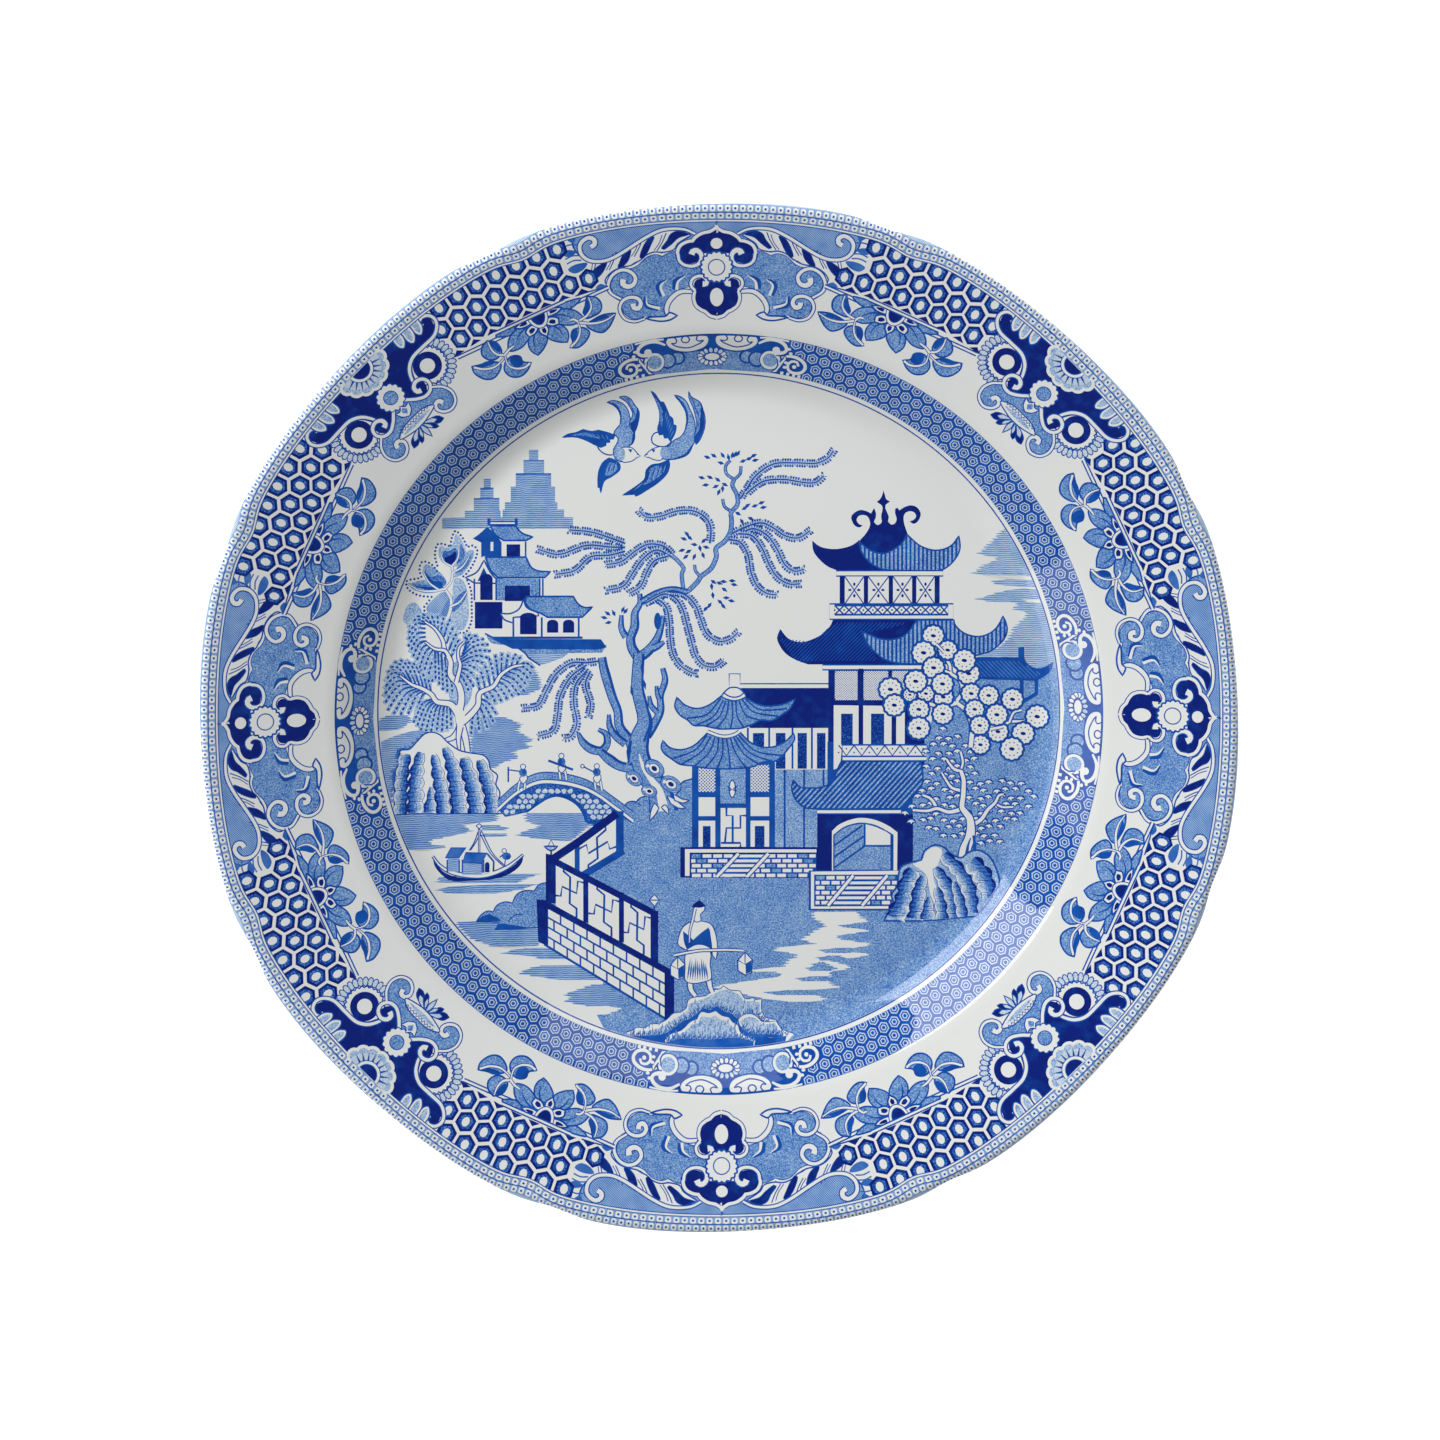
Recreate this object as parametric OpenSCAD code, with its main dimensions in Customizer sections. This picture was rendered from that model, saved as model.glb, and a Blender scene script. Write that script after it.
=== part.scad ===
// Rimmed china dinner plate, 266 mm across the lip, with a softly shaped edge.
// It is built in the layers that the pottery puts together: the fired biscuit body,
// the cobalt transfers laid on its face, and the glaze that seals them in.

/* [Plate] */
// Lip radius at the middle of each of the eight sides
lip_r = 132.8; // [120:0.1:145]
// Height that the rim's slope reaches at the lip's radius, before the lip rounds over
plate_h = 26.2; // [23:0.1:30]
// Radius where the flat floor of the well ends
floor_r = 81; // [76:0.5:82]
// Radius where the well wall has turned into the rim
shoulder_r = 101; // [99.5:0.5:101]
// Height that the well wall climbs
well_rise = 8.8; // [6:0.1:10]

/* [Edge] */
// Number of sides of the shaped edge
sides = 8; // [6:1:10]
// How far each corner stands outside the sides
corner_out = 1.5; // [0:0.1:3]
// Depth of the small dip at each corner
notch_depth = 0.9; // [0:0.1:1.2]
// Half width of the dip in degrees
notch_half = 2.8; // [2:0.1:5]
// Turn of the edge's corners from the +X axis, in degrees
corner_turn = 26.25; // [0:3.75:41.25]
// Radius of the rounded lip
lip_round = 1.6; // [1.2:0.1:1.8]

/* [Wall] */
// Wall thickness under the floor
floor_wall = 4.4; // [3.6:0.1:5]
// Wall thickness near the lip
rim_wall = 3.3; // [2.8:0.1:3.6]
// Thickness of the glaze
glaze = 0.22; // [0.15:0.01:0.4]
// Thickness of the printed colour
ink = 0.04; // [0.02:0.01:0.08]

/* [Foot ring] */
// Outer radius of the foot ring's resting edge
foot_out = 77.4; // [74:0.1:78]
// Width of the foot ring's resting edge
foot_w = 2.8; // [2:0.1:4]
// Height of the recess inside the foot ring
foot_h = 1.8; // [1.2:0.1:2.4]

/* [Prints] */
// Outer radius of the centre scene
scene_r = 86.2; // [84:0.1:86.2]
// Outer radius of the honeycomb band on the well wall
band_r = 98.6; // [96:0.1:99]
// Inner radius of the rim border
border_r = 101.6; // [101.2:0.1:103]
// Angle of the first joint between the rim border's quarters, in degrees
border_joint = 67.5; // [0:3.75:86.25]

/* [Hidden] */

step_deg = 3.75;                    // one section of the plate every 3.75 degrees
quarter = 90;
floor_z = foot_h + floor_wall;      // finished face of the well's floor
rim_start_r = 90;                   // the rim's slope begins to show inside the wall's curve
rim_full_r = shoulder_r + 3;        // and is complete here
rim_run = rim_full_r - rim_start_r;
rim_slope = (plate_h - floor_z - well_rise) / (lip_r - rim_full_r + rim_run / 2);
stretch_r = 112;                    // outside this radius the rim follows the shaped edge
foot_in = foot_out - foot_w;
foot_flare = 0.9;                   // how much wider the ring is at its root, each side
bare_h = 0.5;                       // height of the ring's unglazed edge

cobalt = [0.10, 0.27, 0.62];
china = [0.93, 0.93, 0.90];
biscuit = [0.88, 0.85, 0.79];

function smooth(t) = let (c = min(1, max(0, t))) c * c * (3 - 2 * c);
function ease(t) = let (c = min(1, max(0, t))) c * c * c - c * c * c * c / 2;

// Height of the finished face at radius r.
function face_z(r) = floor_z
    + well_rise * smooth((r - floor_r) / (shoulder_r - floor_r))
    + rim_slope * (rim_run * ease((r - rim_start_r) / rim_run) + max(0, r - rim_full_r));

// Wall thickness at radius r, and height of the finished underside.
function wall(r) = floor_wall + (rim_wall - floor_wall) * smooth((r - floor_r) / (lip_r - floor_r));
function under_z(r) = face_z(r) - wall(r);

// How far the edge stands outside lip_r at angle a: soft corners, each with a small dip.
function from_corner(a) = let (p = 360 / sides, t = (a - corner_turn) / p) (t - round(t)) * p;
function edge_out(a) = let (u = from_corner(a))
    corner_out * (0.5 + 0.5 * cos(sides * u)) - notch_depth * exp(-pow(u / notch_half, 2));

// A point of a section at angle a, stretched outwards with the edge beyond stretch_r.
function place(p, a) =
    let (s = max(0, (p[0] - stretch_r) / (lip_r - stretch_r)), r = p[0] + edge_out(a) * s * s)
    [r * cos(a), r * sin(a), p[1]];

// Radii where the face and the underside have a ring of vertices.
face_radii = [floor_r, 84.5, 88, 91, 94, 97, shoulder_r, 106, 118, 128];
under_radii = [120, 106, shoulder_r, 96, 91, 86, 81];

// Centre of the lip's rounding, and points on an arc of radius q about it.
lip_c = [lip_r - lip_round, face_z(lip_r - lip_round) - lip_round * 1.05];
function lip_arc(q, from, to, n) = [
    for (i = [0 : n]) let (b = from + (to - from) * i / n) [lip_c[0] + q * cos(b), lip_c[1] + q * sin(b)]
];

// The face, sunk by depth d, from the floor's edge out to the lip.
function face_line(d) = [for (r = face_radii) [r, face_z(r) - d]];
function under_line(d) = [for (r = under_radii) [r, under_z(r) + d]];

// Outer radius of the rim border.
lip_print_r = 130.4;

// The glaze's inner surface: on the prints where there are any, and on the bare body elsewhere.
function bed(r, on) = [r, face_z(r) - glaze + (on ? ink : 0)];
bed_line = concat(
    [for (r = face_radii) if (r < band_r) bed(r, true)],
    [bed(band_r, true), bed(band_r, false), bed(shoulder_r, false), bed(border_r, false), bed(border_r, true)],
    [for (r = face_radii) if (r > border_r) bed(r, true)],
    [bed(lip_print_r, true), bed(lip_print_r, false)]
);

// Solid of revolution with the shaped edge, from a section that starts and ends on the axis.
module full_turn(top_z, line, bottom_z) {
    n = 360 / step_deg;
    m = len(line);
    points = concat(
        [for (i = [0 : n - 1], p = line) place(p, i * step_deg)],
        [[0, 0, top_z], [0, 0, bottom_z]]
    );
    sides_f = [
        for (i = [0 : n - 1], j = [0 : m - 2])
            let (a = i * m + j, b = ((i + 1) % n) * m + j) each [[a, a + 1, b + 1], [a, b + 1, b]]
    ];
    caps = [
        for (i = [0 : n - 1])
            let (a = i * m, b = ((i + 1) % n) * m)
                each [[n * m, a, b], [n * m + 1, b + m - 1, a + m - 1]]
    ];
    polyhedron(points, concat(sides_f, caps), 4);
}

// Ring with the shaped edge, from a closed section: a whole turn, or the sector from a0 over turn.
module ring(line, a0, turn) {
    m = len(line);
    n = turn / step_deg;
    whole = turn == 360;
    rows = whole ? n : n + 1;
    points = [for (i = [0 : rows - 1], p = line) place(p, a0 + i * step_deg)];
    sides_f = [
        for (i = [0 : n - 1], j = [0 : m - 1])
            let (a = i * m, b = ((i + 1) % rows) * m, k = (j + 1) % m)
                each [[a + j, a + k, b + k], [a + j, b + k, b + j]]
    ];
    ends = whole ? [] : [
        [for (j = [m - 1 : -1 : 0]) j],
        [for (j = [0 : m - 1]) n * m + j]
    ];
    polyhedron(points, concat(sides_f, ends), 4);
}

// The fired clay: floor, well wall, rim and foot ring in one piece.
module biscuit_body() {
    color(biscuit)
        full_turn(floor_z - glaze, concat(
            face_line(glaze),
            lip_arc(lip_round - glaze, 72, -80, 4),
            under_line(glaze),
            [
                [foot_out + foot_flare, foot_h + 0.2],
                [foot_out + foot_flare / 2, bare_h],
                [foot_out, 0],
                [foot_in, 0],
                [foot_in - foot_flare / 2, bare_h],
                [foot_in - foot_flare, foot_h + glaze]
            ]
        ), foot_h + glaze);
}

// Glaze over the face, from the middle of the well to the tip of the lip.
module face_glaze() {
    tip = 0;
    color(china, 0.6)
        full_turn(floor_z, concat(
            face_line(0),
            lip_arc(lip_round, 72, tip, 2),
            lip_arc(lip_round - glaze, tip, 72, 2),
            [for (i = [len(bed_line) - 1 : -1 : 0]) bed_line[i]]
        ), floor_z - glaze + ink);
}

// Glaze under the rim, from the tip of the lip in to the side of the foot ring.
module underside_glaze() {
    inner = concat(lip_arc(lip_round - glaze, 0, -80, 2), under_line(glaze),
        [[foot_out + foot_flare, foot_h + 0.2], [foot_out + foot_flare / 2, bare_h]]);
    outer = concat(lip_arc(lip_round, 0, -80, 2), under_line(0),
        [[foot_out + foot_flare + glaze, foot_h - 0.05], [foot_out + foot_flare / 2 + glaze, bare_h]]);
    color(china)
        ring(concat(outer, [for (i = [len(inner) - 1 : -1 : 0]) inner[i]]), 0, 360);
}

// Glaze on the recess inside the foot ring.
module recess_glaze() {
    color(china)
        translate([0, 0, foot_h])
            cylinder(h = glaze, r = foot_in - foot_flare - 0.05, $fn = 180);
}

// A layer of printed colour between two radii, from angle a0 over turn.
module print_sector(r0, r1, a0, turn) {
    top = concat([bed(r0, true)], [for (r = face_radii) if (r > r0 && r < r1) bed(r, true)], [bed(r1, true)]);
    bottom = [for (i = [len(top) - 1 : -1 : 0]) top[i] - [0, ink]];
    color(cobalt)
        ring(concat(top, bottom), a0, turn);
}

module scene_transfer() {
    line = concat([for (r = face_radii) if (r < scene_r) bed(r, true)], [bed(scene_r, true)]);
    color(cobalt)
        full_turn(floor_z - glaze + ink, concat(line, [
            for (i = [len(line) - 1 : -1 : 0]) line[i] - [0, ink]
        ]), floor_z - glaze);
}

module band_transfer(k) { print_sector(scene_r, band_r, quarter * k, quarter); }

module border_transfer(k) { print_sector(border_r, lip_print_r, border_joint + quarter * k, quarter); }

biscuit_body();
face_glaze();
underside_glaze();
recess_glaze();
scene_transfer();
band_transfer(0);  // band_transfer_1
band_transfer(1);  // band_transfer_2
band_transfer(2);  // band_transfer_3
band_transfer(3);  // band_transfer_4
border_transfer(0);  // border_transfer_1
border_transfer(1);  // border_transfer_2
border_transfer(2);  // border_transfer_3
border_transfer(3);  // border_transfer_4
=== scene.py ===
"""Looks of the blue printed china plate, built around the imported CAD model."""
import math
import bpy
import numpy as np
from mathutils import Matrix, Vector
from mathutils.geometry import delaunay_2d_cdt


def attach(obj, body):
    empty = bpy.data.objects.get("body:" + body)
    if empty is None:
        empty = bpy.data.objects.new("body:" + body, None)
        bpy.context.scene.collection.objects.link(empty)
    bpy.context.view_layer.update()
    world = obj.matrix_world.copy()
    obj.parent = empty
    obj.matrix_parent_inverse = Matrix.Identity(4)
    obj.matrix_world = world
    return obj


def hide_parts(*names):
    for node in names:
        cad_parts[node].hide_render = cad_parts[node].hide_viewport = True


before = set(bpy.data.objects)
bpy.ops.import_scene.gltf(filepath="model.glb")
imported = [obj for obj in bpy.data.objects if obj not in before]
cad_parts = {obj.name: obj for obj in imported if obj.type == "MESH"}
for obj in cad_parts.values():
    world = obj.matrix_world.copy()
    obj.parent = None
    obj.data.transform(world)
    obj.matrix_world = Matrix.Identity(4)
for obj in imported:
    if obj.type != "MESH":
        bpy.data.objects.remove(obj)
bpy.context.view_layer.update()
MM = 0.001


# === drawing tools: every print is a list of closed outlines, later ones over earlier ones ===
# An ink is (how much cobalt, which grain): grain 0 is solid, 1 stippled, 2 ruled, 3 hatched.
WHITE = (0.0, 0)
FAINT = (0.16, 1)
PALE = (0.32, 1)
MID = (0.52, 1)
HATCH = (0.5, 3)
BLEED = (0.2, 0)    # the faint blue that flows out between close fine lines
LAND = (0.5, 1)
WATER = (0.5, 2)
ROOF = (0.42, 1)    # the pale side of a big roof
ROOM = (0.93, 1)    # what is seen through a window
FINE = (0.66, 0)    # single fine strokes
WASH = (0.72, 0)
DEEP = (0.84, 0)
SOLID = (1.0, 0)

dark_weight = 1.25    # engraved lines spread a little when the print is fired

art = []


def smooth(points, closed=False, step=0.6):
    """Curve through the points. A point with a third value is a corner."""
    rows = [tuple(p) for p in points]
    if closed:
        first = next((i for i, p in enumerate(rows) if len(p) > 2), 0)
        rows = rows[first:] + rows[:first + 1]
    flat = np.array([p[:2] for p in rows], float)
    last = len(rows) - 1
    cuts = [0] + [i for i in range(1, last) if len(rows[i]) > 2] + [last]
    looped = closed and len(rows[0]) < 3 and len(cuts) == 2
    out = []
    for a, b in zip(cuts, cuts[1:]):
        run = flat[a:b + 1]
        if looped:
            run = np.vstack([run[-2], run, run[1]])
        else:
            run = np.vstack([2 * run[0] - run[1], run, 2 * run[-1] - run[-2]])
        gap = np.maximum(np.linalg.norm(np.diff(run, axis=0), axis=1), 1e-6)
        t = np.concatenate([[0], np.cumsum(np.sqrt(gap))])
        slope = (run[2:] - run[:-2]) / (t[2:] - t[:-2])[:, None]
        for i in range(len(run) - 3):
            h = t[i + 2] - t[i + 1]
            n = max(1, int(round(gap[i + 1] / step)))
            u = (np.arange(n) / n)[:, None]
            p, q = run[i + 1], run[i + 2]
            m, k = slope[i] * h, slope[i + 1] * h
            out.append(p * (2 * u**3 - 3 * u**2 + 1) + m * (u**3 - 2 * u**2 + u)
                       + q * (3 * u**2 - 2 * u**3) + k * (u**3 - u**2))
    if not closed:
        out.append(flat[-1:])
    return np.vstack(out)


def straight(points, closed=False):
    """The points as they are; it takes the same arguments as smooth, and needs no closing."""
    return np.array([p[:2] for p in points], float)


def put(ink, outline):
    """Adds a closed outline to the drawing."""
    art.append((np.asarray(outline, float), ink))


def fill(ink, points, shape=smooth):
    put(ink, shape(points, True))


def box(ink, x0, y0, x1, y1):
    put(ink, [(x0, y0), (x1, y0), (x1, y1), (x0, y1)])


def oval(ink, x, y, rx, ry=0, turn=0, n=0):
    n = n or max(8, int(2 + (rx + (ry or rx)) * 4))
    a = np.arange(n) * 2 * np.pi / n
    c, s = math.cos(math.radians(turn)), math.sin(math.radians(turn))
    u, v = rx * np.cos(a), (ry or rx) * np.sin(a)
    put(ink, np.stack([x + u * c - v * s, y + u * s + v * c], 1))


def ribbon(path, width, closed=False):
    """Outline of a stroke along path; width is one number, or several spread along it."""
    if closed:
        path = np.vstack([path, path[:1]])
        way = np.roll(path[:-1], -1, 0) - np.roll(path[:-1], 1, 0)
        way = np.vstack([way, way[:1]])
    else:
        way = np.gradient(path, axis=0)
    way = way / np.maximum(np.linalg.norm(way, axis=1), 1e-9)[:, None]
    side = np.stack([-way[:, 1], way[:, 0]], 1)
    spread = np.atleast_1d(np.asarray(width, float))
    along = np.linspace(0, len(spread) - 1, len(path)) if len(spread) > 1 else np.zeros(len(path))
    half = np.interp(along, np.arange(len(spread)), spread)[:, None] / 2
    return np.vstack([path + side * half, (path - side * half)[::-1]])


def line(ink, width, points, shape=smooth, closed=False):
    weight = dark_weight if ink[0] > 0.6 else 1.0
    put(ink, ribbon(shape(points, closed), np.asarray(width, float) * weight, closed))


def edged(ink, width, rim_ink, rim, points, shape=smooth, closed=False):
    """A stroke with a thinner stroke of another ink along both of its sides."""
    path = shape(points, closed)
    wide = np.asarray(width, float) + 2 * rim * dark_weight
    put(rim_ink, ribbon(path, wide, closed))
    put(ink, ribbon(path, width, closed))


def patch(ink, line_ink, width, points, shape=smooth):
    """A filled outline with a line round it."""
    path = shape(points, True)
    put(ink, path)
    put(line_ink, ribbon(path, width * 0.95, True))


def taken(mark):
    """Takes the shapes drawn since mark off the list."""
    shapes = art[mark:]
    del art[mark:]
    return shapes


# === rim border: drawn flat for one eighth of the rim, x along it at radius flat_r, y the radius ===
flat_r = 116.0
eighth = math.radians(45) * flat_r


def wave(x):
    """How far the border's edge stands out at x, with a dip in the middle of each swelling."""
    a = np.degrees(np.asarray(x, float) / flat_r)
    from_dip = (a % 45) - 22.5
    return 1.55 * (0.5 - 0.5 * np.cos(np.radians(8 * a))) - 1.35 * np.exp(-((from_dip / 2.3) ** 2))


bead_r = 131.75


def strip(ink, low, high):
    """A strip along the wave, between two distances from the outer row of beads."""
    x = np.linspace(0, eighth, 92)
    edge = bead_r + wave(x)
    put(ink, np.vstack([np.stack([x, edge + high], 1), np.stack([x, edge + low], 1)[::-1]]))


def scallops(x, y, radius, bump, count, turn=0):
    """Outline of a disc with count rounded petals."""
    a = np.radians(np.arange(count * 6) * 60 / count + turn)
    r = radius + bump * np.abs(np.cos(a * count / 2 - math.radians(turn) * count / 2))
    return np.stack([x + r * np.cos(a), y + r * np.sin(a)], 1)


def scroll(points, width, ink=WHITE):
    """A ribbon that ends in a curl, with fine blue edges."""
    edged(ink, width, DEEP, 0.24, points)


def leaf(blade, rib, shade):
    """A leaf with a stippled blade, a dark half and a white rib."""
    patch(MID, DEEP, 0.5, blade)
    fill(DEEP, shade)
    edged(WHITE, (0.25, 0.5, 0.55), DEEP, 0.17, rib)


def cartouche():
    """The cloud of scrolls beside the middle ornament, and the garland over it."""
    put(HATCH, [(0, 119), (34, 119), (34, 131), (0, 131)])
    cloud = [(5, 112), (8.7, 111.2), (11.2, 110.4), (13.3, 109), (14.6, 107), (15, 105.2), (14.3, 104.2, 1),
             (16, 104.2), (18, 104.6), (20.2, 105.2, 1), (22, 104.8), (24, 105.2), (25.6, 106.6),
             (26, 108.2), (25.3, 109.8), (24.4, 110.4, 1), (26.2, 111.6), (27.4, 113.4), (27.4, 115.2),
             (26.4, 117), (24.5, 118), (21.2, 118, 1), (19.6, 118.5), (18.4, 119.4, 1), (17, 120.3),
             (15, 120.6), (13.4, 119.9, 1), (11.6, 120.6), (9, 120.8), (3, 119), (2.5, 114)]
    path = smooth(cloud, True)
    put(DEEP, ribbon(path, 2.1, True))
    put(WHITE, ribbon(path, 1.55, True))
    put(DEEP, ribbon(path, 0.45, True))
    put(MID, path)
    garland = [(6, 124.8, 1), (8.5, 126.2), (11.5, 126.8), (15, 126.2), (18.5, 124.6), (22, 123),
               (25, 121.8), (28, 121.6), (31, 122.5), (33.5, 126), (33.5, 131, 1), (38, 131, 1),
               (38, 114.8, 1), (28.4, 114.8, 1), (28.6, 116.5), (26.6, 118.2), (24, 118.9), (21.5, 118.9),
               (20.3, 119.4), (18.9, 119.8), (17.5, 120.8), (15.2, 121.4), (13, 121), (10.4, 121.4),
               (9.4, 122.8), (7.5, 124)]
    patch(WHITE, DEEP, 0.4, garland)
    for shade in ([(6.6, 125.1), (9, 126.2), (10.8, 125.6), (11.8, 124), (13.4, 122.1), (12.8, 121.7),
                   (10.8, 122.9), (9, 124.4)],
                  [(14.7, 125.4), (16.2, 125), (17.8, 123), (18.9, 120.5), (18.2, 120.1), (16.8, 121.6),
                   (15.6, 123.6)],
                  [(20.7, 123.1), (22.7, 122.2), (24, 120.3), (24.7, 119.1), (23.7, 118.9), (21.9, 120.2),
                   (21, 121.8)],
                  [(27, 121.2), (29.4, 120.6), (31.6, 119.2), (31.3, 117.6), (29.8, 117.9), (28, 119.4)]):
        patch(SOLID, DEEP, 0.2, shade)
    for shade in ([(31.6, 122.2), (34.5, 122.7), (36.6, 122), (35.4, 120.5), (33, 120.8)],
                  [(33.3, 125.8), (35, 126.9), (36.8, 126.6), (36, 125.3), (34.4, 125.2)],
                  [(28.7, 115), (30, 116), (31.5, 115.1)], [(32.6, 129.6), (33.4, 128.2), (34.6, 129.6)]):
        fill(WASH, shade)
    for x, y in ((10.3, 123.6), (16, 123), (22.7, 120.9), (28, 119.6)):
        line(DEEP, 0.22, [(x + 1.5, y + 2.4), (x + 2.6, y + 0.2), (x + 4.2, y - 2)])
        line(DEEP, 0.18, [(x + 2.5, y + 2), (x + 3.4, y), (x + 4.9, y - 1.8)])
    for y in (123.3, 124.6, 127.6):
        line(WASH, 0.3, [(32.8, y), (34.6, y + 0.5), (36.4, y + 0.2)])
    scroll([(5, 125.1), (7.2, 126.4), (10.2, 126.95), (13.2, 126.8), (16.7, 125.5), (20.7, 123.6),
            (24.7, 122), (27.7, 121.6), (30.7, 122.5), (32.3, 124.5), (32.3, 126.8), (31.2, 128.1),
            (29.6, 128.5), (28.6, 127.6), (28.8, 126.4), (29.8, 126)], (0.5, 0.7, 0.75, 0.75, 0.8, 1.2))
    scroll([(25.6, 110.6), (27.9, 112.8), (28.2, 115), (26.6, 117.3), (24, 118.2), (21.9, 117.3),
            (20.9, 115.4), (21.8, 113.8), (23.4, 113.6), (24.4, 114.6), (24, 115.7)],
           (0.5, 0.7, 0.75, 0.9, 1.5))
    scroll([(20.6, 104.4), (23.5, 104.2), (26, 105.5), (26.8, 108), (25.7, 110), (23.5, 110.7), (21.4, 110),
            (20.8, 108.5), (21.7, 107.4), (22.9, 107.8), (22.9, 108.9)], (0.4, 0.6, 0.7, 0.9, 1.4))
    scroll([(6, 109.9), (9.6, 110.2), (12, 109), (13.6, 107.2), (14.1, 105.4), (13.4, 104)],
           (0.7, 0.9, 1.1, 1.1, 0.8))
    patch(WHITE, DEEP, 0.5, [(11.2, 104, 1), (13.3, 105), (14.6, 104.2), (18.4, 104.5), (20.4, 104.5, 1),
                             (18.6, 103.7), (16, 103), (13.3, 103.1)])
    for points in ([(8.2, 114.4), (10.3, 113), (10.9, 110.9)], [(13, 113.8), (15, 112.4), (14.5, 109.6)],
                   [(19.2, 110.2), (19.2, 108), (16, 106.5)]):
        line(DEEP, (0.2, 1.4, 1.1), [(x + 0.3, y) for x, y in points])
        line(WHITE, (0.1, 0.6, 0.8), [(x - 0.2, y - 0.1) for x, y in points])


def middle_ornament():
    """Half of the crown, the lobed flower and the rosette between them."""
    crown = [(0, 126.2, 1), (1.4, 125.3), (3.2, 124.9), (4.8, 123.9), (5.5, 123, 1), (7, 122.8), (8.5, 122),
             (9.2, 120.5), (9, 118.9), (8, 117.8), (6.4, 117.4), (4.6, 118), (4, 119.6), (2, 120), (0, 120)]
    flower = [(0, 113.2), (3.6, 113.3), (5.2, 113.1), (6, 112), (5.8, 110.6), (5.5, 109.9, 1), (5.9, 108.2),
              (5.4, 106.4), (4, 105.3, 1), (2.9, 104.8), (1.8, 103.8), (0, 103.3)]
    for half in (crown, flower):
        path = smooth(half)
        put(DEEP, ribbon(path, 2.1))
        put(WHITE, ribbon(path, 1.6))
    for half in (crown, flower):
        put(SOLID, smooth(half))
    fill(WHITE, [(0, 128.3, 1), (0.35, 127.1), (1.2, 126), (2.2, 125.5), (1.6, 125.2), (0, 126.2, 1)])
    line(DEEP, (0.5, 0.2), [(0, 128.5), (0, 127.3)], straight)
    scroll([(9.5, 120.2), (9.3, 118.4), (8.2, 117.2), (6.4, 116.7), (4.7, 117.1), (3.8, 118.4),
            (3.9, 119.9), (4.8, 120.8), (5.8, 120.6), (6.2, 119.8)], (0.7, 0.7, 0.8, 1, 1.5))
    scroll([(5.8, 110.2), (6.8, 111.6), (6.4, 113.2), (4.8, 114), (3.2, 113.7), (2.4, 112.7), (2.8, 111.9),
            (3.7, 111.9)], (0.7, 0.7, 0.8, 1.5))


def whole_ornament():
    """The parts of the middle ornament that stand on its axis."""
    oval(WHITE, 0, 122.5, 1.45)
    oval(WHITE, 0, 108.3, 1.85, 2.45)
    patch(WHITE, DEEP, 0.5, scallops(0, 116.3, 3.75, 0.45, 18), straight)
    oval(DEEP, 0, 116.2, 2.25)
    oval(WHITE, 0, 116.2, 1.95)


def honeycomb():
    """Three rows of cells, each with a pale heart, over a double line."""
    pitch, half, start = 5.09, 2.22, 32.4
    put(WHITE, [(37, 114.7), (71.5, 114.7), (71.5, 130.6), (37, 131)])
    for row, y, first, count in ((0, 118.1, 0, 8), (1, 122.9, 1.5, 7), (2, 127.9, 1, 7)):
        for k in range(count):
            x = start + pitch * (first + k)
            for ink, size in ((SOLID, 1), ((0.78, 1), 0.72)):
                w, low, high = half * size, 1.4 * size, 2.8 * size
                put(ink, [(x - w, y - low), (x, y - high), (x + w, y - low), (x + w, y + low),
                          (x, y + high), (x - w, y + low)])
            oval(WHITE, x, y, 0.92, 1.3, 0, 10)
            if row == 0:
                put(SOLID, [(x + 0.9, 114.9), (x + pitch - 0.9, 114.9), (x + pitch / 2, 116.2)])
    edged(WHITE, 0.5, DEEP, 0.3, [(28.2, 114.5), (71.6, 114.5)], straight)


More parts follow.
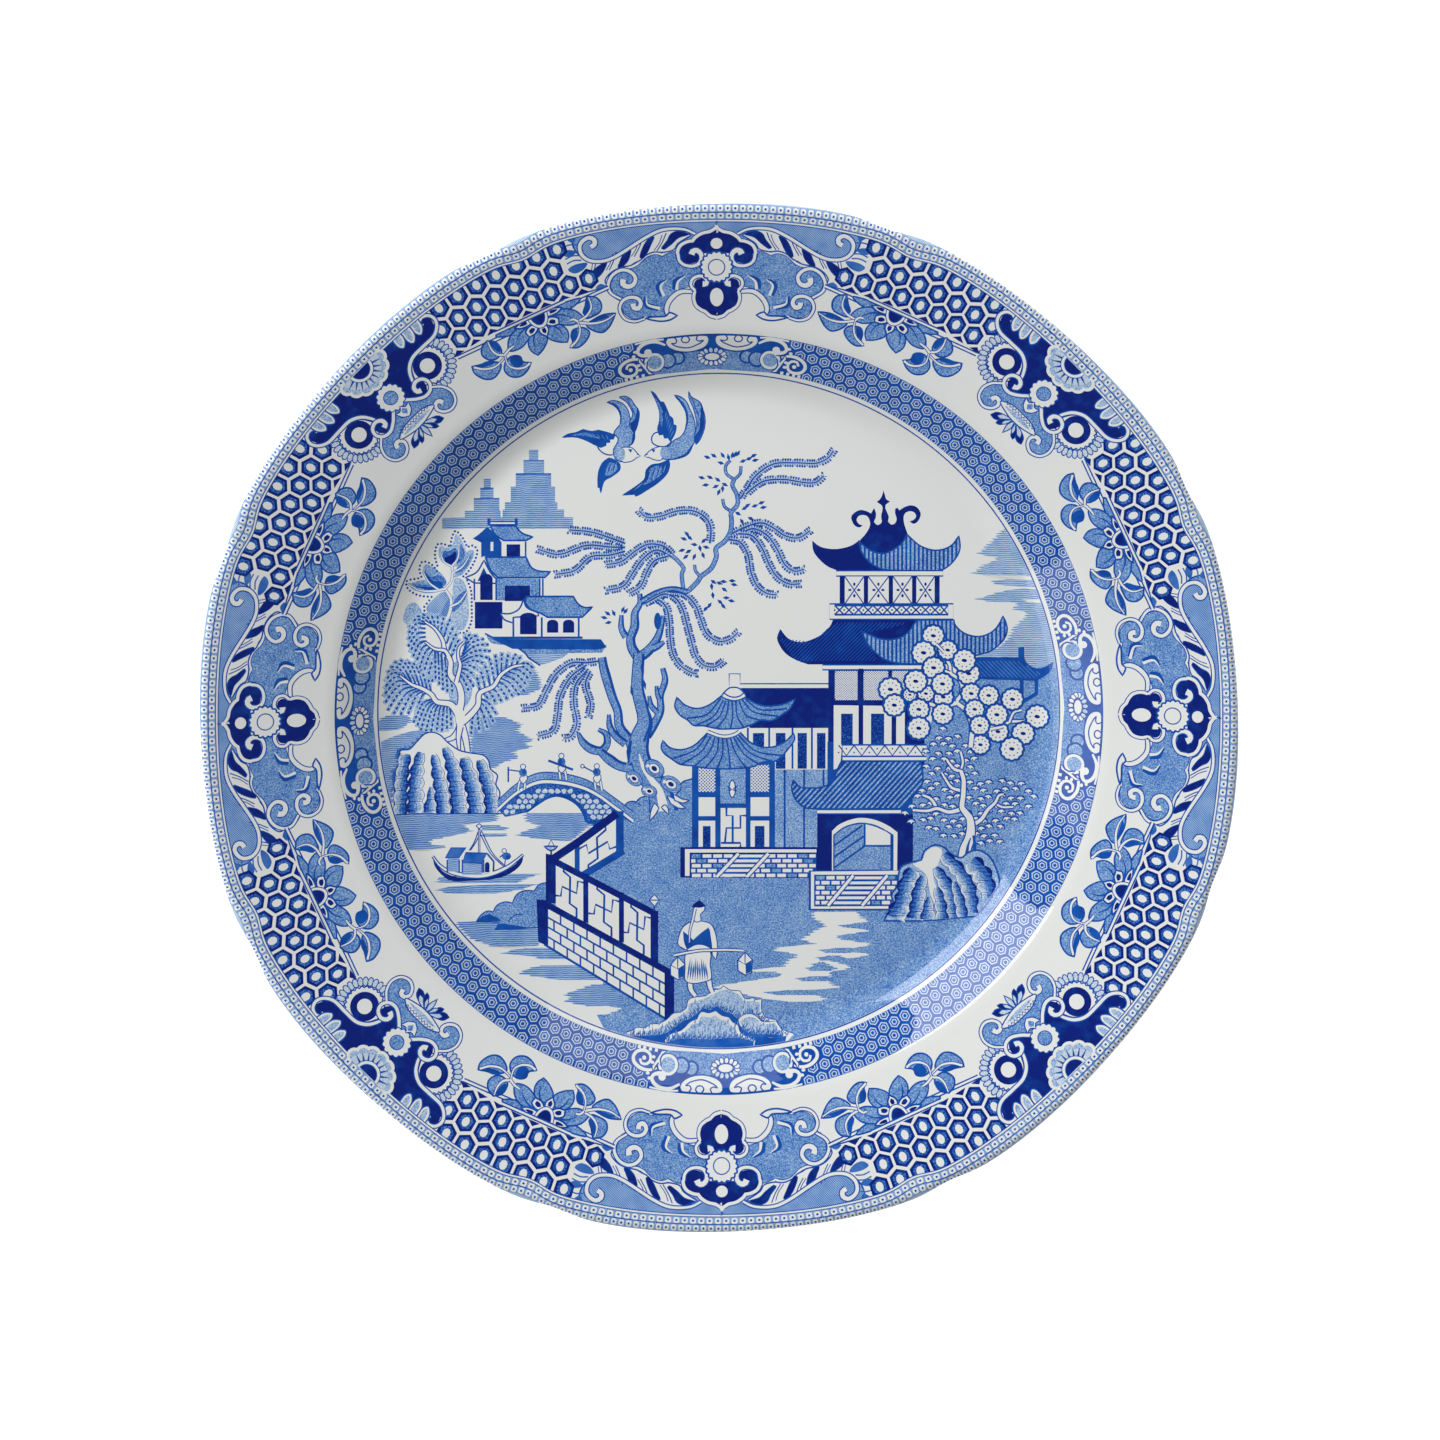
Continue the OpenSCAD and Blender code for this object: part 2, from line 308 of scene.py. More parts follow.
def lotus():
    """The half flower that hangs from the double line, with a spray of leaves on each side."""
    x = 48.1
    petals = [[(2.8, 113.9), (6, 112.2), (9.5, 112.3), (12, 113.9)],
              [(2.6, 113.4), (6.5, 112.8), (9.5, 111.4), (11, 109.2), (10.6, 108.3), (7.6, 107.9),
               (4.6, 109.2), (2.6, 110.8)],
              [(0.1, 107.2), (1.6, 109.6), (4, 109.6), (5.6, 107.8), (5.7, 105.8), (4.6, 104.1, 1),
               (2.2, 105.1)]]
    buds = [[(2.4, 112.4), (5, 112.3), (6.9, 113.2, 1), (4, 114), (2.4, 113.9)],
            [(1, 111), (2.6, 112), (4.7, 111), (4.4, 109.4, 1), (2.4, 109.6)],
            [(-1, 110.5), (1, 110.5), (1.2, 109), (0, 107.6, 1), (-1.2, 109)]]
    veins = [[(3.8, 112), (6, 111.4), (8.2, 109.8)], [(2.7, 109.6), (3.9, 108), (4.3, 106.2)]]
    for side in (1, -1):
        for blade in petals:
            patch(MID, DEEP, 0.45, [(x + side * p[0], *p[1:]) for p in blade])
        for vein in veins:
            line(DEEP, (0.4, 0.3, 0.15), [(x + side * p[0], p[1]) for p in vein])
        for bud in buds:
            patch(WHITE, DEEP, 0.5, [(x + side * p[0], *p[1:]) for p in bud])
            middle = np.mean([p[:2] for p in bud], 0)
            fill(SOLID, [(x + side * (middle[0] + (p[0] - middle[0]) * 0.5),
                          middle[1] + (p[1] - middle[1]) * 0.5) for p in bud])
    for ink, half, depth in ((DEEP, 2.85, 4.05), (WHITE, 2.6, 3.8), (DEEP, 2.05, 3.1), (SOLID, 1.8, 2.9)):
        a = np.linspace(np.pi, 2 * np.pi, 15)
        put(ink, np.stack([x + half * np.cos(a), 114.1 + depth * np.sin(a)], 1))
    edged(WHITE, 0.5, DEEP, 0.3, [(40, 114.5), (60, 114.5)], straight)
    leaf([(34.3, 113.8, 1), (32.1, 112.9), (31.2, 111), (31.9, 109.1), (33.8, 108.4), (36.5, 108.6)],
         [(33.9, 113.4), (34, 110.8), (35.8, 109), (38.8, 108.2)],
         [(34.3, 112.8), (36, 111.2), (36.8, 109.7), (35.8, 109.2), (34.5, 110.8)])
    leaf([(28.1, 107.5, 1), (29.6, 105.6), (31.2, 104.2), (33.2, 103.5), (35.4, 104.6), (36.8, 106.5),
          (34.5, 107.4), (31.5, 107.9)],
         [(28.5, 107.2), (31.5, 106.3), (35, 106.5), (38.8, 108)],
         [(30, 107.1), (32, 107.9), (34.6, 107.6), (35.4, 107), (32.4, 106.8)])
    leaf([(43.5, 102.5, 1), (41.2, 101.8), (38.6, 102.6), (36.7, 104.4), (37.5, 106), (39.2, 106.6),
          (41, 106.5), (42, 105), (42.1, 103.6)],
         [(38.7, 108.2), (39, 105.8), (40.6, 103.8), (43.2, 102.6)],
         [(39.6, 106.2), (40.8, 106.7), (42, 105.4), (41.9, 103.9), (40.7, 104.3)])
    leaf([(62.7, 113.9, 1), (64.7, 113.2), (65.9, 111.4), (65.1, 109.4), (63.4, 108.6), (61.2, 109.2),
          (60.7, 110.6), (61, 112.4)],
         [(62.7, 113.6), (63, 111.2), (62.4, 109.4), (60.8, 108.4)],
         [(62.4, 113.2), (61, 112.1), (60.8, 110.4), (61.6, 109.7), (62.4, 111.2)])
    leaf([(69.9, 110.4, 1), (70.4, 108.5), (69.2, 105.9), (67, 104.7), (64.4, 105.4), (63, 107),
          (65.4, 109), (67.6, 109.5)],
         [(60.8, 107.8), (64.6, 107), (67.6, 108), (69.6, 109.9)],
         [(64.2, 107.9), (65.7, 108.9), (67.6, 109.4), (69.3, 109.8), (67.2, 108.4)])
    leaf([(55.4, 103.2, 1), (57.6, 101.8), (60.2, 101.4), (62.5, 102.6), (63.1, 104.8), (61.6, 106.6),
          (59.2, 107.1), (57.3, 106), (57.3, 104.4)],
         [(60.8, 108.2), (61.4, 105.6), (60.1, 103.8), (57.8, 102.9), (55.8, 103.2)],
         [(57.5, 104), (57.4, 106), (59.1, 107), (60.4, 106.5), (60.3, 104.6), (58.9, 103.7)])
    edged(WHITE, (0.6, 0.4), DEEP, 0.17, [(60.9, 108.3), (59, 109), (57.4, 109.2)])
    edged(WHITE, (0.6, 0.4), DEEP, 0.17, [(38.7, 108.2), (39.6, 109.2), (40.6, 109.2)])


def wing():
    """Half of the dark ornament on the diagonal: wing, feathers, eye and the scrolls below."""
    axis = eighth
    for a in range(100, 292, 12):
        c, s = math.cos(math.radians(a)), math.sin(math.radians(a))
        x, y = 78.8 + 6.3 * c, 117.6 + 6.3 * s
        oval(DEEP, x, y, 1.35, 0.85, a)
        oval(FAINT, x, y, 1.05, 0.6, a)
    patch(WHITE, DEEP, 0.4, scallops(78.8, 117.6, 4.7, 0.45, 24), straight)
    put(MID, smooth([(79.6, 110.8), (81.4, 112.6), (84, 112), (87, 113.2), (axis, 116), (axis, 110),
                     (87.5, 110), (84.8, 109), (84.6, 107), (83.8, 105.6), (82, 105), (79.9, 105.7),
                     (78.8, 107.6), (78.9, 109.4)], True))
    put(SOLID, smooth([(71, 126.8), (71.6, 124.6), (73.4, 123), (76.8, 122.5), (80.6, 121.9), (83.4, 120),
                       (84.4, 117.5, 1), (82.4, 116), (82.5, 113.6), (84.2, 112.2), (87.4, 113.7),
                       (90, 115.4), (axis, 116.5, 1), (axis, 129.2, 1), (72, 129.2, 1)], True))
    oval(SOLID, 78.8, 117.6, 3.7)
    oval(WHITE, 78.8, 117.6, 1.95)
    scroll([(73.9, 126.4), (74.2, 127.7), (72.7, 128.6), (71, 127.9), (70.3, 126.2), (71, 124.2),
            (73, 122.7), (76.6, 122.2), (80.2, 121.7), (82.6, 120.1), (83.9, 117.9), (84.4, 116.2)],
           (1.6, 0.7, 0.7, 0.8, 0.8, 0.8, 0.6))
    line(DEEP, 0.2, [(80.2, 121.2), (82.2, 119.6), (83.3, 117.4), (83.8, 115.8)])
    for x, low in ((74.6, 124.9), (77.2, 124.4), (79.8, 125)):
        feather = [(x - 1.2, 129.3, 1), (x - 1, low + 1.6), (x + 0.4, low), (x + 1.4, low + 1.2),
                   (x + 1.3, 129.3, 1)]
        patch(WHITE, DEEP, 0.35, feather)
        fill(PALE, [(x - 0.6, 129, 1), (x - 0.4, low + 1.9), (x + 0.4, low + 0.7), (x + 0.9, low + 1.5),
                    (x + 0.8, 129, 1)])
    scroll([(axis - 0.3, 115.6), (89, 114.8), (87, 113.1), (84.6, 111.9), (82.4, 112.3), (81.3, 114),
            (82, 115.8), (83.8, 116.4), (85.2, 115.5), (85.2, 114.2), (84.2, 113.8)],
           (0.7, 0.8, 0.8, 0.8, 0.9, 1.3))
    scroll([(81.6, 112.6), (79.4, 110.8), (78.4, 108.4), (79.2, 106), (81.6, 104.9), (83.8, 105.7),
            (84.7, 107.3), (84, 108.6), (82.7, 108.6), (82.3, 107.6)], (0.5, 0.6, 0.6, 0.7, 1.3))
    for tip, ink in (((85, 104.4), SOLID), ((86.6, 105.4), FAINT), ((87.7, 103.7), SOLID),
                     ((89, 104.6), FAINT)):
        root = np.array([axis - 0.5, 107.4])
        way = np.array(tip) - root
        side = np.array([-way[1], way[0]]) * 0.16
        spot = root + way * 0.72
        patch(ink, DEEP, 0.3, [(*root, 1), tuple(spot + side), (*tip, 1), tuple(spot - side)])


def whole_medallion():
    """The parts of the diagonal ornament that stand on its axis, with the axis at x = 0."""
    for radius, size, ink in ((5.6, 1.85, WHITE), (5.3, 1.3, PALE)):
        for a in (-12, -38, -64, -90, -116, -142, -168):
            c, s = math.cos(math.radians(a)), math.sin(math.radians(a))
            oval(ink, radius * c, 128.7 + radius * s, size, size * 0.85, a + 90)
    a = np.linspace(np.pi, 2 * np.pi, 25)
    put(FAINT, np.stack([5.3 * np.cos(a), 129 + 5.3 * np.sin(a)], 1))
    for b in range(-162, 0, 18):
        c, s = math.cos(math.radians(b)), math.sin(math.radians(b))
        line(DEEP, (0.5, 0.1), [(3.1 * c, 128.8 + 3.1 * s), (5.4 * c, 128.8 + 5.4 * s)], straight)
    for ink, half in ((DEEP, 3.3), (WHITE, 3.1), (DEEP, 2.45), (SOLID, 2.2)):
        put(ink, np.stack([half * np.cos(a), 128.7 + half * 1.05 * np.sin(a)], 1))
    patch(WHITE, DEEP, 0.3, scallops(0, 117.8, 3.3, 0.45, 14), straight)
    oval(DEEP, 0, 117.8, 1.95)
    oval(MID, 0, 117.8, 1.7)
    patch(WHITE, DEEP, 0.35, [(-2.4, 113.9, 1), (-0.9, 113.6), (0, 114.6, 1), (0.9, 113.6), (2.4, 113.9, 1),
                              (1.6, 112), (0, 111, 1), (-1.6, 112)])
    fill(MID, [(-0.9, 113), (0, 113.8, 1), (0.9, 113), (0, 111.8, 1)])
    patch(WHITE, DEEP, 0.35, [(-6.6, 108.6), (-3, 107.4), (0, 107.1), (3, 107.4), (6.6, 108.6), (4, 110),
                              (0, 110.2), (-4, 110)])
    for k in range(-5, 6):
        line(DEEP, 0.22, [(k * 1.05 - 0.5, 109.2), (k * 1.05, 109.9), (k * 1.05 + 0.5, 109.2)], straight)
    fill(PALE, [(-5, 108.6), (0, 108), (5, 108.6), (0, 109.2)])
    patch(FAINT, DEEP, 0.35, [(0, 107.2), (0.75, 105.4), (0, 103, 1), (-0.75, 105.4)])


def edge_strips():
    """The ground under the two rows of beads at the lip, with its fine lines."""
    strip((0.45, 3), -2.95, 4)
    strip(DEEP, -1.2, -0.95)
    strip((0.25, 3), 1.05, 4)
    strip(DEEP, -3.05, -2.85)
    strip(WHITE, -3.45, -3.05)
    strip(DEEP, -3.7, -3.45)


def bead(x, y, half_w, half_h):
    """A rounded square bead with a dark eye, as offsets from its place."""
    c = 0.62
    put(WHITE, [(x + i * half_w, y + j * half_h) for i, j in
                ((-1, -c), (-c, -1), (c, -1), (1, -c), (1, c), (c, 1), (-c, 1), (-1, c))])
    w, h = half_w * 0.36, half_h * 0.36
    put(DEEP, [(x - w, y - h), (x + w, y - h), (x + w, y + h), (x - w, y + h)])


# === band round the well: drawn flat like the border, x along it at radius band_flat_r ===
band_flat_r = 92.0
band_low, band_high = 88.85, 98.5


def band_cell(x, y):
    """One cell of the band: a white ring, a dark ring, a white ring and a dark heart."""
    for ink, w, h in ((BLEED, 1.26, 1.45), (DEEP, 0.98, 1.13), (BLEED, 0.66, 0.76), (DEEP, 0.4, 0.46)):
        corners = np.array([(x - w, y - h / 2), (x, y - h), (x + w, y - h / 2), (x + w, y + h / 2),
                            (x, y + h), (x - w, y + h / 2)])
        corners[:, 1] = np.clip(corners[:, 1], band_low, band_high)
        if np.ptp(corners[:, 1]) > 0.2:
            put(ink, corners)


def band_rows():
    """A quarter of the band's cells, from the middle of one cartouche to the middle of the next."""
    pitch = 2 * math.pi * band_flat_r / 184
    for row, first, hidden in ((97.8, 0.5, 19.3), (94.9, 0, 21.5), (92.1, 0.5, 25.4), (89.3, 0, 23.6)):
        for k in range(46):
            x = (k + first) * pitch
            if hidden < x < 46 * pitch - hidden:
                band_cell(x, row)


def band_cartouche():
    """Half of the cloud of scrolls on each axis of the band."""
    fill(MID, [(-0.1, 88.9), (15.4, 88.9), (16.4, 90.6), (17, 93.6), (15.4, 94.2), (10, 94.2), (-0.1, 94)],
         straight)
    cloud = smooth([(2.6, 98.1, 1), (1.2, 97.9), (0.9, 96.8), (1.5, 95.5), (3, 94.6), (5.8, 94.1),
                    (8.6, 94.6), (10.5, 95.8), (11.1, 97.2), (10.6, 98.1, 1)], True)
    put(DEEP, ribbon(cloud, 0.7, True))
    put(WHITE, cloud)
    for points in ([(2, 97), (2.8, 96.2), (5.8, 95.1), (8.8, 95.8), (9.9, 96.8)],
                   [(3.4, 98.2), (3.8, 97.2), (3, 96.7), (2.3, 96.9)],
                   [(5.9, 98.2), (5.4, 97.4), (5.9, 96.6), (7, 96.7), (7.4, 97.6), (6.9, 98.2)],
                   [(9, 98.2), (8.5, 97.4), (9, 96.6), (9.9, 96.8)]):
        line(DEEP, 0.28, points)
    for x, y, r, edge, rim in ((8.8, 92.6, 1.6, 0.25, DEEP), (11.4, 92.2, 1.9, 0.25, DEEP),
                               (14.8, 92.3, 2, 0.65, WHITE)):
        oval(DEEP, x, y, r + edge + 0.15, r + edge + 0.15)
        oval(rim, x, y, r + edge - 0.1, r + edge - 0.1)
        oval((0.42, 1), x, y, r - 0.15)
    edged(WHITE, (0.5, 0.8, 0.9, 0.9, 0.8, 1.2), DEEP, 0.25,
          [(11.4, 96.5), (13.6, 97.8), (16, 97.9), (17.8, 97), (18.4, 95.7), (17.6, 94.8), (16.1, 94.6)])
    oval(WHITE, 15.9, 95.3, 0.95)
    line(WHITE, 0.45, [(11.6, 98.1), (14.6, 98.4), (18.6, 98.2)])
    edged(WHITE, (0.6, 0.85, 0.85, 0.8, 0.7, 0.6), DEEP, 0.25,
          [(17.6, 93.4), (19.3, 94.2), (21.4, 94.2), (23.4, 93.2), (24, 91.8), (23.2, 90.4), (21.4, 89.9),
           (19.9, 90.5), (19.5, 91.8), (20.2, 92.9), (21.6, 93), (22.2, 92)])
    oval(WHITE, 21.2, 91.6, 0.55)
    patch(WHITE, DEEP, 0.45, [(16.5, 93), (17, 91.2), (16.6, 90.2), (15.6, 89.1), (17, 89.2), (18, 91.3),
                              (18.9, 93.2), (18.4, 94.4), (17.9, 93.2), (17.4, 92.2)], straight)
    for x in (18, 19.6, 21.2, 22.6):
        box(WHITE, x, 88.9, x + 0.8, 89.7)
    for x, y in ((18.8, 91), (18.9, 92.3), (19, 96.1), (19.6, 95)):
        oval(WHITE, x, y, 0.5, 0.4)


def band_daisy():
    """The daisy on each axis of the band."""
    for a in range(0, 360, 24):
        c, s = math.cos(math.radians(a)), math.sin(math.radians(a))
        x, y = 3.1 * c, 92.3 + 1.85 * s
        oval(DEEP, x, y, 0.92, 0.72, a)
        oval(WHITE if s < 0.5 else FAINT, x, y, 0.66, 0.46, a)
    oval(DEEP, 0, 92.3, 2.15, 1.25)
    oval(WHITE, 0, 92.3, 1.85, 0.95)


# === centre scene: drawn in the plan, x to the right, y up ===


def lane(path, width, low, high):
    """Part of a stroke's width: -1 is its left edge, 1 its right."""
    ring = ribbon(path, width)
    left, right = ring[:len(path)], ring[:len(path) - 1:-1]
    middle, half = (left + right) / 2, (right - left) / 2
    return np.vstack([middle + half * low, (middle + half * high)[::-1]])


def sliver(ink, root, tip, width):
    """A pointed leaf from root to tip."""
    root, tip = np.array(root, float), np.array(tip, float)
    way = tip - root
    side = np.array([-way[1], way[0]]) * width / 2 / np.hypot(*way)
    put(ink, [root, root + way * 0.45 + side, tip, root + way * 0.45 - side])


def haze(ink, rows, ragged=0.9):
    """Ruled water or sky with ragged ends. A row is height, left end, right end, from the top down."""
    rows = np.array(rows, float)
    y = np.arange(rows[0, 0], rows[-1, 0], -0.27)
    k = np.arange(len(y))
    x0, x1 = (np.interp(-y, -rows[:, 0], rows[:, i]) for i in (1, 2))
    limit = np.sqrt(93.0**2 - y**2)
    x0 = np.clip(x0 + ragged * np.sin(k * 2.3), -limit, limit)
    x1 = np.clip(x1 + ragged * np.sin(k * 2.7 + 1), -limit, limit)
    put(ink, np.vstack([np.stack([x0, y], 1), np.stack([np.maximum(x1, x0 + 0.05), y], 1)[::-1]]))


def far_side():
    """Ground, water and sky."""
    far = 99
    sky = (0.38, 2)
    haze(sky, [(47.4, 73, 73.5), (45.5, 71.5, far), (43.8, 70, far), (42.2, 68.2, far), (40.6, 66.5, far),
               (40, 71, far), (39, 71.5, far), (38, 68, far), (36.5, 66.5, far), (35.6, 65, far),
               (35, 70, far)])
    haze(sky, [(34.2, 74, far), (33.5, 69.7, far), (32.6, 72, far), (32.2, 78, far)])
    haze(sky, [(31.9, 78, far), (31, 72.5, far), (29.9, 69.5, far), (29, 65.3, 78), (28.4, 69.5, 79),
               (28, 77, far), (26.3, 75.5, far), (25.5, 79.5, far), (23.5, 78, far), (21.7, 76, far),
               (18.3, 74.2, far), (16, 71, far), (14.5, 66.7, far), (14, 66, far), (11, 66, far)])
    ground = [(-24.5, -24.3), (-24.5, -36.5), (-34.5, -42.3), (-44.5, -40), (-44.5, -61), (-36, -66),
              (-29.6, -70), (-30.5, -73), (-29.5, -76), (-31.5, -79), (-29, -83.5), (-18, -90), (0, -92),
              (30, -86), (55, -73), (75, -54), (91, -10), (91, 11.5), (62, 11.5), (50, -12), (-9, -22)]
    fill(LAND, ground, straight)
    for scallop in ([(-24.5, -25), (-23.4, -23.7), (-21.6, -23.5), (-20, -24.5)],
                    [(-21.5, -24), (-20.3, -22.6), (-18.2, -22.1), (-16.5, -23)],
                    [(-12, -22.5), (-10.2, -20.8), (-9.6, -18.7), (-8, -17.9), (-5, -17.7), (-5, -24)]):
        fill(LAND, scallop)
        line(DEEP, 0.3, scallop)
    haze(WHITE, [(-52.3, 24.3, 35.6), (-54, 24.5, 37), (-54.8, 26, 39), (-56, 27.7, 30),
                 (-57.2, 24.8, 39.5), (-58.6, 23, 30.5), (-59.4, 21.2, 31), (-60.7, 25, 39.5),
                 (-61.5, 16, 37), (-62.3, 14, 28), (-63.3, 20, 39.5), (-64.2, 20, 36), (-64.8, 18, 28),
                 (-66.6, 17, 34), (-67.3, 9, 33), (-68, 9, 28.5), (-69, 17, 29), (-70, 10, 28),
                 (-71.5, 0, 29.5), (-72.1, -1, 32), (-72.8, 2, 22), (-74.4, 9, 26), (-75.2, 13, 28),
                 (-75.8, 19, 24)])
    for x0, x1, y in ((25.4, 36, -62.4), (22, 31, -67.1), (19.4, 30, -69.8), (10.6, 27, -73.4),
                      (24, 29, -66.1), (30.5, 38, -58.7), (6, 16.5, -68.6), (25, 33, -64.4)):
        middle = (x0 + x1) / 2
        haze(LAND, [(y + 0.7, middle - 1, x1 - 2), (y, x0, x1), (y - 0.8, middle - 2, x1 - 3)])
    haze(WHITE, [(-76.8, -31, -29), (-77.5, -32, -24.8), (-78.3, -32, -27), (-79, -31, -29)])
    for rows in (
            [(-1, -86, -80), (-2.5, -88, -79), (-4, -88, -81), (-5, -88, -83)],
            [(12, -56, -52), (10.5, -56, -47), (8, -56, -46), (6, -57, -45.5), (4, -55, -50)],
            [(-1.5, -62, -55), (-3.5, -63, -50.5), (-5, -63.5, -52), (-7.5, -64, -47.5), (-8.4, -64, -50),
             (-9.3, -64, -48), (-10.5, -64, -53), (-12, -64, -51.5), (-13.5, -62, -56), (-15, -60, -58)],
            [(-26, -88, -57), (-28.5, -88, -57), (-29.5, -88, -66), (-31.2, -88, -63.5), (-32, -88, -67),
             (-33.6, -88, -74.5), (-34.6, -88, -74), (-35.1, -88, -69.5), (-35.9, -88, -73)],
            [(-29.6, -62, -57), (-30.4, -61.5, -54), (-31, -61, -55.5)],
            [(-31.8, -61, -55), (-32.3, -61.3, -54.2), (-32.7, -60.5, -57)],
            [(-26.5, -50, -34), (-28.7, -49.5, -31), (-29.8, -46, -33), (-30.4, -47.5, -34),
             (-31.2, -50, -35), (-32.3, -52.5, -36), (-33.2, -46, -37.5), (-33.8, -40, -38.5)],
            [(-42.3, -54, -46), (-43, -73, -48), (-43.7, -72, -50), (-44.3, -73.5, -51), (-44.8, -66, -52)],
            [(-45, -58, -45), (-45.6, -70, -49), (-46.2, -73, -50), (-46.9, -71, -54), (-47.5, -69, -58)],
            [(-54.6, -67.8, -60), (-55.5, -67.3, -46), (-57, -66, -46), (-58.5, -64.5, -46),
             (-59.8, -62, -46), (-60.5, -60, -46), (-61.2, -58.5, -47)],
            [(-61.6, -50, -44), (-62.3, -54, -42), (-63.1, -56.2, -41), (-63.8, -48, -40),
             (-64.7, -46, -38)],
            [(-66.2, -46, -36), (-67.3, -50, -34), (-68.2, -51.7, -33), (-69.3, -46, -31),
             (-70.2, -40, -29)],
            [(-71.2, -33, -28), (-72.5, -36, -27), (-73.7, -40, -26), (-74.6, -38, -25), (-75.3, -40, -25),
             (-76.2, -37, -25), (-77, -33, -27)]):
        haze(WATER, rows)


def stepped(ink, steps, base):
    """A mountain of square steps: each step is left end, right end and its top; they all stand on base."""
    for x0, x1, top in steps:
        box(ink, x0, base, x1, top)


def islands():
    """Stepped mountains and the little palaces on the far island."""
    stepped((0.46, 2), [(-48.7, -46.3, 67.8), (-50.1, -44.8, 65.1), (-52.1, -43, 61.7), (-53.4, -42, 58.2),
                        (-54.9, -41.4, 54.2), (-55.5, -39.7, 52.3), (-56, -37.4, 50.3)], 47.3)
    stepped((0.46, 2), [(-60.3, -58.5, 60.4), (-61.2, -57.8, 58), (-62.9, -56.3, 55.3), (-65.2, -56, 52),
                        (-71, -56, 50.3)], 47.4)
    for x0, x1, y in ((-52.1, -43, 61.7), (-50.1, -44.8, 65.1), (-61.2, -57.8, 58), (-62.9, -56.3, 55.3)):
        box(WASH, x0, y - 0.4, x1, y)
    box(WHITE, -56, 39.9, -49.6, 44.6)
    box(WHITE, -62.8, 28.9, -45.5, 35)
    fill(DEEP, [(-59.5, 47.8, 1), (-61.5, 46), (-63.2, 44.8, 1), (-61, 43.8, 1), (-60.8, 40.2, 1),
                (-56, 40.2, 1), (-56, 44.2, 1), (-58, 46.6)])
    fill(WHITE, [(-58.6, 43.9), (-57.9, 44), (-57.9, 41.6), (-58.6, 41.6)], straight)
    patch(MID, DEEP, 0.5, [(-58.6, 48.1, 1), (-52.2, 48.1, 1), (-50.5, 46.2), (-47.7, 45.2, 1),
                           (-49.5, 44.3, 1), (-55.2, 44.3, 1), (-57.4, 45.8)])
    patch(WHITE, DEEP, 0.4, [(-59.2, 48.4), (-51.7, 48.4), (-51.7, 49.2), (-59.2, 49.2)], straight)
    box(DEEP, -59.4, 48.3, -58.6, 50)
    box(DEEP, -52.4, 48.3, -51.6, 50)
    box(SOLID, -54.5, 40.2, -51, 43.3)
    for x in (-60.8, -56, -49.6):
        line(DEEP, 0.35, [(x, 44), (x, 40)], straight)
    patch(MID, DEEP, 0.5, [(-60, 40, 1), (-49.5, 40, 1), (-48.2, 37.4), (-46.3, 36.4), (-43.2, 36.2, 1),
                           (-44.7, 34.7, 1), (-56.7, 34.7, 1), (-58.5, 36.5)])
    patch(WHITE, DEEP, 0.45, [(-60.3, 39.2, 1), (-58.8, 36.3), (-57.2, 34.5), (-55.3, 34.3, 1),
                              (-57, 33.2, 1), (-62.8, 33.3, 1), (-65.1, 34.7, 1), (-62.2, 36.1)])
    fill(DEEP, [(-60.4, 37.3, 1), (-59.3, 35.2), (-58.4, 33.8, 1), (-62, 33.8, 1), (-61.3, 35.2)])
    box(SOLID, -61.3, 28.9, -58.1, 34.6)
    oval(SOLID, -59.7, 34.4, 1.6, 1.3)
    box(MID, -57, 28.8, -46, 34.4)
    box(SOLID, -55, 28.6, -48.5, 32.6)
    for x in (-62.8, -57.2, -46, -45.2):
        line(DEEP, 0.35, [(x, 34.4), (x, 28.8)], straight)
    box(SOLID, -62.7, 21.5, -55.6, 28.4)
    box(WHITE, -52.8, 19.5, -36, 24.6)
    patch(MID, DEEP, 0.5, [(-49.5, 29.8, 1), (-37.4, 29.8, 1), (-36.1, 27.8), (-34.3, 26.9),
                           (-32.4, 27.1, 1), (-35.1, 24.4, 1), (-44, 24.4, 1), (-45.9, 25.5), (-48.4, 26.5),
                           (-49.7, 28.3)])
    patch(WHITE, DEEP, 0.45, [(-50.1, 29.2, 1), (-49.4, 27), (-46.5, 25.6, 1), (-46.3, 24.8, 1),
                              (-52.8, 24.4, 1), (-52.8, 22.9, 1), (-55.1, 23.8), (-56.1, 25.4, 1),
                              (-53.5, 25.4), (-51.3, 26.6)])
    box(SOLID, -51.1, 20, -46.8, 24.4)
    oval(SOLID, -48.95, 24.4, 2.15, 1.2)
    for x in (-42.7, -38.6):
        box(SOLID, x - 1.45, 20.4, x + 1.45, 22.8)
        oval(SOLID, x, 22.8, 1.45, 1)
    for x in (-52.8, -45.5, -36):
        line(DEEP, 0.4, [(x, 24.4), (x, 19)], straight)
    line(DEEP, 0.5, [(-58, 19.1), (-35, 19.1)], straight)
    fill((0.4, 2), [(-50, 15.6), (-38, 15.6), (-40, 14), (-44, 12.5), (-46, 11.9), (-49, 13.6)], straight)
    fill(MID, [(-60.1, 20.2, 1), (-57.4, 18.8), (-55, 17.5), (-52.6, 17, 1), (-49.7, 15.2), (-46, 15, 1),
               (-30, 15.2, 1), (-28.8, 17.2, 1), (-57, 17.4)])
    fill(DEEP, [(-58.3, 18.8), (-30.3, 18.7), (-28.8, 16.6), (-31, 16), (-53, 16.2)], straight)
    line(DEEP, 0.35, [(-60.1, 20.2), (-57.4, 18.8), (-55, 17.5), (-52.6, 17), (-49.7, 15), (-49, 14),
                      (-45.9, 11.9)])


def spaced(path, count):
    """Evenly spaced points along a path."""
    steps = np.concatenate([[0], np.cumsum(np.linalg.norm(np.diff(path, axis=0), axis=1))])
    at = np.linspace(0, steps[-1], count)
    return np.stack([np.interp(at, steps, path[:, i]) for i in (0, 1)], 1)


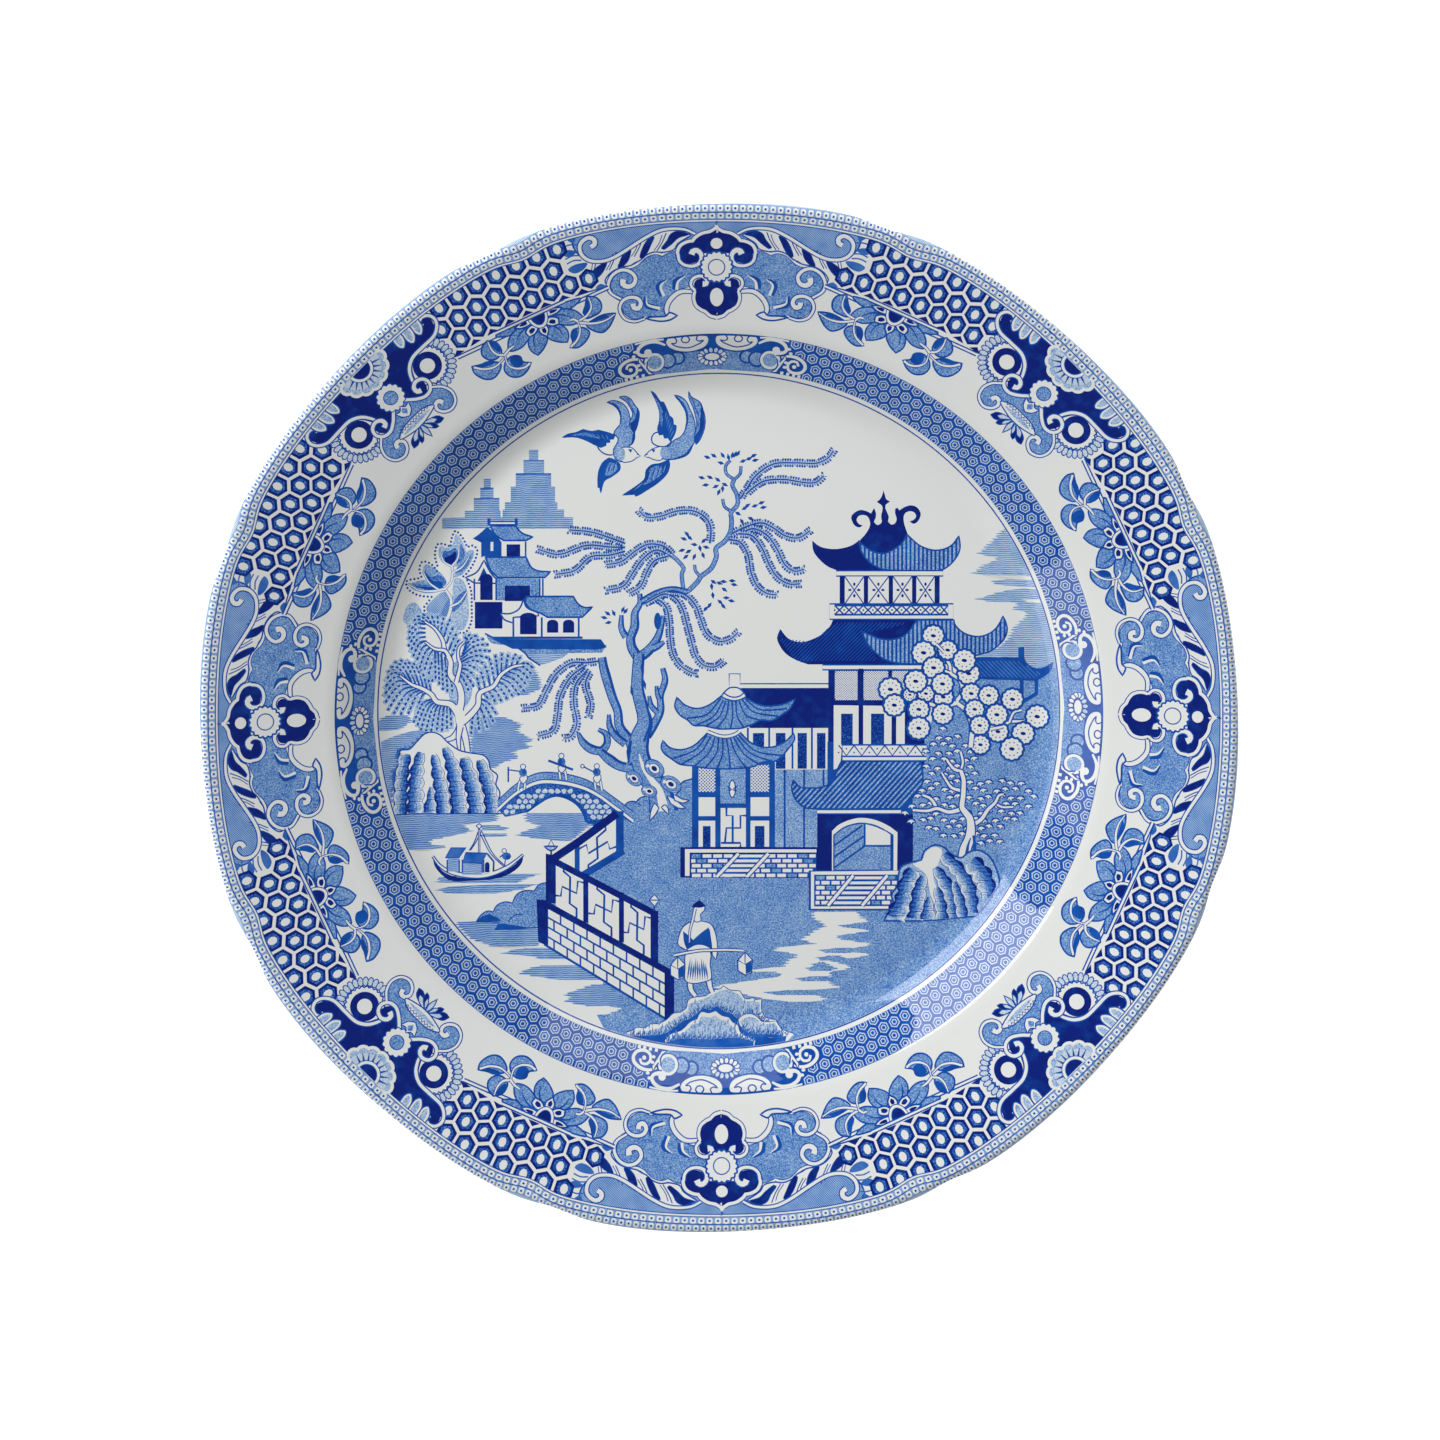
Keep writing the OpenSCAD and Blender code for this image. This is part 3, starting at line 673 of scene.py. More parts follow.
def dotted(points, gap=0.95, size=0.33):
    """A row of dots along a curve."""
    path = smooth(points)
    length = np.linalg.norm(np.diff(path, axis=0), axis=1).sum()
    for x, y in spaced(path, int(length / gap) + 1):
        oval(DEEP, x, y, size, 0, 0, 6)


def feather_bush():
    """Big shaded leaves on white veins, with a dotted edge, left of the palaces."""
    for ink, lobe in (
            ((0.34, 1), [(-81, 23.5), (-80.3, 27), (-78.5, 28.4), (-76.5, 26.5), (-76, 23), (-78, 21.5)]),
            ((0.42, 3), [(-70, 23), (-72.5, 24.2), (-75.2, 26.5), (-73, 29.5), (-70.5, 31), (-69, 28.5)]),
            ((0.3, 1), [(-69, 22.5), (-66, 21), (-64.4, 24), (-64.4, 29), (-65.4, 33.6), (-67.8, 34.5),
                        (-68.6, 29)]),
            ((0.4, 1), [(-79.6, 33.4, 1), (-78.8, 31.9), (-75, 30.6), (-71, 31.2, 1), (-71.5, 33.4),
                        (-75, 34.2)]),
            ((0.4, 1), [(-71, 32.4, 1), (-74.4, 33.4), (-76, 36), (-75.4, 38.2), (-73, 37.2),
                        (-70.4, 34.6)]),
            ((0.32, 1), [(-68.6, 37.4, 1), (-71, 38.6), (-72, 41), (-71.4, 42.9), (-69.6, 42.4),
                         (-68.2, 43.6), (-67.5, 46), (-65.6, 43.6), (-64.8, 40.4), (-66.4, 38)]),
            ((0.4, 1), [(-68.2, 34.6, 1), (-65.8, 35.6), (-63.6, 38.8), (-62.9, 41.6), (-64.4, 41.6),
                        (-66.6, 39)])):
        fill(ink, lobe)
    for ink, shade in (
            ((0.6, 1), [(-78.8, 33), (-75, 32.9), (-71.5, 33), (-70.8, 31.6), (-75, 31.4)]),
            (DEEP, [(-78, 32.6), (-74.6, 32.3), (-71, 32.5), (-71.2, 31.5), (-75, 31.6)]),
            ((0.66, 1), [(-75.6, 36.8), (-74, 34.8), (-72, 35.4), (-70, 34), (-70.6, 32.4), (-74, 33)]),
            (DEEP, [(-75.2, 35.6), (-73.4, 33.9), (-71.4, 33.7), (-71, 32.4), (-74, 32.9)]),
            ((0.7, 1), [(-70.8, 41.4), (-69.2, 41.6), (-67.6, 42.4), (-67, 40), (-68.5, 37.8),
                        (-70.6, 39)]),
            (SOLID, [(-70.4, 40), (-69, 40.4), (-67.6, 41.4), (-67.6, 39.6), (-68.6, 38), (-70.3, 39)]),
            ((0.64, 1), [(-66.4, 43.4), (-65.4, 42), (-65.4, 40), (-67.4, 38), (-66.6, 40.6)]),
            ((0.66, 1), [(-68, 36), (-66.2, 36.2), (-64.2, 38.2), (-63.6, 40.4), (-65.8, 38.4)]),
            ((0.66, 1), [(-68.6, 26), (-67, 26.6), (-65, 29.4), (-64.8, 31.4), (-67.6, 29.4)]),
            ((0.6, 3), [(-70.4, 23.6), (-71.4, 25), (-70.2, 28), (-69, 29.4), (-69.2, 26.4)])):
        fill(ink, shade)
    for vein, width in (([(-70.6, 22.4), (-69.2, 25.6), (-68.8, 29), (-70.3, 31.7)], (0.9, 0.7, 0.6)),
                        ([(-70.2, 31.8), (-73.5, 31.2), (-77, 31.5), (-80, 33.4)], (0.6, 0.4, 0.2)),
                        ([(-70.3, 31.8), (-68.7, 33.8), (-68.4, 36.4), (-68.6, 37.8)], 0.5),
                        ([(-68.6, 37.6), (-70.6, 38.8), (-71.4, 41)], (0.45, 0.2)),
                        ([(-68.6, 37.6), (-67, 39.8), (-66.7, 43)], (0.45, 0.2)),
                        ([(-68.4, 36), (-66, 37.4), (-64.2, 40)], (0.45, 0.2)),
                        ([(-72, 31.6), (-74.4, 33.4), (-76, 36.4)], (0.45, 0.2)),
                        ([(-69, 27.2), (-66.6, 28.4), (-64.6, 31.2)], (0.5, 0.2))):
        edged(WHITE, width, WASH, 0.1, vein)
    for edge in ([(-72.5, 23.4), (-75.8, 26.4), (-74.4, 28.8)],
                 [(-73.8, 29.7), (-77, 30.1), (-79.6, 31.7), (-80.2, 34), (-77.2, 34.6)],
                 [(-76.4, 35), (-76.9, 37), (-76.1, 39), (-73.8, 38.2), (-72.4, 36.4)],
                 [(-72.3, 37.8), (-72.9, 40.5), (-72.2, 43.4), (-70, 43.2), (-68.9, 42.6, 1), (-68.6, 44.8),
                  (-67.6, 46.8), (-65.8, 45), (-64.6, 42.6, 1), (-63.2, 43), (-62, 41.8), (-62.8, 38.8),
                  (-64.4, 36.2), (-65.6, 35)],
                 [(-64.6, 34), (-63.6, 31), (-63.5, 27), (-63.6, 23.3), (-65, 20.6), (-67.5, 20.4)]):
        dotted(edge)


def limb(points, width, ink=MID, dark=0.3):
    """A branch with a thin dark edge on its right and a broader one on its left."""
    path = smooth(points)
    wide = np.asarray(width, float)
    put(DEEP, ribbon(path, wide + 2 * dark))
    put(ink, lane(path, wide, -0.55, 1))


def frond(points, reach=1.2):
    """A willow twig: a stem with short slanting leaflets along both sides."""
    path = smooth(points, step=0.6)
    put(BLEED, ribbon(path, (1.2, 1.9, 2, 1.9, 1.2)))
    line(DEEP, (0.36, 0.26), points)
    way = np.gradient(path, axis=0)
    way = way / np.linalg.norm(way, axis=1)[:, None]
    for i in range(1, len(path)):
        for side in (1, -1):
            out = np.array([-way[i, 1], way[i, 0]]) * side
            sliver(WASH, path[i] + out * 0.2, path[i] + out * 0.8 + way[i] * 0.4, 0.3)
            if (i + (side > 0)) % 5:
                sliver(DEEP, path[i] + out * 0.55, path[i] + out * reach + way[i] * 0.35, 0.66)


def teardrops(centre, tips):
    """Small dark leaves whose blunt ends point away from centre."""
    for x, y in tips:
        way = np.array([x - centre[0], y - centre[1]])
        way = way / max(np.hypot(*way), 0.1)
        sliver(DEEP, (x - way[0], y - way[1]), (x + way[0], y + way[1]), 0.95)


def willow():
    """The willow in the middle of the scene."""
    for points in (
            [(-19.5, 27.8), (-16, 29), (-13.5, 27), (-12.7, 23), (-12.5, 19), (-11.8, 15), (-10, 12),
             (-7, 10), (-5.5, 9.8)],
            [(-18.5, 28.2), (-14, 30.4), (-11, 29.2), (-9.3, 26.5), (-8.3, 23), (-7, 18), (-6, 14.5),
             (-4, 12), (-1, 11.5), (1.3, 13)],
            [(-13, 31), (-9, 30.4), (-6, 27.5), (-4.5, 23.5), (-3, 20), (0, 18.1), (3, 18.7), (5, 20.5)],
            [(5.5, 55), (7.5, 58), (9.5, 61), (14, 64), (20, 64.3), (25, 64.2), (28, 65.5), (29.5, 67.5)],
            [(7, 56.2), (9, 58), (12, 59.7), (17, 60), (22, 59.2), (25, 59.3), (27, 61)],
            [(-2.3, 43.5), (-2, 46), (-2.3, 48.5), (-4, 50.7), (-7, 52), (-11, 51.8), (-15, 50.5),
             (-18.5, 50.3), (-20.5, 52)],
            [(3, 45.8), (7, 47.8), (11, 48.8), (14, 47.5), (17, 45.5), (20.5, 44.9), (23.5, 46.8)],
            [(6, 46.3), (9, 47.3), (12.5, 45.5), (15, 42), (17, 38), (19.5, 36.3), (22, 36.8)],
            [(5, 46), (8.5, 45.5), (11, 42.5), (13, 38), (15, 34.8), (18, 33), (21, 33)],
            [(2.5, 44.5), (5.5, 43.8), (7.5, 40.5), (8.3, 36), (10, 32.3), (12.5, 30.5), (15, 30.2)],
            [(-11.5, 40.2), (-14, 42.7), (-18, 43.3), (-21.5, 41.5), (-25, 38.8), (-29, 38)],
            [(-12, 40), (-16, 41.8), (-19.5, 39.5), (-22, 36), (-24.5, 32.5), (-29, 31.3)],
            [(-13, 40.2), (-16.5, 39), (-18.5, 36), (-20, 32.5), (-23, 30.5)],
            [(-24, 42.5), (-28, 42.6), (-34, 43), (-41, 40.7), (-46.5, 42)],
            [(-24, 43.5), (-28, 45), (-33, 46.5), (-38.5, 47)],
            [(-24, 41.5), (-28, 40.5), (-33, 40), (-37, 36.5), (-42, 35.5)],
            [(-31, 13), (-34, 12.6), (-38, 12.5), (-42, 9.5), (-44.5, 5), (-46.5, 1.5), (-50.5, 0.8)],
            [(-34, 12), (-38, 9), (-40.8, 4), (-41.5, -1), (-42.5, -5), (-46.5, -6.5)],
            [(-33.5, 11), (-36.8, 7), (-37.3, 2), (-36.5, -3), (-38, -6.5), (-40, -7)],
            [(-33, 10.5), (-34.3, 7), (-33, 2), (-33.5, -1.5)]):
        frond(points)
    limb([(-30, 14), (-29.5, 11), (-27.5, 4), (-26, 0), (-25.5, -4), (-23, -7.5), (-22, -9.5)],
         (1.6, 2, 1.8, 1.7, 2, 2.4))
    limb([(-36.2, -5.6), (-35, -8), (-33, -9.7), (-30.3, -10.2), (-28.8, -8.5), (-29, -6), (-31, -4.7)],
         (0.4, 1.5, 1.9, 1.7, 1.4, 1.2, 0.5))
    limb([(-30.5, -10.5), (-28, -12.6), (-25.5, -14.2), (-22.5, -14.6), (-21, -13)], (1.4, 2.2, 2, 2, 2))
    limb([(-28.3, -0.8), (-28, -4), (-26.5, -6.5), (-24, -8.5)], (0.4, 1.2, 1.4, 1.6))
    limb([(-20.3, 30.5), (-20.2, 28), (-21.5, 25.5), (-21.6, 22), (-22.6, 19), (-22.3, 16.5), (-20.8, 14)],
         (0.8, 1, 1.5, 1.8, 1.7, 2, 2.2))
    limb([(-25, 25), (-25, 21.5), (-23.8, 19.2)], (0.5, 1, 1.4))
    limb([(-14.2, 24.8), (-14.9, 21.5), (-16, 18.5), (-18, 15.8), (-20.3, 14)], (0.5, 1, 1.6, 2, 2.2))
    limb([(-14, 18), (-15.5, 17), (-17, 16.3)], (0.4, 1.2, 1.5))
    oval(DEEP, -15.7, 23.4, 0.95, 2.2)
    limb([(-14.4, 11.2), (-13.8, 8), (-15, 4), (-15, 0), (-17, -4), (-18.6, -6.5)],
         (0.8, 1.2, 1.2, 1.4, 1.8, 2))
    limb([(-17.9, 4), (-17.4, 1.5), (-15.8, -0.3)], (0.4, 0.9, 1))
    limb([(-16, 6.6), (-15.8, 4.5), (-15.2, 3)], (0.4, 0.7, 0.9))
    trunk = smooth([(-20.6, 15), (-20.8, 11), (-20.9, 6), (-19.8, 1), (-19, -3), (-20.2, -6.5),
                    (-20.6, -10), (-19.6, -14), (-17.5, -17.5), (-15.4, -20.5), (-14.4, -24), (-14.2, -26)])
    width = (2.2, 2.4, 2.6, 2.8, 2.8, 3.8, 4.6, 4.6, 5, 5.4, 6, 7)
    put(DEEP, ribbon(trunk, np.array(width) + 0.6))
    put(MID, lane(trunk, width, -0.8, 1))
    put(WHITE, lane(trunk[45:], (0.3, 1.4, 1.8, 2.4, 3), -0.8, 0.9))
    put(DEEP, lane(trunk[:40], 2.9, -1.1, -0.72))
    fill(MID, [(-23.9, -14.2), (-21.6, -12.2), (-21.2, -9), (-22.6, -8), (-23.3, -10.5), (-23.4, -12.5)])
    line(DEEP, (0.5, 0.9, 0.3), [(-22.6, -7.6), (-23.2, -10.5), (-23.2, -13.6)])
    for x, y in ((-20.9, 11), (-20.4, 7.3), (-23.6, 5.3)):
        sliver(DEEP, (x + 1.6, y - 1.8), (x + 0.9, y + 1.4), 0.9)
    for x, y, rx, ry, turn in ((-16.6, -14.9, 2.7, 2, -40), (-12.3, -19, 2.7, 1.9, -30),
                               (-21.8, -17.5, 2.3, 1.6, -40), (-17.9, -20.8, 2, 1.5, -20)):
        for ink, part in ((DEEP, 1.1), (MID, 1), (DEEP, 0.62), (WHITE, 0.54), (SOLID, 0.3)):
            oval(ink, x, y, rx * part, ry * part, turn, 14)
        oval(WHITE, x - rx * 0.62, y + ry * 0.35, rx * 0.16, ry * 0.25, turn)
    for root in ([(-16.5, -24), (-17.5, -26), (-17.8, -28.5, 1), (-16.4, -27), (-15.4, -25.2, 1)],
                 [(-13.8, -24.3), (-13, -25.4), (-12.9, -26.8, 1), (-13.9, -26), (-14.8, -25, 1)],
                 [(-13.2, -22), (-11, -23.2), (-8.5, -25.3, 1), (-10.4, -25.2), (-12.4, -24, 1)],
                 [(-11.5, -21.7), (-9.5, -22.8), (-7.4, -23.2, 1), (-9.2, -23.9), (-11.4, -23.2, 1)]):
        patch(WHITE, DEEP, 0.35, root)


def blossom_branch():
    """The thin branch that hangs over the middle, with clusters of small leaves."""
    for points, width in (
            ([(-8, 31), (-5.5, 33.5), (-4.5, 35), (-2, 37), (-0.6, 40), (-0.7, 42.2), (1.5, 44), (3, 46.5),
              (3.3, 49.5), (3.2, 51.5), (4.8, 53.5), (4.7, 56), (3.5, 58.5), (4, 60)],
             (0.9, 0.9, 0.7)),
            ([(4, 60), (2, 61.5), (1.8, 63.5), (3, 65)], 0.45),
            ([(4, 60), (5.5, 61.5), (5.7, 63.5)], 0.45),
            ([(3.2, 51.8), (1.5, 53), (1, 55)], 0.45),
            ([(-5, 35.2), (-6, 36.5), (-6.2, 38)], 0.45),
            ([(-9, 31), (-9.5, 35.5), (-9, 37), (-10.5, 39), (-12, 40.3)], 0.7)):
        edged(MID, width, DEEP, 0.17, points)
    limb([(-20, 28.5), (-16, 30.8), (-12, 31.8), (-8, 31)], (0.9, 0.8, 0.7, 0.9))
    for middle, tips in (
            ((3, 63.5), ((-3, 65.8), (-1.3, 66.2), (1, 66.3), (0.5, 64.3), (2.5, 65.8), (3.5, 66.3),
                         (4.2, 66.5), (5, 66.8), (6.3, 64.8), (7.8, 65.4), (9, 66.2), (9.4, 65))),
            ((1, 59), ((-4.4, 60.5), (-2.3, 60.6), (-0.3, 60), (-3.4, 58.6), (-0.8, 58.2), (1, 57.6),
                       (0, 56.7), (1.6, 58.7))),
            ((4.5, 51.5), ((6.7, 52.6), (7.4, 53.3), (9.3, 53.2), (11, 54), (11.5, 52.8), (8.3, 49.9),
                           (6, 49.1), (5, 51.2))),
            ((-5, 43), ((-8.2, 46), (-9, 44.7), (-7.5, 45), (-6.3, 43.2), (-9.5, 41.7), (-7.8, 41.4),
                        (-8.5, 40), (-6.3, 40), (-4.8, 42.2), (-3.8, 44.2), (-3.2, 42.5), (-4, 40.4))),
            ((-2, 34), ((-1.3, 33.5), (-1.8, 32.3), (0.2, 33.2), (1.3, 33.6), (3.5, 33.8), (4, 32.8),
                        (1.5, 31.5), (-1.5, 30))),
            ((-1, 29.5), ((2, 29.4), (3.3, 28.6), (0.4, 28.3), (1.2, 27.2), (-2.4, 27.4), (-3.4, 26.5))),
            ((-26, 23.5), ((-28.6, 25.4), (-29.5, 24.3), (-28.4, 23), (-27, 25.5), (-24.6, 26.4),
                           (-23.9, 26)))):
        teardrops(middle, tips)


def doves():
    """Two birds that face each other over the scene."""
    left_wing = [(-40.2, 70.9, 1), (-38.6, 71.8), (-36.6, 72.2), (-34.8, 73, 1), (-32.6, 72.5),
                 (-30.8, 72.8, 1), (-28.2, 72.1), (-26.6, 71.4, 1), (-27, 70.5, 1), (-28, 70.4, 1),
                 (-27.9, 69.6, 1), (-28.8, 69.6, 1), (-29, 68.8, 1), (-30.3, 68.3, 1), (-31.8, 69),
                 (-34.4, 70.3), (-37, 71)]
    right_wing = [(-17.4, 83, 1), (-16.4, 82.3), (-14.9, 80.1), (-14.1, 80, 1), (-13.2, 78),
                  (-12.6, 76.4, 1), (-11.8, 75.8), (-11.6, 74.2, 1), (-10.9, 74), (-11.2, 72),
                  (-12.4, 69.8, 1), (-13, 70.8, 1), (-13.9, 70.7, 1), (-14.3, 71.7, 1), (-15.2, 71.5, 1),
                  (-15.7, 73), (-15.2, 75.2), (-15.2, 77.5), (-16, 80)]
    patch(WHITE, DEEP, 0.38, [(-26.2, 71.9), (-25.6, 70.6), (-26.2, 69), (-27, 67.7), (-27, 66.5),
                              (-28.8, 66.5), (-30.3, 67.4), (-31, 68.8), (-28.5, 71)])
    patch(WHITE, DEEP, 0.38, [(-16, 72.2), (-17.1, 71.2), (-17.1, 69.7), (-16, 68.8), (-14, 68.5),
                              (-12.8, 69.1), (-12.2, 70), (-13, 71.5)])
    for wing, glow in ((left_wing, [(-37.5, 71.5), (-34, 71.7), (-30.5, 70.6)]),
                       (right_wing, [(-16.3, 81), (-14.8, 77.8), (-14.7, 73.8)])):
        patch(DEEP, DEEP, 0.25, wing)
        line((0.6, 1), (0.2, 0.9, 0.3), glow)
    for roots, tips in (([(-35, 72.3), (-29, 71.8)], [(-33, 71.2), (-28.2, 70)]),
                        ([(-13.4, 78), (-11.4, 73)], [(-13.8, 75.4), (-12.6, 70.6)])):
        for a, b in zip(spaced(straight(roots), 6), spaced(straight(tips), 6)):
            sliver((0.62, 0), a, b, 0.32)
    left_body = [(-28.7, 80.1, 1), (-27.4, 80.5), (-25.8, 80.3), (-24.2, 79.3), (-23.2, 77.8),
                 (-22.8, 76.2), (-22.4, 74.8), (-21.6, 73), (-21.6, 71.2), (-22, 69.6), (-23.2, 68.2),
                 (-23, 66), (-24.6, 64.6), (-26.4, 65.3), (-27, 66.6), (-26.9, 68), (-26.2, 69.2),
                 (-25.8, 70.6), (-26.9, 72), (-26.2, 73.2), (-25.2, 74.5), (-25.1, 76.5), (-25.6, 78),
                 (-26.6, 79.2)]
    right_body = [(-11.4, 81.9, 1), (-9.6, 81.3), (-8.2, 80), (-7.3, 78), (-6.6, 76.4), (-6.1, 74.6),
                  (-6, 72.6), (-5.9, 70.8), (-6.8, 68.6), (-8.4, 66.6), (-10.4, 65.6), (-12.6, 65.2),
                  (-15, 65.6), (-16.5, 67.4), (-15, 68.3), (-13, 68.6), (-11.6, 70.1), (-9.6, 71.2),
                  (-8.4, 73.4), (-8, 75.6), (-8.3, 77.8), (-9.4, 79.6), (-10.6, 80.8)]
    for body in (left_body, right_body):
        patch((0.46, 1), DEEP, 0.3, body)
    for rim in (
            [(-28.7, 80.1), (-26.7, 79.3), (-25.6, 78), (-25.1, 76.3), (-25.3, 74.4)],
            [(-11.4, 81.9), (-9.6, 79.9), (-8.4, 77.8), (-8.1, 75.4), (-8.6, 73)],
            [(-6.4, 69.4), (-8.2, 66.6), (-11, 65.4), (-13, 65.1)],
            [(-21.6, 72.8), (-22, 69.8), (-23, 68.6)]):
        line(DEEP, (0.2, 0.65, 0.45, 0.2), rim)
    for feather, dark, strokes in (
            ([(-25.6, 81.4, 1), (-24.2, 81.7), (-22.6, 80.9), (-21.6, 79.4), (-20.4, 77.5), (-20.6, 75),
              (-21.2, 73), (-21.8, 72, 1), (-22.9, 74.4), (-22.1, 76.8), (-22.6, 78.4), (-23.6, 80),
              (-24.8, 80.9)],
             [(-20.8, 78.6), (-20.4, 76.8), (-21.2, 73), (-21.8, 72.2), (-22.7, 74.6), (-21.6, 75.4)],
             [(-22.6, 79.6, -21.6, 76.6), (-22, 78.6, -21.2, 75.4), (-23.4, 80.6, -22.4, 78.6)]),
            ([(-7.7, 82.9, 1), (-7, 81.4), (-4.8, 80), (-4, 78), (-3.5, 76), (-3.6, 73.5), (-4.6, 70.6),
              (-5.8, 69, 1), (-6.3, 71), (-5.7, 73.6), (-5.8, 75.6), (-6.6, 78.6), (-7.6, 81)],
             [(-4.4, 79.2), (-3.7, 76), (-3.8, 73.4), (-4.8, 70.6), (-5.9, 69.2), (-6.1, 71.2), (-5, 73),
              (-4.8, 75.6)],
             [(-6.6, 80.2, -5.4, 76.6), (-5.8, 78.8, -4.8, 75), (-5.4, 76, -5.2, 72.4),
              (-7, 81.4, -6, 79)])):
        patch((0.5, 1), DEEP, 0.28, feather)
        fill((0.86, 0), dark)
        for x0, y0, x1, y1 in strokes:
            sliver(DEEP, (x0, y0), (x1, y1), 0.3)
    for head, beak, eye, throat in (
            ([(-25, 68), (-24, 68.4), (-22.2, 68.2), (-21.2, 67.2), (-20.3, 66.2, 1), (-21.4, 65.4),
              (-22, 64.9), (-23.6, 64.5), (-25, 64.8)],
             [(-21, 66.6), (-20, 66.1), (-21, 65.7)], -22.7,
             [(-25.8, 67.6), (-24.4, 68), (-24, 66.4), (-24.6, 65), (-26, 65.6)]),
            ([(-14.6, 65.2), (-16.4, 65.1), (-17.6, 65.6), (-19.1, 66.1, 1), (-18, 67.2), (-16.6, 68.1),
              (-14.4, 68.4)],
             [(-18.2, 66.6), (-19.2, 66.1), (-18.3, 65.7)], -16.8,
             [(-13, 68.3), (-14.6, 68.2), (-15, 66.6), (-14.4, 65.5), (-12.6, 65.6)])):
        patch(WHITE, DEEP, 0.28, head)
        fill((0.4, 1), throat)
        fill(WHITE, beak, straight)
        line(DEEP, 0.2, beak, straight)
        fill((0.8, 0), [(eye - 0.6, 67.9), (eye + 0.6, 67.8), (eye + 0.1, 66.9)], straight)
    for tail, inner, strokes in (
            ([(-28.2, 65.6, 1), (-26.8, 65.2), (-25.4, 64), (-25.5, 62.4), (-27.5, 60.8), (-29.4, 59.6),
              (-30.3, 56.5, 1), (-30.6, 58), (-31, 58, 1), (-31, 60.6), (-30.6, 62.8), (-29.6, 64.6)],
             [(-28, 64.4), (-26.4, 64), (-26, 62.8), (-28, 61), (-29.2, 61.2), (-28.8, 63)],
             [(-28.6, 64, -29.6, 60.6), (-27.6, 64.4, -28.6, 61.2), (-26.6, 64.6, -27.2, 61.6)]),
            ([(-12.8, 65.2, 1), (-12.6, 63.6), (-13.4, 61.4), (-15.6, 59.2), (-18, 57.6), (-20.2, 56.2),
              (-21.4, 55.7, 1), (-21.6, 56.2, 1), (-24.7, 56, 1), (-22.8, 57.2), (-20.8, 58.6), (-19, 60.2),
              (-18.6, 62.4), (-17.2, 63.8), (-15, 64.2)],
             [(-17.8, 62.6), (-15.4, 63.6), (-14.2, 62.2), (-16.4, 60), (-19.4, 58.6), (-18, 60.4)],
             [(-17.4, 63, -18.8, 59), (-16.2, 63.6, -17.6, 59.2), (-15, 63.8, -16.2, 60),
              (-14, 64, -14.8, 61.2), (-19.6, 59.4, -22.6, 56.6)])):
        patch(DEEP, DEEP, 0.28, tail)
        fill((0.58, 1), inner)
        for x0, y0, x1, y1 in strokes:
            sliver(DEEP, (x0, y0), (x1, y1), 0.34)
            sliver((0.4, 0), (x0 + 0.4, y0), (x1 + 0.5, y1 + 0.3), 0.22)


def hairs(path, out, reach, ink=DEEP, gap=0.55):
    """Short strokes that soften the edge of a dark shade; out is the side they grow towards."""
    steps = np.concatenate([[0], np.cumsum(np.linalg.norm(np.diff(path, axis=0), axis=1))])
    way = np.gradient(path, axis=0)
    way = way / np.maximum(np.linalg.norm(way, axis=1), 1e-9)[:, None]
    for k, d in enumerate(np.arange(0.2, steps[-1], gap)):
        spot = np.array([np.interp(d, steps, path[:, i]) for i in (0, 1)])
        along = np.array([np.interp(d, steps, way[:, i]) for i in (0, 1)])
        across = np.array([-along[1], along[0]]) * out
        size = reach * (0.65 + 0.35 * math.sin(k * 2.1))
        sliver(ink, spot - across * 0.2, spot + across * size + along * 0.25, 0.42)


lobe_h = 3.2    # a column of rock bulges once in this height


def column(points, width, side=1):
    """A column of rounded rock, drawn downwards; side 1 puts the shade on its left, -1 on its right."""
    path = smooth(points)
    down = np.concatenate([[0], np.cumsum(np.linalg.norm(np.diff(path, axis=0), axis=1))])
    swell = np.abs(np.sin(down * np.pi / lobe_h))
    wide = np.interp(np.linspace(0, 1, len(path)), np.linspace(0, 1, len(width)),
                     width) * (0.78 + 0.4 * swell)
    put(DEEP, ribbon(path, wide + 0.24))
    put(WHITE, ribbon(path, wide - 0.1))
    for ink, start, lean in ((FAINT, -0.75, 0.3), (PALE, -0.5, 0.4), (MID, -0.08, 0.36), (WASH, 0.34, 0.36),
                             (SOLID, 0.72, 0.26)):
        inner = (start - lean * (swell - 0.5))[:, None]
        put(ink, lane(path, wide, inner, 1) if side > 0 else lane(path, wide, -1, -inner))
    for k, i in enumerate(range(1, len(path) - 1)):
        middle, half = path[i], wide[i] / 2
        out = np.array([-side, 0.0])
        near = 1 - swell[i]
        reach = half * (0.75 + 1.0 * near + 0.2 * math.sin(k * 2.7))
        root = middle + out * half * 0.95
        sliver(DEEP if k % 2 else FINE, root, root - out * reach + (0, 0.12), 0.46)
        if near > 0.45:
            root = middle - out * half
            sliver(FINE, root, root + out * half * 0.7 + (0, 0.2), 0.3)


def fronds(roots, tips, count, lift):
    """Drooping fronds from a branch to a line of tips: dark at the root, then broken up into dabs."""
    paths = []
    for a, b in zip(spaced(smooth(roots), count), spaced(smooth(tips), count)):
        paths.append(smooth([a, (a + b) / 2 + (0, lift), b], step=0.42))
    for path in paths:
        put((0.3, 1), ribbon(path, (0.5, 1.3, 1.5, 1.2)))
    for path in paths[::2]:
        put((0.5, 1), ribbon(path[:len(path) // 2], (0.4, 0.9, 0.3)))
    for k, path in enumerate(paths):
        whole = max(3, int(len(path) * (0.35 + 0.08 * (k % 3))))
        put(DEEP, ribbon(path[:whole], (0.5, 0.32)))
        for i in range(whole, len(path) - 2, 3):
            put(DEEP, ribbon(path[i:i + 3], (0.36, 0.62, 0.36)))


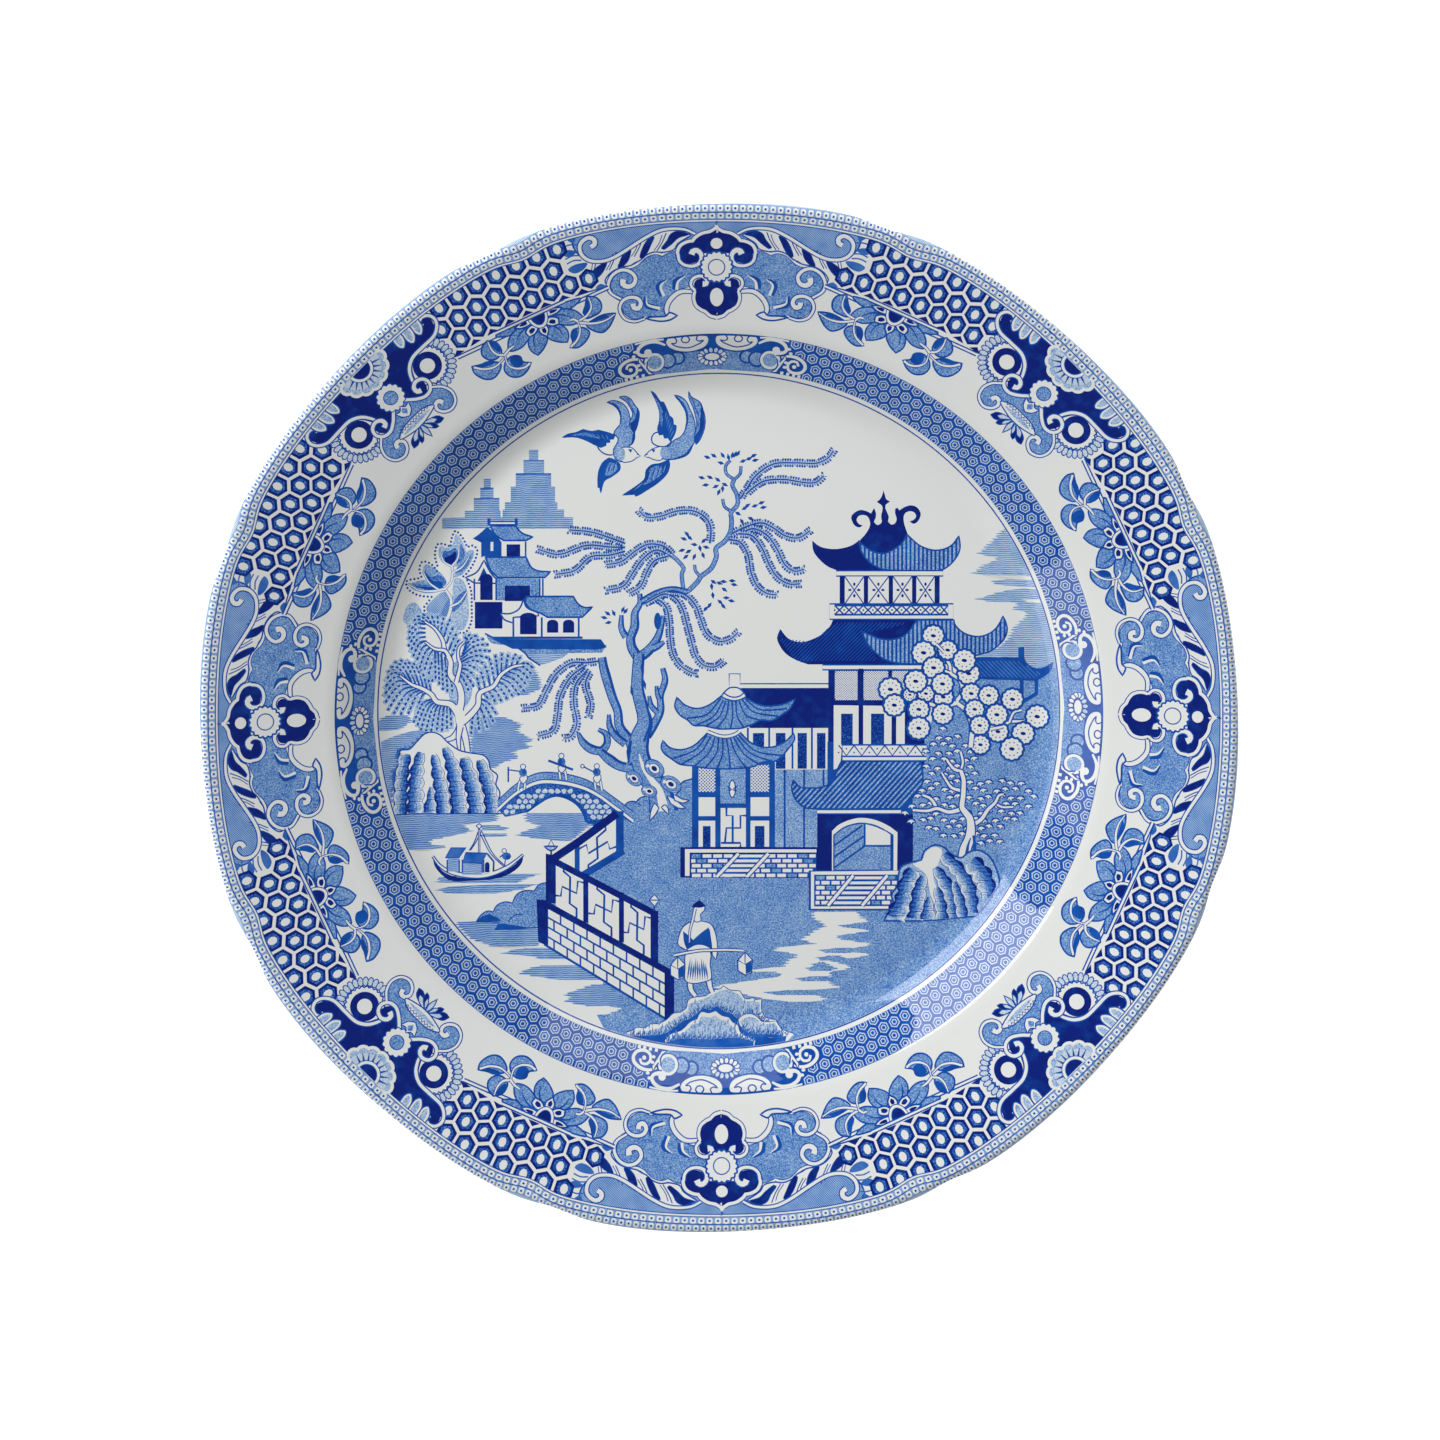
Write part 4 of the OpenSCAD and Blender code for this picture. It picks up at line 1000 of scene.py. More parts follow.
def palm_tree():
    """The tree of drooping fronds on the left rock."""
    fill((0.34, 1), [(-68.6, 1), (-69.5, 8), (-67.6, 13), (-65, 10), (-63.4, 5.6), (-65, 1.4)])
    for roots, tips, count, lift in (
            ([(-81, 8.6), (-76.5, 6.4), (-74, 5)],
             [(-85.6, 10.2), (-83.4, 13.4), (-79.5, 13.2), (-76, 11)], 8, 1.4),
            ([(-81, 8.4), (-77, 6.2), (-74.4, 5)],
             [(-86, 8), (-86.3, 3), (-84.3, -0.8), (-81, -0.8), (-78, -0.6)], 9, 2),
            ([(-73.6, 3.2), (-72, 2.5), (-69.4, 1.6)],
             [(-78.6, -3), (-76.5, -5.3), (-73.5, -5.2), (-70.5, -5.6), (-68.8, -4.6)], 9, 2),
            ([(-75.4, 23), (-73, 21), (-71.2, 18)],
             [(-80, 21.6), (-78.6, 24.4), (-75.6, 25.4), (-72, 25.4), (-69, 23.6)], 8, 1),
            ([(-75.4, 22.6), (-74.8, 17.6), (-70.6, 16)],
             [(-80, 20), (-79.8, 16), (-78, 12.6), (-76, 10), (-73.8, 7.6)], 10, 1.5),
            ([(-73, 16), (-69.6, 13.6)], [(-72.8, 7.6), (-70.4, 5), (-68.4, 4.2)], 5, 0.6),
            ([(-70.6, 19.4), (-68.8, 14)], [(-69, 24), (-67.4, 22), (-66.6, 19)], 4, 0.5),
            ([(-66.8, 11), (-66.4, 14), (-65, 17)],
             [(-60.6, 10.6), (-58.6, 14.6), (-59.2, 17.6), (-62, 20), (-65.4, 20.2)], 9, 1.2),
            ([(-67, 10), (-66.5, 12)], [(-64, 4.5), (-62, 8), (-60.8, 10)], 4, 0.8),
            ([(-61.4, 5), (-58, 7.2), (-55.5, 10.5), (-52, 12.2)],
             [(-62.6, 9.5), (-60, 13), (-57, 15.2), (-53, 15.3), (-50.4, 14)], 9, 0.8),
            ([(-60.8, 4.8), (-57, 8), (-54, 11), (-51.5, 12)],
             [(-58.8, 1.2), (-55.5, 2.2), (-52.5, 3.6), (-50, 5), (-48.4, 8), (-47.4, 11)], 11, 1),
            ([(-62.8, 1), (-61.6, 3.4)], [(-63.8, -6.4), (-61, -5.4), (-58.3, -4), (-57, -1)], 5, 1)):
        fronds(roots, tips, count, lift)
    for points, width in (
            ([(-70.6, -7.6), (-68.2, -6.6), (-66.6, -4), (-66.8, -1), (-67, 2)], (0.6, 1.3, 1.6, 1.8, 1.6)),
            ([(-64.6, -10.6), (-65.2, -7), (-66.2, -3)], (1, 1.4, 1.4)),
            ([(-66.8, -10), (-67, -7), (-66.6, -4)], (0.4, 0.9, 1.4)),
            ([(-66.6, -3), (-65, -2), (-62, 1.5), (-61.5, 4.7), (-58, 6.5), (-56, 9.5), (-53, 11.5),
              (-50.5, 12)],
             (1.6, 1.1, 0.8, 0.4)),
            ([(-67, -1), (-66.2, 3.5), (-67, 7), (-69, 9.5), (-69, 13), (-70.5, 16), (-71, 18.5),
              (-73, 21.5), (-75.5, 23.3)],
             (1.7, 1.3, 0.9, 0.3)),
            ([(-67.5, 7.5), (-66.5, 12), (-67, 14), (-66.8, 16.5), (-65.5, 18)], (0.9, 0.6, 0.3)),
            ([(-69.5, 14.5), (-70.5, 15.8), (-73, 16.2), (-75.5, 18)], (0.8, 0.3)),
            ([(-66.8, -1), (-69, 1.8), (-72.5, 2.5), (-74, 4.5), (-76.5, 6), (-79, 7), (-82, 9.3)],
             (1.7, 1.1, 0.8, 0.3))):
        edged(WHITE, width, DEEP, 0.24, points)
    fill(WHITE, [(-67.9, 1.2), (-66.6, 1.6), (-65.2, -1.6), (-66, -4), (-67.4, -3.4)])


def left_rock():
    """The rock under the palm, with a shaded slope behind it."""
    fill((0.44, 2), [(-87, -7.6, 1), (-82, -5.9), (-76.5, -4.9), (-74, -6.4), (-79, -10.5), (-83, -16),
                     (-84.4, -24, 1), (-86, -21)])
    shade = smooth([(-75.4, -6.2), (-77.8, -8.4), (-79.4, -9.9), (-82.3, -10.4), (-82, -13.4),
                    (-83.6, -16.4), (-83.4, -20), (-83.4, -24)])
    put((0.8, 0), ribbon(shade, (0.4, 1.3, 1.1, 0.9, 0.3)))
    hairs(shade, -1, 1.8, FINE, 0.5)
    patch(WHITE, DEEP, 0.4, [(-84, -26.6, 1), (-83.4, -23), (-83.4, -19), (-83.2, -15.6), (-82, -13),
                             (-82, -10.2), (-79.6, -9.8), (-77.5, -7.6), (-75.6, -5.8), (-73.6, -5.4),
                             (-71.6, -6.2), (-69.8, -8), (-67, -10), (-64.5, -10.7), (-60.6, -11.4),
                             (-59.2, -13), (-58.8, -15), (-57, -16.6), (-57.4, -19), (-56.4, -21),
                             (-56.6, -23.6), (-56, -26.6, 1)])
    for points, width, side in (
            ([(-80.6, -11), (-81.3, -15), (-81.8, -20), (-82, -26.4)], (2.6, 3, 3.2, 3.2), -1),
            ([(-76.6, -10.6), (-77.6, -15), (-78, -20), (-78.2, -26.4)], (1.8, 3.2, 3.8, 4), 1),
            ([(-74.2, -19.6), (-74.2, -23), (-74.4, -26.4)], (0.5, 2.2, 3.6), 1),
            ([(-73.3, -11.2), (-72.6, -15), (-71.6, -20), (-70.8, -26.4)], (1.4, 3, 3.4, 3.2), 1),
            ([(-70.6, -9.4), (-69, -13), (-67.6, -19), (-66.8, -26.4)], (1.4, 3.4, 3.8, 4), 1),
            ([(-65.6, -12), (-64.4, -16), (-63, -21), (-62.4, -26.4)], (2.2, 3.6, 3.8, 3.8), 1),
            ([(-61.6, -12.6), (-60.2, -16.6), (-58.9, -21), (-58.3, -26.4)], (1.8, 3.2, 3.2, 3.6), 1)):
        column(points, width, side)


def right_rock():
    """The rock under the leafy tree."""
    patch((0.36, 1), DEEP, 0.5, [(42.6, -54.7, 1), (44, -52), (45, -50), (44.6, -47.8), (46, -45.6),
                                 (46.4, -42.4), (47.2, -40.4), (49, -39.6), (52.2, -38.8, 1), (53.2, -36.3),
                                 (55.7, -34.9), (58, -35.5), (60.2, -37.4), (62.6, -38.2), (64.4, -36.8),
                                 (67.2, -36.3), (69.8, -37.9), (71.5, -40.9), (72.4, -44.7), (70.9, -47.2),
                                 (68.8, -50.5), (66.3, -53.4, 1), (54, -54.6)])
    fill(WHITE, [(50, -39.9, 1), (52.6, -38.9, 1), (53.5, -36.6), (55.7, -35.4), (57.6, -36.4),
                 (56.8, -39.4), (55.4, -43), (56.4, -47), (56, -50.6), (54.6, -47.6), (53.4, -42.6)])
    for points, width, side in (
            ([(50.5, -41.4), (48.6, -45), (47.8, -49), (45.6, -54)], (3.6, 4.2, 4.4, 5.4), 1),
            ([(53, -43), (51.8, -46.5), (51.4, -50), (50.6, -54.2)], (1.8, 3.2, 3.6, 3.8), 1),
            ([(54.4, -48.5), (54.1, -51), (54, -54.3)], (1, 2.8, 3.6), 1),
            ([(55.8, -40.8), (57.6, -43.6), (59.3, -47), (60, -50.5), (60.4, -54)],
             (1.6, 3.2, 3.4, 3.4, 3.4), -1),
            ([(56.2, -46), (57, -49), (57.4, -51.6), (57.6, -54.2)], (1.4, 2.4, 2.8, 3), -1),
            ([(57.8, -37.6), (61, -40.6), (63.6, -44.2), (64.8, -48), (65.2, -52.6)],
             (2.8, 3.4, 3.4, 3.6, 3), -1),
            ([(60.6, -44.6), (61.7, -48), (62.5, -51), (62.9, -53.6)], (1.2, 2.2, 2.6, 2.6), -1),
            ([(64.8, -39.2), (67.4, -42), (69, -45.4), (69.3, -48.6)], (4.4, 4.8, 4.6, 2.4), -1)):
        column(points, width, side)


def figure(x, y, way=1, height=1.0):
    """A tiny walking figure, only a head ring, a coat and two legs."""
    for points in ([(x + 0.3, y - 2.4), (x + 0.9 * way, y - 4), (x + 1.3 * way, y - 6.2)],
                   [(x - 0.2, y - 2.4), (x - 0.5 * way, y - 4.2), (x - 0.3 * way, y - 6)]):
        edged(WHITE, 0.4, DEEP, 0.16, [(px, y + (py - y) * height) for px, py in points])
    patch(WHITE, DEEP, 0.25, [(x - 0.9, y - 3), (x, y - 4.4), (x + 1.1, y - 3.2), (x + 0.7, y - 2)])
    oval(WASH, x, y - 1.5, 1.05, 1.15)
    oval(DEEP, x - 0.25 * way, y - 1.4, 0.5, 0.7)
    oval(DEEP, x, y, 0.82)
    oval(WHITE, x, y, 0.58)


def bridge():
    """The arched bridge with three figures."""
    def over(points, down):
        return [(px, py - down, *rest) for px, py, *rest in points]

    arch = [(-57, -23), (-52, -18.6), (-46.5, -15.9), (-40.5, -16), (-35, -17.3), (-31, -19.3),
            (-28, -21.5), (-25, -23.7), (-22, -26)]
    path = smooth(arch)
    for ink, low, high in ((DEEP, 0, 2.3), (MID, 0.35, 1.9), (WHITE, 2.2, 3), (DEEP, 3, 3.4)):
        put(ink, np.vstack([path - (0, low), (path - (0, high))[::-1]]))
    for figure_x, figure_y, way in ((-50.4, -14.4, -1), (-40.5, -11.6, 1), (-31.4, -14.3, 1)):
        figure(figure_x, figure_y, way)
    line(DEEP, 0.28, [(-51.2, -15.6), (-54.2, -15.2)], straight)
    line(DEEP, 0.34, [(-54.2, -14.4), (-54.2, -18.4)], straight)
    line(DEEP, 0.5, [(-43.9, -12.8), (-37.5, -15.2)], straight)
    line(DEEP, 0.3, [(-32.2, -15.8), (-35, -14.3)], straight)
    oval(DEEP, -35.1, -14.3, 0.62)
    oval(WHITE, -35.1, -14.3, 0.36)
    body = [p for p in smooth(over(arch, 3.3)) if p[0] > -56.6]
    foot = [(-24, -28.2), (-30, -32), (-33.6, -28.8), (-34.6, -27), (-36, -24.5), (-38.5, -22.8),
            (-41.5, -21.9), (-44, -22.5), (-46.5, -24), (-49.5, -26.3), (-55, -27.5)]
    put((0.8, 1), np.vstack([body, foot]))
    for k, (x, y) in enumerate((x + (j % 2) * 0.8, -19.4 - j * 1.35) for j in range(7)
                               for x in np.arange(-55.5, -26, 1.65)):
        roof = np.interp(x, [p[0] for p in arch], [p[1] for p in arch]) - 3.9
        floor = np.interp(x, [-55, -49.5, -46.5, -44, -41.5, -38.5, -36, -34.6, -33.6, -29, -25],
                          [-27, -26, -23.7, -22.1, -21.6, -22.5, -24.2, -26.7, -28.5, -30.5, -28])
        if y < roof - 0.2 and y > floor + 0.3:
            a = np.radians(np.arange(6) * 60 + 20 * math.sin(k * 1.9))
            r = 0.84 + 0.16 * np.sin(np.arange(6) * 2.6 + k * 1.3)
            put((0.18, 1), np.stack([x + r * 0.92 * np.cos(a), y + r * 0.78 * np.sin(a)], 1))
    line(DEEP, (0.3, 0.9, 0.5), [(-49.5, -26.3), (-46.5, -24), (-44, -22.4), (-41.5, -21.8), (-38.5, -22.6),
                                 (-36, -24.5), (-34.5, -27), (-33.9, -28.7), (-30.5, -29)])


def boat():
    """The boat with its two huts and a mast, and the bushes on the bank below it."""
    for points in ([(-62, -31.3), (-63, -34), (-64.3, -36.2)], [(-61.3, -31.3), (-62.6, -34), (-64, -36.2)],
                   [(-61.5, -31.8), (-58.8, -37), (-55.3, -40.5)],
                   [(-61.2, -31), (-58.2, -37), (-54.8, -40.5)]):
        line(DEEP, 0.24, points)
    line(DEEP, 0.5, [(-61.75, -30.6), (-61.75, -37)], straight)
    line(WHITE, 0.16, [(-61.75, -30.8), (-61.75, -36.8)], straight)
    patch(WHITE, DEEP, 0.4, [(-61.75, -29.2), (-61, -29.8), (-61.75, -30.6), (-62.5, -29.8)], straight)
    hull = [(-73.8, -37.5, 1), (-72.6, -39.9), (-70.9, -41.75), (-68, -43), (-63.8, -43.5), (-59.7, -43.1),
            (-55.5, -41.75), (-52.6, -39.9), (-50.3, -37.2, 1), (-50.9, -39.7), (-53.4, -42),
            (-57.2, -43.5), (-62.2, -44), (-68.8, -44.1), (-71.3, -42.6), (-73.2, -40.2)]
    fill(SOLID, hull)
    edged(WHITE, (0.2, 0.7, 0.75, 0.7, 0.2), DEEP, 0.25,
          [(-73.7, -37.7), (-72.2, -39.8), (-70, -41.4), (-66.5, -42.5), (-62, -42.9), (-58.5, -42.3),
           (-54.6, -40.6), (-52.4, -39), (-50.4, -37.3)])
    box((0.45, 2), -69.9, -41.7, -66.9, -38)
    box((0.45, 2), -66.1, -42.6, -61.1, -39)
    fill(WHITE, [(-59.7, -36.9), (-58, -39), (-58.1, -41.9), (-61.1, -42.4), (-61.1, -39.4)], straight)
    line(DEEP, 0.4, [(-59.7, -37), (-58, -39.1), (-58.1, -41.7)], straight)
    for x in (-70, -66.9, -66.1, -61, -60.6):
        line(DEEP, 0.3, [(x, -38.6), (x, -42)], straight)
    patch(WASH, DEEP, 0.35, [(-69, -35.5), (-65.1, -35.5), (-67, -38.1), (-70.5, -38.1)], straight)
    patch(WASH, DEEP, 0.35, [(-65.2, -36.75), (-59.7, -36.9), (-61.1, -39.5), (-66.1, -39.3)], straight)
    box(SOLID, -60.3, -41.9, -59.1, -39.7)
    oval(SOLID, -59.7, -39.8, 0.6)
    oval(WASH, -54.7, -37.7, 1.2, 1)
    oval(DEEP, -54.4, -38, 0.6)
    line(DEEP, 0.3, [(-55.6, -37.3), (-56.5, -38)], straight)
    line(DEEP, 0.24, [(-55, -38.6), (-55.2, -40)], straight)
    oval(DEEP, -55.3, -36.3, 0.72)
    oval(WHITE, -55.3, -36.3, 0.5)
    cloud = [(-62.6, -54.8, 1), (-61.3, -53), (-59.7, -52), (-58.2, -52.2, 1), (-57.2, -50.5),
             (-55.1, -49.6), (-53.2, -49.9, 1), (-52.2, -47.8), (-50.1, -46.7), (-47.6, -46.75, 1),
             (-46.3, -45.1), (-44, -44.5, 1), (-44, -56.2, 1), (-57.6, -56.9, 1), (-56.6, -54.9, 1)]
    patch(MID, DEEP, 0.35, cloud)
    fill(DEEP, [(-62.6, -54.8, 1), (-61, -53.4), (-59.4, -52.9), (-57.4, -53.6), (-56, -54.6, 1)])
    fill(DEEP, [(-58, -57, 1), (-56.4, -55.3), (-53.6, -55.6), (-48.4, -56.4, 1)])
    line(DEEP, 0.24, [(-54.2, -54.6), (-52.8, -53.2), (-50.8, -52.8)])


KEY_LINES = ([(0.3, 0), (0.28, 0.12), (0.52, 0.17), (0.5, 0.77), (0.75, 0.8), (0.75, 1)],
             [(0, 0.76), (0.18, 0.71), (0.23, 0.48), (0.75, 0.46), (0.8, 0.17), (1, 0.14)])


def key_panel(corners, flip=False):
    """A white panel with angular open-work; corners are top left, top right, bottom right, bottom left."""
    a, b, c, d = (np.array(p, float) for p in corners)
    put(WHITE, [a, b, c, d])
    for route in KEY_LINES:
        path = []
        for u, v in route:
            u = 1 - u if flip else u
            path.append((a * (1 - u) + b * u) * (1 - v) + (d * (1 - u) + c * u) * v)
        line(DEEP, 0.45, path, straight)


def masonry(corners, rows, pitch, gap=0.5):
    """White bricks on a dark ground, in a four-sided panel; corners as for key_panel."""
    a, b, c, d = (np.array(p, float) for p in corners)
    put(DEEP, [a, b, c, d])
    long = float(np.hypot(*(b - a)))
    tall = float(np.hypot(*(d - a)))

    def at(u, v):
        return (a * (1 - u) + b * u) * (1 - v) + (d * (1 - u) + c * u) * v

    e, g = gap / 2 / long, gap / 2 / tall
    for j in range(rows):
        starts = np.arange(-0.5 * (j % 2), long / pitch + 1) * pitch / long
        v0, v1 = j / rows + g, (j + 1) / rows - g
        for u in starts:
            u0, u1 = max(u + e, e), min(u + pitch / long - e, 1)
            if u1 - u0 > 0.01:
                put(WHITE, [at(u0, v0), at(u1, v0), at(u1, v1), at(u0, v1)])


def fence():
    """The fence in the foreground: open-work panels over brick, running down to the right."""
    def slope(x, at_left, at_right, left=-44.7, right=-11.5):
        return at_left + (at_right - at_left) * (x - left) / (right - left)

    def upper(x):
        return slope(x, -36.8, -54.4)

    def middle(x):
        return slope(x, -49.2, -67.8)

    def foot(x):
        return slope(x, -60.9, -81.6)

    back = ((-43, -38.6), (-36, -33.9), (-26.2, -26.6))
    fill(WHITE, [(-41.2, -38.6), (-36.5, -35.2), (-36.5, -40.9)], straight)
    key_panel([(-36, -34.6), (-26.4, -27.8), (-26.4, -37.6), (-36, -43.2)], True)
    for x, half, low, high in ((-36.5, 0.65, -41.5, -34.4), (-25.5, 1, -36.9, -26)):
        box(DEEP, x - half, low, x + half, high)
    line(SOLID, 1.65, back, straight)
    line(DEEP, 1.5, [(-35.2, -42.8), (-24.5, -36.3)], straight)
    for x0, x1 in ((-42, -34.9), (-33.6, -25.7), (-24.6, -17.6)):
        key_panel([(x0, upper(x0) - 1), (x1, upper(x1) - 1), (x1, middle(x1)), (x0, middle(x0))])
    masonry([(-44.2, middle(-44.2) - 1.6), (-14, middle(-14) - 1.6), (-14, foot(-14)),
             (-44.2, foot(-44.2))], 4, 3.9)
    line(DEEP, 0.5, [(-45, foot(-45)), (-13.6, foot(-13.6))], straight)
    for x in (-34.3, -25.1):
        fill(SOLID, [(x - 0.65, upper(x)), (x + 0.65, upper(x)), (x + 0.65, middle(x)),
                     (x - 0.65, middle(x))], straight)
    for x0, x1, line_at in ((-43, -16, upper), (-44.2, -12, middle)):
        put(SOLID, [(x0, line_at(x0)), (x1, line_at(x1)), (x1, line_at(x1) - 1.9), (x0, line_at(x0) - 1.9)])
    fill(SOLID, [(-44.6, -37), (-42, -37.6), (-42, -50), (-44.6, -50)], straight)
    fill(SOLID, [(-47, -49), (-44.2, -49.2), (-44.2, -61.2), (-46.6, -60)], straight)
    fill(SOLID, [(-17.6, -52), (-15.6, -52), (-15.6, -66.6), (-17.6, -65)], straight)
    fill(SOLID, [(-14, -68), (-11.5, -68.2), (-11.5, -79.4), (-14, -80.6)], straight)
    patch(WHITE, DEEP, 0.4, [(-43.2, -33.4), (-42.4, -35.1), (-44, -35.1)], straight)
    patch(PALE, DEEP, 0.45, [(-45, -35.1, 1), (-41.5, -35.1, 1), (-42.4, -36), (-43.2, -36.3), (-44, -36)])
    patch(WHITE, DEEP, 0.4, [(-16.6, -47.7), (-15.3, -49.2), (-16.6, -50.8), (-17.9, -49.2)], straight)
    line(DEEP, 0.25, [(-17.6, -49.2), (-15.6, -49.2)], straight)
    for x, y in ((-43.2, -36.8), (-16.6, -51.4)):
        line(DEEP, 0.4, [(x, y + 0.8), (x, y - 0.6)], straight)


def curved_roof(outline, ribs, ink=MID):
    patch(ink, DEEP, 0.45, outline)
    for rib in ribs:
        line(DEEP, (0.35, 0.3, 0.4), rib)


def diagonals(ink, width, outline, gap, lean=1.0):
    """Slanting lines inside an outline, clipped to it."""
    ring = smooth(outline, True, 0.4)
    shift = ring[:, 0] - ring[:, 1] * lean
    for d in np.arange(shift.min() + gap / 2, shift.max(), gap):
        f = shift - d
        cross = []
        for i in range(len(ring)):
            j = (i + 1) % len(ring)
            if (f[i] < 0) != (f[j] < 0):
                t = f[i] / (f[i] - f[j])
                cross.append(ring[i] * (1 - t) + ring[j] * t)
        cross.sort(key=lambda p: p[1])
        for p, q in zip(cross[::2], cross[1::2]):
            if np.hypot(*(q - p)) > 0.6:
                line(ink, width, [p, q], straight)


def lattice(x0, y0, x1, y1, gap, width=0.24, ink=WHITE, ground=DEEP):
    """Crossed slanting lines in a box."""
    box(ground, x0, y0, x1, y1)
    outline = [(x0, y0, 1), (x1, y0, 1), (x1, y1, 1), (x0, y1, 1)]
    for lean in (1, -1):
        diagonals(ink, width, outline, gap, lean)


def long_house():
    """The long roof and the row of windows behind the pavilion."""
    patch(WHITE, DEEP, 0.35, [(2.7, 9.7), (5.5, 9.7), (5.5, 7.1), (28.5, 7.1), (28.5, 5.8), (2.7, 5.8)],
          straight)
    fill(SOLID, [(6, 6), (28, 6), (29.5, 4), (29.5, -4.4), (8, -4.4), (5, 4)], straight)
    box(WHITE, 7, -15.1, 28.4, -4.4)
    for x in (7.5, 13, 19, 24, 28.4):
        line(DEEP, 0.4, [(x, -4.3), (x, -15)], straight)
    for x0, x1 in ((8.8, 11.7), (14.7, 17.2), (20.3, 22.7), (25.3, 27.5)):
        box(ROOM, x0, -15, x1, -5.7)
    box(SOLID, 28.4, -15.2, 29.7, 9)
    box((0.44, 1), 14.6, -36, 30, -15.2)
    for x in (17, 22, 27):
        line(DEEP, 0.4, [(x, -15.2), (x, -35.5 if x < 25 else -19.5)], straight)


def pavilion():
    """The little pavilion with two curved roofs."""
    box(DEEP, -6.9, -35.5, 14.5, -13)
    box((0.45, 1), 0.4, -24, 6.9, -14.5)
    for x0, x1 in ((-5.2, -0.9), (8.2, 13)):
        lattice(x0, -21, x1, -14, 0.85)
        box(WHITE, x0, -27.3, x1, -22.4)
        box(WHITE, x0, -35.3, x1, -28.5)
        box(ROOM, x0 + 1.1, -35.3, x1 - 1.2, -29.9)
    oval(DEEP, 3.5, -20.2, 0.95, 2.5)
    oval(WHITE, 3.5, -20.2, 0.65, 2.1)
    for x, y in ((1.8, -19.4), (5.1, -19.4), (2.2, -20.8), (4.9, -20.8)):
        sliver(DEEP, (3.5, -20.4), (x, y), 0.5)
    box(WHITE, 0.5, -35.3, 7, -25.2)
    for route in (
            [(2, -25.2), (2, -27.2), (3.6, -27.2), (3.6, -34.3)],
            [(7, -27.2), (5.6, -27.2), (5.6, -30.4), (2, -30.4), (1.6, -34.3)],
            [(0.6, -34.3), (5.6, -34.3), (5.6, -35.3)]):
        line(DEEP, 0.45, route, straight)
    lower = [(-14.4, -7.6, 1), (-12.5, -9.5), (-9.5, -10), (-6.5, -9), (-4, -6.8), (-2.8, -5.5, 1),
             (0, -6.5), (2, -6.7), (4, -6.3), (5.5, -5.5, 1), (8, -8), (11, -9.3), (14, -9.3), (17, -8),
             (19.3, -5.8, 1), (19.5, -7.5), (17.5, -10.3), (16, -12), (14, -13.2), (11.5, -13.2),
             (9, -14.4), (5, -14.9), (0, -15), (-4, -14.7), (-7, -14.2), (-10, -13.8), (-12, -12.5),
             (-14, -11), (-14.8, -9.5)]
    curved_roof(lower, [[(-3, -6.2), (-6, -10), (-11.6, -12.3)], [(-2, -6.6), (-4.6, -10.6), (-9.4, -13.7)],
                        [(-1, -6.8), (-2.4, -10.6), (-6.2, -14.3)], [(0, -7), (-0.6, -11), (-3.4, -14.7)],
                        [(1, -7), (1, -11), (-0.4, -15)], [(2, -7), (2.6, -11), (3, -14.9)],
                        [(3, -6.9), (4.4, -11), (7, -14.7)], [(3.8, -6.7), (6.4, -11), (10.2, -13.8)],
                        [(4.4, -6.5), (8, -10.8), (14, -13.2)], [(5, -6.2), (9.6, -10.4), (16.4, -11.6)]])
    edged(WHITE, 0.6, DEEP, 0.2, [(-2.9, -5.3), (0, -6.4), (2.1, -6.6), (4.3, -6), (5.4, -5.2)])
    upper = [(-10.8, 3.6, 1), (-8.5, 1.5), (-5.5, 0.7), (-2.5, 1.6), (0.5, 3.8), (1.2, 4.4, 1), (6.8, 4, 1),
             (7, 3.5), (10, 1.8), (13, 1.3), (16.5, 1.8), (19.7, 3.2, 1), (18.5, 0.8), (16.2, -1),
             (13.5, -2.5), (11, -2.3), (8.5, -3.5), (6, -4.4), (3, -4.6), (0, -4.6), (-4, -3.8),
             (-6.5, -3.7), (-8, -2.3), (-10, -1), (-11.3, 1.2)]
    curved_roof(upper, [[(0.6, 3.4), (-3, -0.8), (-8.2, -1.9)], [(1.2, 2.8), (-1.4, -1.4), (-5.6, -3.6)],
                        [(1.8, 2.6), (0.2, -1.4), (-3.4, -3.9)], [(2.6, 2.6), (1.8, -1.4), (-0.6, -4.5)],
                        [(3.4, 2.6), (3.6, -1.4), (3, -4.6)], [(4.4, 2.6), (4.8, -1.4), (6.4, -4.2)],
                        [(5.2, 2.6), (7, -1), (10.6, -2.4)], [(6, 3), (9, -0.2), (15.4, -1.4)],
                        [(6.8, 3.2), (10.6, 0.4), (17.6, 0.6)]])
    patch(WHITE, DEEP, 0.4, [(0.8, 3.9), (2.4, 5.8), (3.9, 6.2), (5.4, 5.8), (7, 3.9), (5.6, 3), (4, 2.7),
                             (2.4, 3)])
    line(DEEP, 0.28, [(1.4, 4.7), (2.6, 3.9), (4, 3.6), (5.4, 3.9), (6.4, 4.7)])


def balustrade(x0, y0, x1, y1, pitch):
    """A row of crosses with a dot in each space."""
    box(WHITE, x0, y0, x1, y1)
    line(DEEP, 0.4, [(x0, y0), (x1, y0), (x1, y1), (x0, y1)], straight, True)
    middle = (y0 + y1) / 2
    for x in np.arange(x0, x1 - pitch * 0.4, pitch):
        end = min(x + pitch, x1)
        line(DEEP, 0.32, [(x, y0), (end, y1)], straight)
        line(DEEP, 0.32, [(x, y1), (end, y0)], straight)
        oval(DEEP, x, middle, 0.25)


def striped(outline, gap=1.07):
    """The pale side of a big roof, with upright stripes."""
    patch(ROOF, DEEP, 0.45, outline)
    diagonals(DEEP, 0.42, outline, gap, 0.0)


